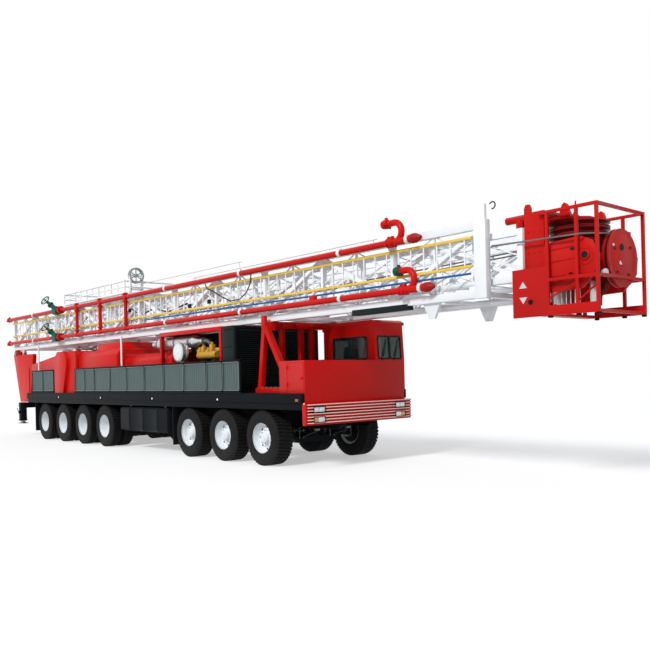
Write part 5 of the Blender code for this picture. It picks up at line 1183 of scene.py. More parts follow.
@dataclass
class Underbody(Maker):
    """Axles, bogies, springs, rails, tanks and jacks under the deck."""

    spring_y: float = 0.43
    spring_reach: float = 0.60
    leaf: float = 0.011
    leaves: int = 5
    jack: tuple[float, float] = (-10.22, 1.12)

    def springs(self, x: float, number: int) -> None:
        """The leaf packs of one front axle, with their clips and shackles.

        Args:
            x: the axle's place.
            number: its number from the front.
        """
        pack, clips = Shape(), Shape()
        for side in Side:
            y = side.value * self.spring_y
            for k in range(self.leaves):
                reach, low = self.spring_reach - 0.09 * k, 0.712 - (self.leaf + 0.002) * k
                marks = [reach * n / 4 for n in range(-4, 5)]
                upper = [(x + a, low - 0.085 * (1 - (a / self.spring_reach) ** 2)) for a in marks]
                lower = [(a, b - self.leaf) for a, b in reversed(upper)]
                pack.plate(upper + lower, Axis.Y, y - 0.048, y + 0.048)
            for shift in (-0.085, 0.085):
                for across in (-0.056, 0.056):
                    clips.bar((x + shift, y + across, 0.50), (x + shift, y + across, 0.70), 0.010, 8)
            clips.box((x - 0.12, y - 0.07, 0.655), (x + 0.12, y + 0.07, 0.675), 0.004)
            for shift in (-self.spring_reach, self.spring_reach):
                clips.drum(-0.062, 0.062, 0.028, Axis.Y, (x + shift, y, 0.712), 16)
        self.shop.put(f"leaf_springs_{number}", pack, BLACK)
        self.shop.put(f"spring_clips_{number}", clips, CAST)

    def build(self) -> None:
        """Makes everything under the deck."""
        shop = self.shop
        for k, x in enumerate(FRONT_AXLES):
            shop.softened(f"front_axle_{k + 1}", f"axle_beam_{k + 1}", BLACK, 0.010)
            self.springs(x, k + 1)
            for side in Side:
                body = f"knuckle_{side.word}_{k + 1}"
                shop.softened(body, f"{body}_forging", CAST, 0.006, body)
        for k in (1, 2):
            shop.softened(f"rear_bogie_{k}", f"bogie_beams_{k}", BLACK, 0.012)
        shop.softened("chassis_frame", "chassis_rails", BLACK, 0.004)
        for side in Side:
            self.jack_leg(side)
            self.tank(side)
        self.driveline()

    def jack_leg(self, side: Side) -> None:
        """A tail jack's foot and post, with the collars and crank of its case.

        Args:
            side: the side it is on.
        """
        body, out = f"jack_leg_{side.word}", side.value
        x, y = self.jack[0], out * self.jack[1]
        foot = [(0.40, 0.155), (0.408, 0.165), (0.425, 0.165), (0.436, 0.150), (0.450, 0.09), (0.47, 0.075)]
        post = Shape().spun(foot, Axis.Z, (x, y, 0), 36)
        post.box((x - 0.064, y - 0.064, 0.44), (x + 0.064, y + 0.064, 1.099), 0.008)
        self.shop.put(f"{body}_post", post, STEEL, body, body)
        trim = Shape()
        for z in (0.515, 1.02):
            trim.box((x - 0.115, y - 0.115, z), (x + 0.115, y + 0.115, z + 0.03), 0.005)
        cap = (x, y + out * 0.10 - (0.045 if out < 0 else 0), 0.80)
        trim.spun([(0, 0.05), (0.03, 0.05), (0.045, 0.035)], Axis.Y, cap, 20)
        trim.bar((x, y + out * 0.13, 0.80), (x - 0.21, y + out * 0.13, 0.93), 0.012, 10)
        self.shop.put(f"jack_trim_{side.word}", trim, BLACK)

    def tank(self, side: Side) -> None:
        """A fuel tank with its filler caps and pipe.

        Args:
            side: the side it is on.
        """
        tank, out = f"fuel_tank_{side.word}", side.value
        self.shop.softened(tank, f"{tank}_shell", BLACK, 0.012)
        caps = Shape()
        cap = [(1.10, 0.055), (1.135, 0.055), (1.142, 0.068), (1.165, 0.066), (1.172, 0.05)]
        for x in (-1.72, 0.12):
            caps.spun(cap, Axis.Z, (x, out * 1.22, 0), 24)
        pipe = ((-2.0, 1.30, 0.60), (-2.09, 1.30, 0.57), (-2.12, 1.2, 0.56), (-2.12, 0.7, 0.60))
        caps.tube([(x, out * y, z) for x, y, z in pipe], 0.014, 10)
        self.shop.put(f"{tank}_fittings", caps, CAST)

    def driveline(self) -> None:
        """Propeller shafts, brake chambers and air tanks."""
        shafts, tanks = Shape(), Shape()
        line = [*((x, 0.60) for x in reversed(REAR_AXLES)), (-0.2, 0.80), (2.2, 0.86)]
        for (a, low), (b, high) in zip(line, line[1:]):
            shafts.bar((a + 0.16, 0, low), (b - 0.16, 0, high), 0.045, 20)
            for x, z in ((a + 0.20, low), (b - 0.20, high)):
                shafts.drum(-0.04, 0.04, 0.075, Axis.X, (x, 0, z), 20)
        self.shop.put("propeller_shafts", shafts, CAST)
        ends = [(0, 0), (0.02, 0.07), (0.06, 0.11), (0.10, 0.12)]
        profile = ends + [(0.8 - a, r) for a, r in reversed(ends)]
        for x, z in ((-2.45, 0.62), (0.55, 0.58)):
            for y in (-0.21, 0.21):
                tanks.lathe(profile, Axis.X, (x, y, z), 28)
        pot = [(-0.10, 0.06), (-0.02, 0.078), (0.0, 0.088), (0.02, 0.078), (0.10, 0.07)]
        for x in REAR_AXLES:
            for y in (0.62, -0.62):
                tanks.lathe([(-0.10, 0), *pot, (0.11, 0)], Axis.X, (x - 0.18, y, 0.74), 24)
        self.shop.put("air_tanks", tanks, BLACK)


# Deck and its platforms


@dataclass
class DeckTrim(Maker):
    """The deck with its edge lamps, bolts and treads."""

    lamps: tuple[float, float, int] = (-6.13, 2.98, 4)
    bolts: tuple[float, float, int] = (-8.7, 0.4, 36)
    tread_pitch: float = 0.09

    def build(self) -> None:
        """Makes the deck's trim."""
        shop = self.shop
        shop.softened("deck", "deck_plate", BLACK, 0.004)
        bezel = Shape().spun([(0, 0.036), (0.008, 0.036), (0.014, 0.030)], Axis.Y, ORIGIN, 20)
        profile = [(0.010, 0), (0.010, 0.027), (0.018, 0.024), (0.024, 0.012), (0.026, 0)]
        lens = Shape().lathe(profile, Axis.Y, ORIGIN, 18)
        start, step, count = self.lamps
        edge = DECK_HALF - 0.004
        for name, part, finish in (("edge_lamp_rings", bezel, BLACK), ("edge_lamps", lens, CLEAR)):
            row = shop.on_line(part, (start, 0, 1.352), (step, 0, 0), count, name)
            shop.put(name, shop.paired(name, row, (0, edge, 0), (-3.32, -edge, 0)), finish)
        bolt = Shape().spun([(0, 0.013), (0.008, 0.013), (0.010, 0.008)], Axis.Y, ORIGIN, 6)
        start, step, count = self.bolts
        edge, rows = DECK_HALF - 0.002, []
        for z in (1.33, 1.455):
            row = shop.on_line(bolt, (start, 0, z), (step, 0, 0), count, "bolts")
            rows.append((shop.paired("bolts", row, (0, edge, 0), (-3.4, -edge, 0)), Matrix.Identity(4)))
        shop.put("deck_edge_bolts", shop.joined("bolts", rows), BLACK)
        tread = Shape().box((-0.028, -0.006, 0), (0.028, 0.006, 0.003))
        slant = Matrix.Rotation(math.radians(45), 4, "Z")
        bmesh.ops.transform(tread.bm, matrix=slant, verts=tread.bm.verts)
        patches = (("tail_treads", -7.7, 0.0, (1.6, 1.1)), ("nose_treads", 4.52, -0.7, (0.8, 1.1)))
        for name, x, y, size in patches:
            pads = shop.on_grid(tread, size, [int(side / self.tread_pitch) for side in size], name)
            pads.transform(Matrix.Translation((x, y, DECK_TOP)))
            shop.put(name, pads, BLACK)


@dataclass
class Platforms(Maker):
    """The four folded walkways: black frames, grey-green infill with upright ribs, and thin pale borders."""

    low: float = 1.500
    top: float = 2.205
    inner: float = 1.386
    outer: float = 1.436
    rail: float = 0.045
    border: float = 0.012
    rib_pitch: float = 0.085
    rear: tuple[float, ...] = (-8.44, -6.56)
    front: tuple[float, ...] = (-4.96, -3.61, -1.62, 0.36, 2.32, 3.67)

    def build(self) -> None:
        """Makes the four walkways on their own bodies."""
        for side in Side:
            self.walkway(f"platform_{side.word}_rear", side, self.rear)
            self.walkway(f"platform_{side.word}_front", side, self.front)

    def walkway(self, body: str, side: Side, stations: tuple[float, ...]) -> None:
        """One walkway.

        Args:
            body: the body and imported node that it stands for.
            side: the side it folds on.
            stations: its posts along X.
        """
        shop, rail, half = self.shop, self.rail, self.rail / 2
        start, end = stations[0], stations[-1]
        near, far = side.span(self.inner, self.outer)
        middle = (near + far) / 2
        frame = Shape()
        for z in (self.low, self.top - rail):
            frame.box((start, near, z), (end, far, z + rail), 0.005)
        posts = [start + half, *stations[1:-1], end - half]
        marks = posts + [(a + b) / 2 for a, b in zip(posts, posts[1:])]
        for x in marks:
            frame.box((x - half, near, self.low + 0.01), (x + half, far, self.top - 0.01), 0.004)
        hinge = (side.value * self.outer, 1.4998)
        frame.bar((start + rail, *hinge), (end - rail, *hinge), 0.014, 16)
        for x in marks:
            frame.drum(-0.05, 0.05, 0.0142, Axis.X, (x, *hinge), 16)
        shop.put(f"{body}_frame", frame, BLACK, body, body)
        low = (start + 0.02, middle - 0.004, self.low + 0.02)
        high = (end - 0.02, middle + 0.004, self.top - 0.02)
        shop.put(f"{body}_infill", Shape().box(low, high), MESH, body)
        shop.put(f"{body}_borders", self.borders(sorted(marks), near, far), BORDER_GREY, body)
        outline = [(-0.012, -0.010), (-0.006, -0.001), (0.006, -0.001), (0.012, -0.010)]
        rib = Shape().plate(outline, Axis.Z, self.low + rail + 0.013, self.top - rail - 0.013)
        count = int((end - start - 2 * rail) / self.rib_pitch)
        row = shop.on_line(rib, (start + rail + 0.04, 0, 0), (self.rib_pitch, 0, 0), count, "ribs")
        ribs = shop.paired("ribs", row, (0, middle + 0.010, 0), (start + end, middle - 0.010, 0))
        shop.put(f"{body}_ribs", ribs, MESH, body)

    def borders(self, marks: list[float], near: float, far: float) -> Shape:
        """A thin border round every bay, on both faces.

        Args:
            marks: the posts in order.
            near: the face at the lower Y.
            far: the face at the higher Y.

        Returns:
            The borders.
        """
        edge, line = Shape(), self.border
        low, high = self.low + self.rail, self.top - self.rail
        for a, b in zip(marks, marks[1:]):
            left, right = a + self.rail / 2, b - self.rail / 2
            for back, front in ((far - 0.003, far + 0.002), (near - 0.002, near + 0.003)):
                edge.box((left, back, low), (right, front, low + line))
                edge.box((left, back, high - line), (right, front, high))
                edge.box((left, back, low), (left + line, front, high))
                edge.box((right - line, back, low), (right, front, high))
        return edge


# Nose, cab and mast support


@dataclass
class Nose(Maker):
    """The locker, the striped bumper with its lamps, and the towing hooks."""

    face: float = 5.88
    ribs: int = 7
    low: float = 0.87
    top: float = 1.28
    lamp_y: float = 1.12
    lamp_half: float = 0.15
    lamp_rows: tuple[float, float] = (1.17, 0.975)

    def build(self) -> None:
        """Makes the nose."""
        shop, face = self.shop, self.face
        shop.softened("front_locker", "nose_locker", RED, 0.012)
        shop.softened("bumper", "bumper_beam", RED, 0.003)
        stripes = Shape()
        height, half = (self.top - self.low) / self.ribs, DECK_HALF - 0.03
        for k in range(self.ribs):
            z = self.low + (k + 0.62) * height
            stripes.box((face - 0.004, -half, z), (face + 0.003, half, z + height * 0.26), 0.001)
        shop.put("bumper_stripes", stripes, CREAM)
        self.lamps()
        hook = Shape()
        bend = ((5.80, 0.84), (5.85, 0.80), (5.86, 0.74), (5.82, 0.70), (5.76, 0.71), (5.74, 0.75))
        for y in (-0.43, 0.43):
            hook.box((5.70, y - 0.05, 0.80), (5.83, y + 0.05, 0.90), 0.01)
            hook.tube([(x, y, z) for x, z in bend], 0.022, 14)
        shop.put("towing_hooks", hook, BLACK)
        seams = Shape()
        for z in (1.50, 2.09):
            seams.box((5.20, -1.3725, z), (5.72, -1.368, z + 0.006))
        for x in (5.20, 5.714):
            seams.box((x, -1.3725, 1.50), (x + 0.006, -1.368, 2.096))
        for z in (1.62, 1.96):
            seams.drum(0, 0.07, 0.012, Axis.Z, (5.205, -1.376, z), 14)
        seams.box((5.62, -1.392, 1.76), (5.69, -1.368, 1.80), 0.006)
        seams.box((4.98, -1.33, 2.118), (5.74, -0.02, 2.126), 0.003)
        shop.put("locker_door", seams, RED)

    def lamps(self) -> None:
        """The bumper's lamps in their housings, and a marker on each side."""
        housings, white, amber, ruby = Shape(), Shape(), Shape(), Shape()
        face, half, (upper, lower) = self.face, self.lamp_half, self.lamp_rows
        for side in Side:
            y = side.value * self.lamp_y
            for z in self.lamp_rows:
                housings.box((face - 0.034, y - half, z - 0.06), (face - 0.012, y + half, z + 0.06), 0.004)
                for a in (-half, half - 0.012):
                    high = (face + 0.010, y + a + 0.012, z + 0.06)
                    housings.box((face - 0.02, y + a, z - 0.06), high, 0.003)
                for c in (-0.06, 0.048):
                    high = (face + 0.010, y + half, z + c + 0.012)
                    housings.box((face - 0.02, y - half, z + c), high, 0.003)
            for shape, one, two, z in (
                (white, -0.132, -0.004, upper),
                (white, 0.004, 0.132, upper),
                (amber, 0.03, 0.132, lower),
                (white, -0.132, 0.022, lower),
            ):
                near, far = side.span(self.lamp_y + one, self.lamp_y + two)
                shape.box((face - 0.02, near, z - 0.048), (face + 0.004, far, z + 0.048), 0.008)
            near, far = side.span(1.446, 1.462)
            ruby.box((5.56, near, 1.33), (5.65, far, 1.38), 0.005)
        for name, shape, finish in (
            ("lamp_housings", housings, DARK),
            ("headlamps", white, CLEAR),
            ("turn_lamps", amber, AMBER),
            ("side_markers", ruby, RUBY),
        ):
            self.shop.put(name, shape, finish)


@dataclass
class Cab(Maker):
    """The cab: painted shell, glass in rubber gaskets, wipers, door furniture, seat and wheel."""

    inner: float = 0.55
    rear: float = 4.10
    low: float = 2.15
    high: float = 2.62
    width: tuple[float, float] = (0.65, 1.32)
    hub: Point = (5.28, 0.98, 2.10)
    grip: float = 0.19

    def front_at(self, z: float) -> float:
        """The outer face of the raked front at a height."""
        return 5.7397 - 0.04 * max(z - self.low, 0.0) / 0.715

    def loop(self, shape: Shape, points: Sequence[Point], cut: float, radius: float = 0.015) -> None:
        """Adds a closed gasket round a window's four corners, with each corner rounded.

        Args:
            shape: what it is added to.
            points: the corners in order.
            cut: how far each corner is cut back.
            radius: the gasket's radius.
        """
        run = []
        for k, corner in enumerate(points):
            here = Vector(corner)
            back, away = (
                here + (Vector(points[n % len(points)]) - here).normalized() * cut for n in (k - 1, k + 1)
            )
            for share in (0.0, 0.33, 0.67, 1.0):
                run.append(tuple(back.lerp(here, share).lerp(here.lerp(away, share), share)))
        shape.tube(run + [run[0]], radius, 10)

    def build(self) -> None:
        """Makes the cab and its door."""
        shop, low, high = self.shop, self.low, self.high
        shop.softened("cab", "cab_shell", RED, 0.018)
        shop.softened("cab_door", "door_leaf", RED, 0.008, "cab_door")
        screen, glass, gasket, rim = Shape(), Shape(), Shape(), Shape()
        bottom, top = self.front_at(low) - 0.012, self.front_at(high) - 0.012
        for a, b in ((self.width[0], 0.975), (0.995, self.width[1])):
            pane = [(bottom, low), (bottom + 0.006, low), (top + 0.006, high), (top, high)]
            screen.plate(pane, Axis.Y, a, b)
            below, above = bottom + 0.014, top + 0.014
            self.loop(gasket, [(below, a, low), (below, b, low), (above, b, high), (above, a, high)], 0.045)
        glass.box((4.42, self.inner + 0.012, low), (5.50, self.inner + 0.018, high))
        self.loop(gasket, [(x, self.inner, z) for x, z in self.corners(4.42, 5.50)], 0.05)
        a, b = self.width
        glass.box((self.rear + 0.012, a, low), (self.rear + 0.018, b, high))
        self.loop(gasket, [(self.rear, y, z) for y, z in self.corners(a, b)], 0.05)
        shop.put("cab_screen", screen, SCREEN)
        shop.put("cab_glass", glass, GLASS)
        shop.put("cab_gaskets", gasket, HOSE)
        shop.put("door_glass", Shape().box((4.43, 1.392, low), (5.07, 1.398, high)), GLASS, "cab_door")
        self.loop(rim, [(x, 1.417, z) for x, z in self.corners(4.43, 5.07)], 0.045, 0.011)
        rim.box((4.36, 1.416, 1.98), (4.46, 1.437, 2.03), 0.008)
        rim.bar((4.38, 1.43, 1.955), (4.44, 1.43, 1.955), 0.008, 10)
        shop.put("door_furniture", rim, HOSE, "cab_door")
        self.fittings()
        self.inside()

    def corners(self, start: float, end: float) -> Outline:
        """A side window's corners, from the lower near one round."""
        return (start, self.low), (end, self.low), (end, self.high), (start, self.high)

    def fittings(self) -> None:
        """Wipers, roof gutter, rails and the vent on the roof."""
        shop, front = self.shop, self.front_at
        wipers, rails, roof, panel = Shape(), Shape(), Shape(), Shape()
        for y in (0.74, 1.10):
            x = front(2.13) + 0.012
            wipers.spun([(-0.02, 0.018), (0.012, 0.014)], Axis.X, (x, y, 2.115), 14)
            wipers.bar((x + 0.004, y, 2.115), (front(2.4) + 0.016, y + 0.13, 2.42), 0.006, 8)
            blade = (front(2.22) + 0.012, y + 0.02, 2.20), (front(2.56) + 0.014, y + 0.15, 2.56)
            wipers.bar(*blade, 0.008, 6)
        shop.put("wipers", wipers, HOSE)
        for x in (4.24, 5.27):
            rails.tube([(x, 1.42, 1.80), (x, 1.455, 1.82), (x, 1.455, 2.55), (x, 1.42, 2.57)], 0.012, 12)
        step = [(4.75, 1.41, 1.47), (4.75, 1.44, 1.42), (4.75, 1.44, 1.10)]
        step += [(5.10, 1.44, 1.10), (5.10, 1.44, 1.42), (5.10, 1.41, 1.47)]
        rails.tube(step, 0.014, 12)
        shop.put("cab_rails", rails, BLACK)
        roof.box((4.45, 0.80, 2.958), (5.10, 1.20, 2.972), 0.004)
        for y in (0.60, 1.37):
            roof.box((4.15, y - 0.006, 2.955), (5.62, y + 0.006, 2.972), 0.003)
        shop.put("cab_roof_trim", roof, RED)
        near, far = 0.5485, 0.552
        for a, b in ((1.52, 1.80), (1.82, 2.08)):
            panel.box((4.20, near, a), (5.60, far, a + 0.006))
            panel.box((4.20, near, b - 0.006), (5.60, far, b))
        for x in (4.20, 4.90, 5.594):
            panel.box((x, near, 1.52), (x + 0.006, far, 2.08))
        shop.put("cab_side_seams", panel, RED)

    def on_wheel(self, angle: float) -> Point:
        """A point on the steering wheel's tilted rim.

        Args:
            angle: the point's angle in radians.

        Returns:
            The point.
        """
        x, y, z = self.hub
        lean, rise = self.grip * math.cos(angle) * 0.93, self.grip * math.cos(angle) * 0.36
        return x + lean, y + self.grip * math.sin(angle), z + rise

    def inside(self) -> None:
        """The dashboard, steering wheel and sprung seat."""
        dash = Shape()
        outline = [(5.66, 1.80), (5.66, 2.12), (5.52, 2.14), (5.40, 2.04), (5.44, 1.80)]
        dash.plate(outline, Axis.Y, 0.62, 1.35)
        dash.bar((5.36, 0.98, 1.72), self.hub, 0.022, 14)
        dash.tube([self.on_wheel(t) for t in turns(28) + [2 * math.pi]], 0.012, 10)
        for t in turns(3, math.pi / 2):
            dash.bar(self.hub, self.on_wheel(t), 0.009, 8)
        dash.box((4.62, 0.82, 1.54), (5.02, 1.14, 1.78), 0.03)
        self.shop.put("cab_fittings", dash, DARK)
        self.pad("seat_cushion", (4.55, 0.74, 1.785), (5.08, 1.22, 1.90))
        self.pad("seat_back", (4.46, 0.76, 1.88), (4.60, 1.20, 2.48))

    def pad(self, name: str, low: Point, high: Point) -> None:
        """A crowned upholstered pad.

        Args:
            name: its name.
            low: its lowest corner.
            high: its highest corner.
        """
        shape = Shape()
        bmesh.ops.create_cube(shape.bm, size=1.0)
        bmesh.ops.subdivide_edges(shape.bm, edges=shape.bm.edges, cuts=5, use_grid_fill=True)
        for vert in shape.bm.verts:
            crown = max(1 - 0.10 * sum((2 * c) ** 6 for c in vert.co), 0.7)
            vert.co = Vector([(a + b) / 2 + (b - a) * c * crown for a, b, c in zip(low, high, vert.co)])
        made = self.shop.put(name, shape, VINYL)
        finer = made.modifiers.new("rounded", "SUBSURF")
        finer.levels = finer.render_levels = 1


@dataclass
class AFrame(Maker):
    """The mast support behind the cab, with pads on its beam, foot bolts and the steps up from the nose."""

    x: float = 3.96

    def build(self) -> None:
        """Makes the mast support."""
        shop, x = self.shop, self.x
        shop.softened("mast_support", "mast_support_frame", RED, 0.010)
        pads, steps = Shape(), Shape()
        for y in (-0.80, 0.80):
            pads.box((x - 0.10, y - 0.09, 2.80), (x + 0.10, y + 0.09, 2.992), 0.012)
        for y in (-0.55, -0.20, 0.25, 0.6):
            pads.spun([(0, 0.03), (0.06, 0.03), (0.07, 0.02)], Axis.X, (x + 0.06, y, 2.93), 16)
        shop.put("support_pads", pads, RED)
        bolt = Shape().spun([(0, 0.020), (0.016, 0.020), (0.022, 0.012)], Axis.Z, ORIGIN, 6)
        row = shop.on_line(bolt, (3.70, 0, 1.585), (0.16, 0, 0), 8, "foot_bolts")
        bolts = shop.joined("foot_bolts", [(row, Matrix.Translation((0, y, 0))) for y in (-0.99, -0.91)])
        shop.put("foot_bolts", bolts, CAST)
        for x, z in ((4.88, 1.62), (4.80, 1.88)):
            steps.box((x - 0.10, -0.70, z), (x + 0.06, -0.20, z + 0.03), 0.006)
            for y in (-0.72, -0.21):
                steps.box((x - 0.10, y, DECK_TOP), (x - 0.06, y + 0.03, z + 0.02), 0.004)
        shop.put("nose_steps", steps, RED)


# Engine bay and winches


@dataclass
class EngineBay(Maker):
    """Radiator, engine, canopy, silencer and air filter."""

    silencer: Point = (0.0, -0.95, 2.72)
    filter: Point = (0.92, 0.0, 2.46)

    def build(self) -> None:
        """Makes the engine bay."""
        shop = self.shop
        shop.softened("radiator", "radiator_core", DARK, 0.006)
        shop.softened("engine", "engine_block", ENGINE, 0.012)
        shop.softened("engine_canopy", "canopy_shell", RED, 0.02)
        slat = Shape().plate([(0, 0), (0.034, -0.022), (0.034, -0.018), (0, 0.005)], Axis.Y, -1.14, 1.14)
        shop.put("radiator_louvres", shop.on_line(slat, (3.10, 0, 1.62), (0, 0, 0.045), 29, "slats"), DARK)
        frame, shade_sheet, dark, trim = Shape(), Shape(), Shape(), Shape()
        for y in (-1.16, 0, 1.16):
            frame.box((3.095, y - 0.03, 1.55), (3.145, y + 0.03, 2.96), 0.006)
        for y in (-1.203, 1.203):
            for z in (1.70, 2.10, 2.50, 2.88):
                frame.box((2.72, y - 0.006, z), (3.04, y + 0.006, z + 0.02), 0.004)
        shop.put("radiator_frame", frame, BLACK)
        shop.put("engine_pipes", self.pipes(), ENGINE)
        # A dark sheet with ribs beside the engine, under the canopy: painted shade that fills the bay behind
        # the near-side parts.
        shade_sheet.box((-0.18, -0.32, 2.31), (2.55, -0.30, 2.93), 0.004)
        for k in range(9):
            shade_sheet.box((-0.10 + 0.31 * k, -0.335, 2.33), (-0.06 + 0.31 * k, -0.315, 2.91), 0.006)
        shop.put("heat_shield", shade_sheet, DARK)
        hose = [(0.9, -0.45, 1.72), (0.9, -0.98, 1.72), (1.05, -1.04, 1.78), (1.9, -1.04, 1.78)]
        dark.tube(hose + [(2.4, -0.9, 1.9), (2.66, -0.8, 1.9)], 0.03, 12)
        dark.tube([(2.30, -0.3, 2.25), (2.45, -0.3, 2.35), (2.66, -0.3, 2.45)], 0.045, 14)
        dark.spun([(0, 0.12), (0.06, 0.19), (0.18, 0.19), (0.22, 0.10)], Axis.Y, (1.30, -0.90, 2.12), 28)
        for x in (1.60, 1.84, 2.08):
            dark.spun([(1.66, 0.055), (1.90, 0.055), (1.92, 0.03)], Axis.Z, (x, -0.72, 0), 20)
        shop.put("engine_hoses", dark, HOSE)
        self.exhaust()
        self.air_filter()
        for x in (0.50, 1.21, 1.92):
            trim.box((x - 0.008, -0.55, 2.978), (x + 0.008, 0.55, 2.986), 0.002)
        for x in (0.0, 2.40):
            for y in (-0.42, 0.42):
                eye = arc((x, y, 2.985), 0.03, 160, 20, 5)
                trim.tube([(x - 0.05, y, 2.975), *eye, (x + 0.05, y, 2.975)], 0.008, 8)
        shop.put("canopy_trim", trim, RED)

    def pipes(self) -> Shape:
        """The engine's manifolds, covers, injectors and the cooler on its near side.

        Returns:
            The pipes and covers as one shape.
        """
        pipes = Shape()
        for x in (0.86 + 0.24 * k for k in range(6)):
            for y in (-0.36, 0.36):
                branch = [(x, y, 2.30), (x, y * 1.25, 2.36), (x, y * 1.5, 2.30), (x, y * 1.55, 2.20)]
                pipes.tube(branch, 0.035, 12)
                pipes.lathe([(0, 0), (0, 0.065), (0.05, 0.06), (0.06, 0)], Axis.Z, (x, y * 0.6, 2.32), 16)
        for y in (-0.56, 0.56):
            pipes.bar((0.78, y, 2.20), (2.16, y, 2.20), 0.05, 18)
        pipes.box((1.25, -0.62, 2.30), (2.20, -0.20, 2.52), 0.03)
        duct = [(1.30, -0.80, 2.26), (1.45, -0.84, 2.42), (1.70, -0.84, 2.50), (2.0, -0.80, 2.48)]
        pipes.tube(duct + [(2.20, -0.70, 2.38)], 0.05, 16)
        for x in (1.42, 1.66, 1.90, 2.14):
            pipes.spun([(0, 0.07), (0.09, 0.07), (0.11, 0.05)], Axis.Z, (x, -0.41, 2.52), 20)
            pipes.tube([(x, -0.60, 2.40), (x, -0.74, 2.44), (x, -0.82, 2.36)], 0.032, 12)
        cooler = [(1.16, 0.07), (1.20, 0.09), (1.92, 0.09), (1.96, 0.07)]
        pipes.spun(cooler, Axis.X, (0, -0.90, 2.37), 24)
        for x, high in ((1.22, 2.52), (1.40, 2.58), (1.60, 2.50), (1.78, 2.62)):
            pipes.box((x - 0.06, -0.96, 2.40), (x + 0.06, -0.84, high), 0.02)
            pipes.bar((x, -0.90, high), (x, -0.90, high + 0.05), 0.035, 14)
        return pipes

    def exhaust(self) -> None:
        """The silencer with its bands, feet and tail pipe."""
        can = [(-0.92, 0.07), (-0.72, 0.072), (-0.56, 0.15), (-0.53, 0.157), (-0.50, 0.15), (1.10, 0.15)]
        can += [(1.13, 0.157), (1.16, 0.15), (1.33, 0.072), (1.53, 0.07)]
        shape = Shape().spun(can, Axis.X, self.silencer, 48)
        self.shop.put("silencer_can", shape, ALLOY, replaces="silencer")
        bands, (_, y, z) = Shape(), self.silencer
        for x in (-0.5525, 0.305, 0.98):
            bands.hoop(0.03, 0.146, 0.158, Axis.X, (x, y, z), 40)
        for x, foot in ((-0.5525, 2.50), (0.305, DECK_TOP)):
            bands.box((x - 0.03, -0.89, foot), (x + 0.03, -0.83, z - 0.09), 0.005)
        bands.lathe([(1.50, 0.05), (1.50, 0.085), (1.545, 0.085), (1.545, 0.05)], Axis.X, self.silencer, 32)
        tail = [(1.52, y, z), (1.66, y, z - 0.01), (1.74, y + 0.10, z - 0.10), (1.74, y + 0.22, z - 0.30)]
        bands.tube(tail, 0.06, 16)
        self.shop.put("silencer_bands", bands, CAST)

    def air_filter(self) -> None:
        """The air filter's pot with its ring of clips, foot and lid."""
        pot = [(-1.34, 0.20), (-1.325, 0.235), (-1.29, 0.238), (-1.285, 0.225), (-1.22, 0.225)]
        can = Shape().spun(pot + [(-1.215, 0.238), (-1.17, 0.235)], Axis.Y, self.filter, 44)
        x, y, z = self.filter
        for clip in around((x, -1.339, z), 0.13, Axis.Y, turns(10)):
            can.block(clip, (0.012, 0.009, 0.012), 0.004)
        can.box((x - 0.04, -1.24, DECK_TOP), (x + 0.04, -1.18, z - 0.1), 0.005)
        self.shop.put("filter_pot", can, ALLOY, replaces="air_filter")
        rim = [(-1.352, 0.04), (-1.345, 0.05), (-1.345, 0.185), (-1.335, 0.195)]
        self.shop.put("filter_lid", Shape().spun(rim, Axis.Y, self.filter, 40), RIM)


@dataclass
class WinchHousings(Maker):
    """The red housings of the main drum, the sand drum and the gearbox."""

    top: float = 2.50
    post_y: float = -1.34

    def build(self) -> None:
        """Makes the housings, their covers and the white posts beside them."""
        shop, top = self.shop, self.top
        shop.softened("drum_housing", "drum_cowl", RED, 0.03)
        shop.softened("sand_drum_housing", "sand_cowl", RED, 0.03)
        shop.softened("gear_housing", "gear_case", RED, 0.02)
        trim, posts = Shape(), Shape()
        for x in (-2.30, -1.20, -0.10):
            trim.box((x - 0.02, -0.9, top - 0.002), (x + 0.02, 0.9, top + 0.012), 0.003)
        for x in (-1.8, -0.7):
            trim.box((x - 0.28, -0.45, top - 0.002), (x + 0.28, 0.45, top + 0.025), 0.01)
            trim.spun([(0, 0.07), (0.10, 0.07), (0.11, 0.05)], Axis.Z, (x, 0.2, top + 0.02), 24)
        for x, z in ((-6.2, 2.74), (-5.3, 2.74), (-4.8, 2.70), (-2.7, 2.90)):
            for y in (-0.5, 0.5):
                eye = arc((x, y, z + 0.02), 0.035, 170, 10, 6)
                trim.tube([(x - 0.06, y, z - 0.01), *eye, (x + 0.06, y, z - 0.01)], 0.010, 8)
        shop.put("housing_covers", trim, RED)
        bolt = Shape().spun([(0, 0.016), (0.010, 0.016), (0.014, 0.010)], Axis.Z, ORIGIN, 6)
        row = shop.on_line(bolt, (-2.36, 0, top - 0.001), (0.15, 0, 0), 16, "bolts")
        bolts = [(row, Matrix.Translation((0, y, 0))) for y in (-0.99, 0.99)]
        shop.put("housing_bolts", shop.joined("bolts", bolts), CAST)
        for x in (-8.02, -2.04):
            posts.bar((x, self.post_y, DECK_TOP), (x, self.post_y, 2.98), 0.024, 16)
            posts.spun([(2.97, 0.03), (3.0, 0.03), (3.01, 0.02)], Axis.Z, (x, self.post_y, 0), 16)
        shop.put("white_posts", posts, WHITE)
        shop.put("tail_post", Shape().bar((-9.8, -1.02, 1.39), (-9.8, -1.02, 2.34), 0.03, 16), RED)


# Mast


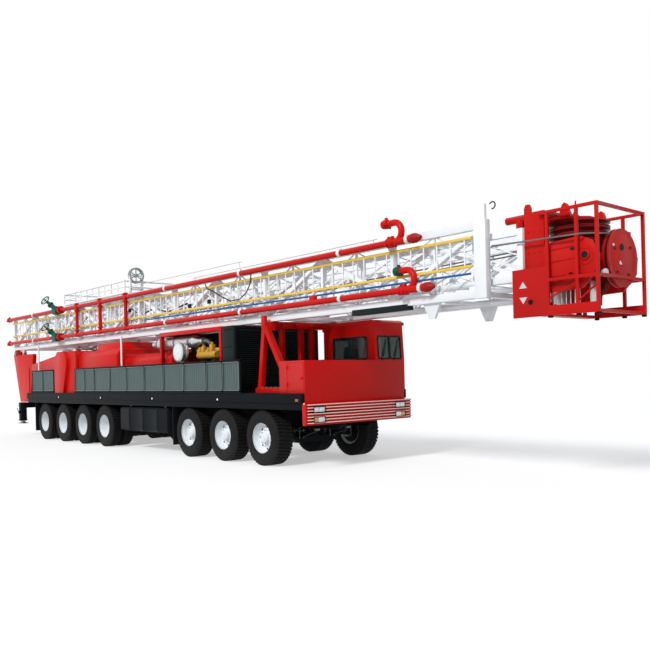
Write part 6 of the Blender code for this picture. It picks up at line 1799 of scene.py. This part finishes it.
@dataclass
class MastBase(Maker):
    """The forked base that the mast pivots on, and the raising cylinders."""

    pivot: tuple[float, float] = (-11.04, 2.88)
    cheek: float = 1.02
    cap: float = 0.035

    def build(self) -> None:
        """Makes the base, its pins and the cylinders."""
        self.shop.softened("mast_base", "base_fork", RED, 0.008)
        pins, (x, z) = Shape(), self.pivot
        for side in Side:
            low, _ = side.span(self.cheek, self.cheek + self.cap)
            pins.spun([(0, 0.085), (0.03, 0.085), (self.cap, 0.075)], Axis.Y, (x, low, z), 28)
            face = side.value * (self.cheek + self.cap) - 0.006
            for bolt in around((x, face, z), 0.055, Axis.Y, turns(6)):
                pins.drum(0, 0.012, 0.011, Axis.Y, bolt, 6)
        self.shop.put("pivot_caps", pins, CAST)
        cylinders = (("barrels", RED, 0.006), ("stages", STEEL, 0.003), ("rods", STEEL, 0.003))
        for word, finish, width in cylinders:
            self.shop.softened(f"raising_{word}", f"cylinder_{word}", finish, width, f"raising_{word}")


@dataclass(frozen=True)
class Lattice:
    """One truss pair of the mast, as its joints lie."""

    body: str
    rear: float
    front: float
    low: float
    top: float
    outer: float
    inner: float
    chord: float
    bays: int
    brace: float

    def joints(self) -> list[float]:
        """Where the posts and diagonals meet the chords."""
        start, end = self.rear + self.chord, self.front - self.chord
        return [start + (end - start) * k / self.bays for k in range(self.bays + 1)]

    def braces(self) -> Shape:
        """Thin members that halve each bay, inside the side trusses and across the floor.

        Returns:
            The members as one shape.
        """
        shape, marks, thin = Shape(), self.joints(), self.brace * 0.8
        y, floor = (self.outer + self.inner) / 2, self.low + 0.05
        low, top = self.low + self.chord * 0.8, self.top - self.chord * 0.8
        for a, b in zip(marks, marks[1:]):
            middle = (a + b) / 2
            for across in (y, -y):
                shape.bar((middle, across, low), (middle, across, top), self.brace, 4, True)
                for end in (a, b):
                    for z in (low, top):
                        shape.bar((end, across, (low + top) / 2), (middle, across, z), thin, 8)
            shape.bar((a, -y, floor), (middle, y, floor), thin, 8)
            shape.bar((middle, -y, floor), (middle, y, floor), thin, 8)
        return shape

    def gussets(self) -> Shape:
        """Joint plates on the outer faces of the side trusses.

        Returns:
            The plates as one shape.
        """
        shape = Shape()
        for x in self.joints()[1:-1]:
            for side in Side:
                faces = side.span(self.outer - 0.001, self.outer + 0.006)
                for edge, way in ((self.low + self.chord, 1), (self.top - self.chord, -1)):
                    wide, slim = edge - 0.03 * way, edge + 0.10 * way
                    outline = [(x - 0.13, wide), (x + 0.13, wide), (x + 0.05, slim), (x - 0.05, slim)]
                    shape.plate(outline, Axis.Y, *faces)
        return shape


LOWER = Lattice("lower_mast", -11.74, 9.71, 3.00, 4.22, 0.85, 0.75, 0.13, 11, 0.018)
UPPER = Lattice("upper_mast", -10.90, 10.27, 3.20, 4.02, 0.66, 0.58, 0.10, 12, 0.014)


@dataclass
class Mast(Maker):
    """The two lattice sections with their fine bracing, joint plates, lines and hoses."""

    line_y: float = -0.86

    def build(self) -> None:
        """Makes both sections and their lines."""
        shop, y = self.shop, self.line_y
        for lattice in (LOWER, UPPER):
            word = lattice.body
            shop.softened(word, f"{word}_lattice", WHITE, 0.008, word)
            shop.put(f"{word}_braces", lattice.braces(), WHITE, word)
            shop.put(f"{word}_gussets", lattice.gussets(), WHITE, word)
        ropes, guys, dark, hose = Shape(), Shape(), Shape(), Shape()
        for across in (-0.12, 0.16):
            ropes.tube(hung((-10.2, across, 3.62), (10.3, across, 3.78), 0.10, 20), 0.014, 8)
        lead = [(9.72, -0.70, 3.81), (10.48, -0.70, 3.79), (11.28, -0.70, 3.77), (11.37, -0.50, 3.785)]
        ropes.tube(lead + [(11.45, -0.18, 3.80)], 0.013, 10)
        shop.put("drilling_lines", ropes, ROPE, "upper_mast")
        line = Shape().bar((-1.5, -0.902, 3.415), (9.45, -0.902, 3.39), 0.019, 14)
        shop.put("blue_line", line, BLUE, "lower_mast")
        for start, end, z in ((0.9, 7.3, 4.262), (-2.6, 3.0, 4.40)):
            guys.bar((start, y, z), (end, y, z), 0.009, 8)
            for x in (start + 0.1, end - 0.1):
                guys.bar((x, -0.83, 4.20), (x, y, z), 0.007, 8)
        shop.put("guy_lines", guys, ALLOY, "lower_mast")
        dark.box((6.58, -0.858, 2.93), (8.01, -0.70, 3.03), 0.006)
        for x, z in ((-2.44, 3.74), (0.75, 3.60), (1.64, 3.63)):
            dark.box((x - 0.05, -0.905, z - 0.05), (x + 0.05, -0.85, z + 0.05), 0.012)
        shop.put("mast_clips", dark, DARK, "lower_mast")
        loop = [(1.54, 4.06), (1.60, 3.95), (1.95, 3.82), (2.25, 3.68), (2.60, 3.56), (2.95, 3.56)]
        loop += [(3.22, 3.68), (3.38, 3.86), (3.42, 4.05), (3.36, 4.15), (3.25, 4.18)]
        hose.tube([(x, -0.915, z) for x, z in loop], 0.013, 10)
        run = [(-2.9, 3.84), (-2.2, 3.62), (-1.5, 3.74), (-0.8, 3.58), (0.2, 3.72)]
        hose.tube([(x, -0.62, z) for x, z in run], 0.020, 10)
        hose.tube([(9.84, -0.83, 4.36), *arc((9.85, -0.83, 4.42), 0.055, -100, 150, 10)], 0.011, 8)
        shop.put("mast_hoses", hose, HOSE, "lower_mast")


@dataclass
class Ladder(Maker):
    """The long ladder: two yellow stiles with pale rungs."""

    rear: float = -11.74
    front: float = 9.46
    stiles: tuple[float, float] = (3.512, 3.968)
    y: float = -0.872
    rungs: int = 72

    def build(self) -> None:
        """Makes the ladder."""
        shop, stiles, (low, high) = self.shop, Shape(), self.stiles
        for z in self.stiles:
            stiles.box((self.rear, self.y - 0.014, z - 0.024), (self.front, self.y + 0.014, z + 0.024), 0.006)
        shop.put("ladder_stiles", stiles, YELLOW, "lower_mast", "ladder")
        rung = Shape().bar((0, self.y, low + 0.02), (0, self.y, high - 0.02), 0.013, 10)
        pitch = (self.front - self.rear) / self.rungs
        row = shop.on_line(rung, (self.rear + pitch / 2, 0, 0), (pitch, 0, 0), self.rungs, "rungs")
        shop.put("ladder_rungs", row, WHITE, "lower_mast")


@dataclass
class MudPipes(Maker):
    """Two mud pipes with goosenecks, hammer unions, manifold posts, clamps and gate valves."""

    y: float = -0.97
    rear: float = -11.88
    bend: float = 0.17
    radius: float = 0.058
    levels: Outline = ((3.26, 8.12), (4.12, 7.85))
    posts: tuple[float, ...] = (-5.78, -4.13, -2.49)
    clamps: tuple[float, ...] = (-9.40, -0.25, 3.09, 6.40)
    valves: Outline = ((-7.35, 3.26), (-7.30, 4.12))
    stem: Point = (-0.42, -0.36, 0.46)

    def union(self, shape: Shape, x: float, z: float) -> None:
        """Adds one hammer union with three lugs.

        Args:
            shape: what it is added to.
            x: its place along the pipe.
            z: the pipe's height.
        """
        profile = [(-0.05, 0.068), (-0.03, 0.085), (0.03, 0.085), (0.035, 0.075), (0.05, 0.07)]
        centre = (x, self.y, z)
        shape.spun(profile, Axis.X, centre, 28)
        inner, outer = (around(centre, r, Axis.X, turns(3, math.pi / 2)) for r in (0.07, 0.112))
        for start, end in zip(inner, outer):
            shape.bar(start, end, 0.022, 4, True)

    def build(self) -> None:
        """Makes the pipes and everything on them."""
        shop, y = self.shop, self.y
        red, plugs, green = Shape(), Shape(), Shape()
        low, high = self.levels[0][0], self.levels[1][0]
        for x, z in self.valves:
            red.drum(0.25, 0.31, 0.125, Axis.X, (x, y, z), 24)
        for z, front in self.levels:
            self.pipe(red, plugs, red if z > low else green, z, front)
        red.box((5.42, y + 0.03, low + 0.03), (5.60, y + 0.10, low + 0.15), 0.01)
        for x in self.posts:
            red.bar((x, y, low), (x, y, high + 0.06), 0.05, 24)
            for z in (low, high):
                red.drum(-0.10, 0.10, 0.072, Axis.X, (x, y, z), 28)
            red.spun([(0, 0.075), (0.03, 0.075), (0.05, 0.05)], Axis.Z, (x, y, high + 0.06), 24)
            for z in (low + 0.10, high - 0.14):
                red.drum(0, 0.045, 0.078, Axis.Z, (x, y, z), 24)
        shop.put("mud_pipes", red, RED, "lower_mast", "standpipes")
        shop.put("pipe_plugs", plugs, DEEP_RED, "lower_mast")
        clamps = Shape()
        for x in self.clamps:
            for z in (low, high):
                clamps.hoop(0.035, 0.04, 0.068, Axis.X, (x, y, z), 28)
                clamps.box((x - 0.035, y, z - 0.03), (x + 0.035, -0.855, z + 0.03), 0.005)
                clamps.box((x - 0.035, y - 0.03, z + 0.06), (x + 0.035, y + 0.03, z + 0.085), 0.005)
        for z, front in self.levels:
            clamps.hoop(0.03, 0.05, 0.082, Axis.X, (front + 0.32, y, z), 28)
        shop.put("pipe_clamps", clamps, WHITE, "lower_mast")
        wheels = Shape()
        for x, z in self.valves:
            self.valve(green, wheels, (x, y, z))
        shop.put("gate_valves", green, GREEN, "lower_mast")
        shop.put("valve_wheels", wheels, GREEN, "lower_mast")

    def pipe(self, red: Shape, plugs: Shape, tip: Shape, z: float, front: float) -> None:
        """One pipe with its gooseneck, plugged tee and unions.

        Args:
            red: what the pipe is added to.
            plugs: what its plugs are added to.
            tip: what the gooseneck's end is added to.
            z: its height.
            front: where its gooseneck starts.
        """
        y, back, top = self.y, front - self.bend, z + 2 * self.bend
        neck = arc((front, y, z + self.bend), self.bend, -80, 90, 14)
        red.tube([(self.rear, y, z), (front, y, z), *neck, (back, y, top)], self.radius, 28)
        self.union(red, front - 0.05, z)
        self.union(tip, back - 0.02, top)
        self.union(red, self.rear + 0.05, z)
        tip.spun([(-0.13, 0.04), (-0.10, 0.075), (0, 0.075)], Axis.X, (back, y, top), 28)
        red.tube([(front, y, z), (front + 0.44, y, z)], 0.066, 24)
        self.union(red, front - 0.14, z)
        plug = [(0.42, 0.085), (0.50, 0.085), (0.56, 0.06), (0.62, 0.03)]
        plugs.spun(plug, Axis.X, (front, y, z), 24)
        plugs.spun([(-0.045, 0.045), (0.06, 0.085)], Axis.X, (self.rear, y, z), 24)

    def valve(self, body: Shape, wheels: Shape, root: Point) -> None:
        """One gate valve with flanges, and a handwheel on its tilted stem.

        Args:
            body: what the valve is added to.
            wheels: what the stem and handwheel are added to.
            root: its place on the pipe.
        """
        x, y, z = root
        body.box((x - 0.15, y - 0.13, z - 0.13), (x + 0.15, y + 0.09, z + 0.13), 0.035)
        for a in (-0.24, 0.19):
            body.drum(0, 0.05, 0.115, Axis.X, (x + a, y, z), 24)
        way = Vector(self.stem).normalized()
        across = way.cross(Vector((0, 0, 1))).normalized()
        over = way.cross(across)
        for shape, start, end, radius, sides in (
            (body, 0.0, 0.30, 0.075, 20),
            (body, 0.28, 0.33, 0.10, 20),
            (body, 0.33, 0.44, 0.05, 16),
            (wheels, 0.42, 0.60, 0.020, 12),
        ):
            shape.bar(Vector(root) + way * start, Vector(root) + way * end, radius, sides)
        tip = Vector(root) + way * 0.54
        rim = [tip + across * (0.15 * math.cos(t)) + over * (0.15 * math.sin(t)) for t in turns(24)]
        wheels.tube(rim + rim[:1], 0.016, 10)
        for end in rim[1::6]:
            wheels.bar(tip, end, 0.012, 8)


@dataclass
class WorkingBoard(Maker):
    """The folded racking board: railed basket, grating, fingers, legs and the line reel."""

    rear: float = -7.27
    front: float = -2.94
    half: float = 0.755
    low: float = 4.27
    top: float = 4.65
    bays: int = 5
    fingers: int = 14
    centre: Point = (-2.86, -0.45, 4.78)

    def build(self) -> None:
        """Makes the board and its reel."""
        shop, rails, half = self.shop, Shape(), self.half
        edge = 0.025
        levels = ((self.low + edge, edge), ((self.low + self.top) / 2, 0.016), (self.top - edge, edge))
        for z, radius in levels:
            for y in (-half, half):
                rails.bar((self.rear, y, z), (self.front, y, z), radius, 14)
            for x in (self.rear + 0.025, self.front - 0.025):
                rails.bar((x, -half, z), (x, half, z), radius, 14)
        for k in range(self.bays * 2 + 1):
            x = self.rear + 0.025 + (self.front - self.rear - 0.05) * k / (self.bays * 2)
            for y in (-half, half):
                rails.bar((x, y, self.low + 0.02), (x, y, self.top - 0.02), 0.014 if k % 2 else 0.022, 12)
        for x in (-6.70, -3.41):
            for y in (-0.62, 0.62):
                rails.box((x - 0.05, y - 0.04, UPPER.top), (x + 0.05, y + 0.04, self.low + 0.01), 0.006)
        for x in (self.rear + 0.4 + 0.27 * k for k in range(self.fingers)):
            rails.bar((x, -0.70, 4.315), (x, 0.70, 4.315), 0.02, 10)
        shop.put("board_rails", rails, WHITE, "upper_mast", "working_board")
        slat = Shape().box((-0.004, -0.74, 4.272), (0.004, 0.74, 4.30))
        row = shop.on_line(slat, (self.rear + 0.06, 0, 0), (0.056, 0, 0), 76, "grating")
        shop.put("board_grating", row, WHITE, "upper_mast")
        self.reel()

    def reel(self) -> None:
        """The line reel on its stand."""
        centre, stand = self.centre, Shape()
        x, _, z = centre
        rim = [(-0.05, 0.180), (-0.05, 0.225), (-0.035, 0.225), (-0.03, 0.204)]
        rim += [(-a, r) for a, r in reversed(rim)]
        wheel = Shape().lathe(rim, Axis.X, centre, 48).drum(-0.06, 0.06, 0.05, Axis.X, centre, 20)
        for end in around(centre, 0.185, Axis.X, turns(6, math.pi / 6)):
            wheel.bar(centre, end, 0.014, 10)
        self.shop.put("reel_wheel", wheel, REEL_GREY, "upper_mast")
        near, far = -0.63, -0.27
        for y in (near, far):
            stand.box((x - 0.03, y - 0.03, UPPER.top), (x + 0.03, y + 0.03, z), 0.006)
        stand.bar((x, near, z), (x, far, z), 0.025, 14)
        stand.box((x - 0.03, near, 4.365), (x + 0.03, far, 4.425), 0.005)
        stand.box((-2.99, -0.66, 4.27), (x, -0.60, 4.32), 0.005)
        self.shop.put("reel_stand", stand, WHITE, "upper_mast")


@dataclass
class Crown(Maker):
    """The crown block: body, sheaves, disc, cage and sign plate."""

    stack: tuple[float, float] = (3.638, 4.062)
    sheaves: int = 4
    disc: Point = (11.45, 0.11, 3.46)
    bearing: tuple[float, float] = (11.30, 3.475)

    def put(self, name: str, shape: Shape, finish: Finish) -> None:
        """Puts a piece on the upper section."""
        self.shop.put(name, shape, finish, "upper_mast")

    def build(self) -> None:
        """Makes the crown."""
        shop, (low, high) = self.shop, self.stack
        shop.softened("crown_frame", "crown_body", CROWN_RED, 0.006, "upper_mast")
        pitch = (high - low) / self.sheaves
        groove = [(0.006, 0.452), (0.012, 0.46), (0.024, 0.46), (0.036, 0.405)]
        outline = [(low - 0.03, 0.05), (low, 0.05)]
        for z in (low + pitch * k for k in range(self.sheaves)):
            outline += [(z + a, r) for a, r in groove] + [(z + pitch / 2, 0.392)]
            outline += [(z + pitch - a, r) for a, r in reversed(groove)]
        stack = Shape().spun(outline + [(high, 0.05), (high + 0.03, 0.05)], Axis.Z, (10.85, 0, 0), 96)
        shop.put("sheave_stack", stack, MAROON, "crown_sheaves", "crown_sheaves")
        wheel = [(-0.045, 0.07), (-0.02, 0.09), (-0.02, 0.27), (-0.045, 0.30), (-0.045, 0.34), (-0.03, 0.34)]
        wheel += [(0.0, 0.30)] + [(-a, r) for a, r in reversed(wheel)]
        sheave = Shape().spun(wheel, Axis.Y, (10.93, 0.10, 3.20), 64)
        shop.put("line_sheave", sheave, MAROON, "fast_sheave", "fast_sheave")
        self.front_disc()
        self.furniture()

    def front_disc(self) -> None:
        """The upright disc at the front, with its grooved rim and painted shade in the groove, bolts and
        lugs, and the side brackets.
        """
        x, y, z = self.disc
        face = [(-0.052, 0.434), (-0.035, 0.436), (-0.02, 0.408), (0.012, 0.408), (0.026, 0.436)]
        face += [(0.052, 0.434), (0.052, 0.36), (0.046, 0.352), (0.046, 0.14), (0.052, 0.135), (0.058, 0.10)]
        self.put("front_disc", Shape().spun(face, Axis.X, self.disc, 72), CROWN_RED)
        dark, spot, lugs, plates = Shape(), Shape(), Shape(), Shape()
        dark.spun([(0.05, 0.055), (0.085, 0.05)], Axis.X, (x - 0.02, y - 0.04, z + 0.155), 6)
        for a, b in ((-0.24, 0.12), (0.22, 0.17), (0.16, -0.24), (-0.18, -0.22)):
            dark.spun([(0.04, 0.022), (0.062, 0.020)], Axis.X, (x, y + a, z + b), 6)
        spot.drum(0.05, 0.0575, 0.034, Axis.X, (x, y - 0.075, z - 0.075), 20)
        spot.drum(0.05, 0.060, 0.018, Axis.X, (x, y - 0.28, z + 0.17), 16)
        spot.spun([(0.03, 0.05), (0.06, 0.062), (0.09, 0.058)], Axis.X, (x - 0.02, -0.413, 3.203), 28)
        self.put("disc_spots", spot, WHITE)
        for _, across, up in around(self.disc, 0.41, Axis.X, (math.radians(62), math.radians(-52))):
            lugs.box((x - 0.03, across - 0.02, up - 0.02), (x + 0.06, across + 0.045, up + 0.045), 0.008)
        lugs.bar((11.47, -0.20, 3.27), (11.47, -0.40, 3.205), 0.020, 10)
        self.put("disc_lugs", lugs, CROWN_RED)
        for side in Side:
            self.bracket(side, dark, plates)
        # A dark ring laid in the rim's groove: painted shade in the groove.
        groove = [(-0.018, 0.395), (-0.018, 0.412), (0.010, 0.412), (0.010, 0.395)]
        self.put("bracket_ribs", plates, CROWN_RED)
        self.put("disc_bolts", dark, DARK)
        self.put("disc_groove", Shape().lathe(groove, Axis.X, self.disc, 72), DARK)

    def bracket(self, side: Side, dark: Shape, plates: Shape) -> None:
        """The ribs, bearing ring and bolts on one side bracket.

        Args:
            side: the side it is on.
            dark: what its dark parts are added to.
            plates: what its red parts are added to.
        """
        (x, z), near, far = self.bearing, *side.span(0.598, 0.609)
        dark.drum(-0.006, 0.006, 0.05, Axis.Y, (x, side.value * 0.6255, z), 28)
        for low in (3.60, 3.42, 3.20):
            outline = [(10.64, low), (11.16, low + 0.03), (11.16, low + 0.05), (10.64, low + 0.02)]
            plates.plate(outline, Axis.Y, near, far)
        plates.plate([(10.70, 3.02), (11.20, 3.30), (11.20, 3.33), (10.70, 3.05)], Axis.Y, near, far)
        plates.hoop(0.004, 0.085, 0.14, Axis.Y, (x, side.value * 0.603, z), 36)
        for bolt in around((x, side.value * 0.608, z), 0.115, Axis.Y, turns(6)):
            plates.drum(-0.006, 0.006, 0.012, Axis.Y, bolt, 6)
        dark.box((11.06, near - 0.003, 3.575), (11.14, far + 0.003, 3.61), 0.001)

    def furniture(self) -> None:
        """Cage feet, sign plate details, the finial, and the grille behind the near side."""
        black, pale, red = Shape(), Shape(), Shape()
        for x in (10.74, 11.21, 11.53):
            for y in (-0.66, 0.66):
                black.block((x, y, 2.616), (0.03, 0.03, 0.016), 0.006)
        black.spun([(-0.015, 0.035), (0, 0.04)], Axis.Y, (10.42, -0.6995, 2.86), 20)
        for z, lean in ((3.08, 1), (2.94, -1)):
            pale.plate([(10.22, z), (10.36, z), (10.29, z + 0.10 * lean)], Axis.Y, -0.7015, -0.699)
        for x in (10.66 + 0.075 * k for k in range(7)):
            pale.bar((x, -0.46, 2.80), (x, -0.46, 3.55), 0.010, 8)
        pale.box((10.63, -0.44, 2.82), (10.66, 0.40, 3.50), 0.004)
        pale.box((11.24, -0.40, 2.80), (11.26, -0.16, 3.12), 0.004)
        red.bar((11.10, -0.50, 3.62), (11.10, -0.50, 4.30), 0.012, 10)
        finial = [(4.06, 0), (4.06, 0.05), (4.12, 0.05), (4.17, 0.012), (4.20, 0)]
        red.lathe(finial, Axis.Z, (10.95, -0.30, 0), 16)
        ear = [(10.84, 4.10), (11.04, 4.10), (10.98, 4.27), (10.94, 4.30), (10.90, 4.27)]
        for y in (-0.52, 0.52):
            red.plate(ear, Axis.Y, y - 0.03, y + 0.03)
        red.bar((10.74, -0.66, 2.90), (11.21, -0.66, 3.10), 0.014, 10)
        red.bar((11.21, -0.66, 2.82), (11.53, -0.66, 3.05), 0.014, 10)
        for z in (3.58, 4.108):
            for turn in (math.pi * (k / 7 - 0.5) for k in range(8)):
                bolt = (10.85 + 0.24 * math.cos(turn), 0.52 * math.sin(turn), z)
                red.drum(0, 0.012, 0.016, Axis.Z, bolt, 6)
        for z in (2.98, 3.30, 3.62, 3.94):
            for x in (10.34, 10.44, 10.54):
                red.drum(0, -0.010, 0.014, Axis.Y, (x, -0.6, z), 6)
        self.put("cage_feet", black, BLACK)
        self.put("crown_grille", pale, ALLOY)
        self.put("crown_fixings", red, CROWN_RED)


# Studio


@dataclass
class Studio:
    """Camera, sun, sky and floor."""

    palette: Palette
    eye: Point = (17.318, -10.574, 1.826)
    heading: float = 48.149
    pitch: float = 0.171
    roll: float = -1.4
    lens: float = 42.28
    sensor: float = 36.0
    reach: float = 500.0
    shift: tuple[float, float] = (-0.02744, 0.0731)
    sun: Point = (0.20, -0.86, 0.68)
    sun_strength: float = 2.6
    sun_angle: float = 14.0
    sky_colour: tuple[float, ...] = (0.92, 0.96, 1.0, 1.0)
    sky_strength: float = 0.48
    floor_half: float = 150.0

    def build(self) -> None:
        """Makes the camera first, then the light, the sky and the floor."""
        scene = bpy.context.scene
        scene.view_settings.view_transform = "Standard"
        turn, rise, bank = (math.radians(a) for a in (self.heading, self.pitch, self.roll))
        ahead = Vector((-math.sin(turn) * math.cos(rise), math.cos(turn) * math.cos(rise), math.sin(rise)))
        right = Vector((math.cos(turn), math.sin(turn), 0))
        top = right.cross(ahead)
        over = right * math.cos(bank) + top * math.sin(bank)
        up = top * math.cos(bank) - right * math.sin(bank)
        camera = bpy.data.objects.new("camera", bpy.data.cameras.new("camera"))
        camera.matrix_world = Matrix.Translation(self.eye) @ Matrix((over, up, -ahead)).transposed().to_4x4()
        camera.data.lens = self.lens
        camera.data.sensor_width = self.sensor
        camera.data.shift_x, camera.data.shift_y = self.shift
        camera.data.clip_end = self.reach
        scene.collection.objects.link(camera)
        scene.camera = camera
        light = bpy.data.lights.new("sun", "SUN")
        light.energy = self.sun_strength
        light.angle = math.radians(self.sun_angle)
        lamp = bpy.data.objects.new("sun", light)
        lamp.rotation_mode = "QUATERNION"
        lamp.rotation_quaternion = Vector(self.sun).to_track_quat("Z", "Y")
        scene.collection.objects.link(lamp)
        self.sky(scene)
        half = self.floor_half
        mesh = Shape().box((-half, -half, -0.02), (half, half, 0)).mesh("floor")
        mesh.materials.append(self.palette.get(FLOOR))
        floor = bpy.data.objects.new("floor", mesh)
        scene.collection.objects.link(floor)

    def sky(self, scene: bpy.types.Scene) -> None:
        """An even pale sky that the camera, reflections and glass see as white.

        Args:
            scene: the scene it lights.
        """
        world = bpy.data.worlds.new("sky")
        world.use_nodes = True
        scene.world = world
        tree = world.node_tree
        tree.nodes.clear()

        def output(kind: str, settings: dict, inputs: dict) -> bpy.types.NodeSocket:
            """Adds a node and hands its first output back."""
            return add_node(tree, kind, settings, inputs).outputs[0]

        rays = tree.nodes.new("ShaderNodeLightPath").outputs
        white = output("ShaderNodeBackground", {}, {"Color": (1.0, 1.0, 1.0, 1.0)})
        pale = output("ShaderNodeBackground", {}, {"Color": self.sky_colour, "Strength": self.sky_strength})
        seen = {0: rays["Is Camera Ray"], 1: rays["Is Glossy Ray"]}
        seen = {0: output("ShaderNodeMath", {"operation": "ADD"}, seen), 1: rays["Is Transmission Ray"]}
        share = output("ShaderNodeMath", {"operation": "ADD", "use_clamp": True}, seen)
        mixed = output("ShaderNodeMixShader", {}, {0: share, 1: pale, 2: white})
        add_node(tree, "ShaderNodeOutputWorld", {}, {0: mixed})


def main() -> None:
    """Builds the rig's looks in order."""
    logging.basicConfig(level=logging.INFO, format="%(message)s")
    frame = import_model()
    palette = Palette()
    Studio(palette).build()
    shop = Workshop(frame, palette)
    makers = (Wheels, Underbody, DeckTrim, Platforms, Nose, Cab, AFrame, EngineBay, WinchHousings)
    for maker in makers + (MastBase, Mast, Ladder, MudPipes, WorkingBoard, Crown):
        maker(shop).build()
    log.info("triangles added: %d", shop.triangles)


if __name__ == "__main__":
    main()
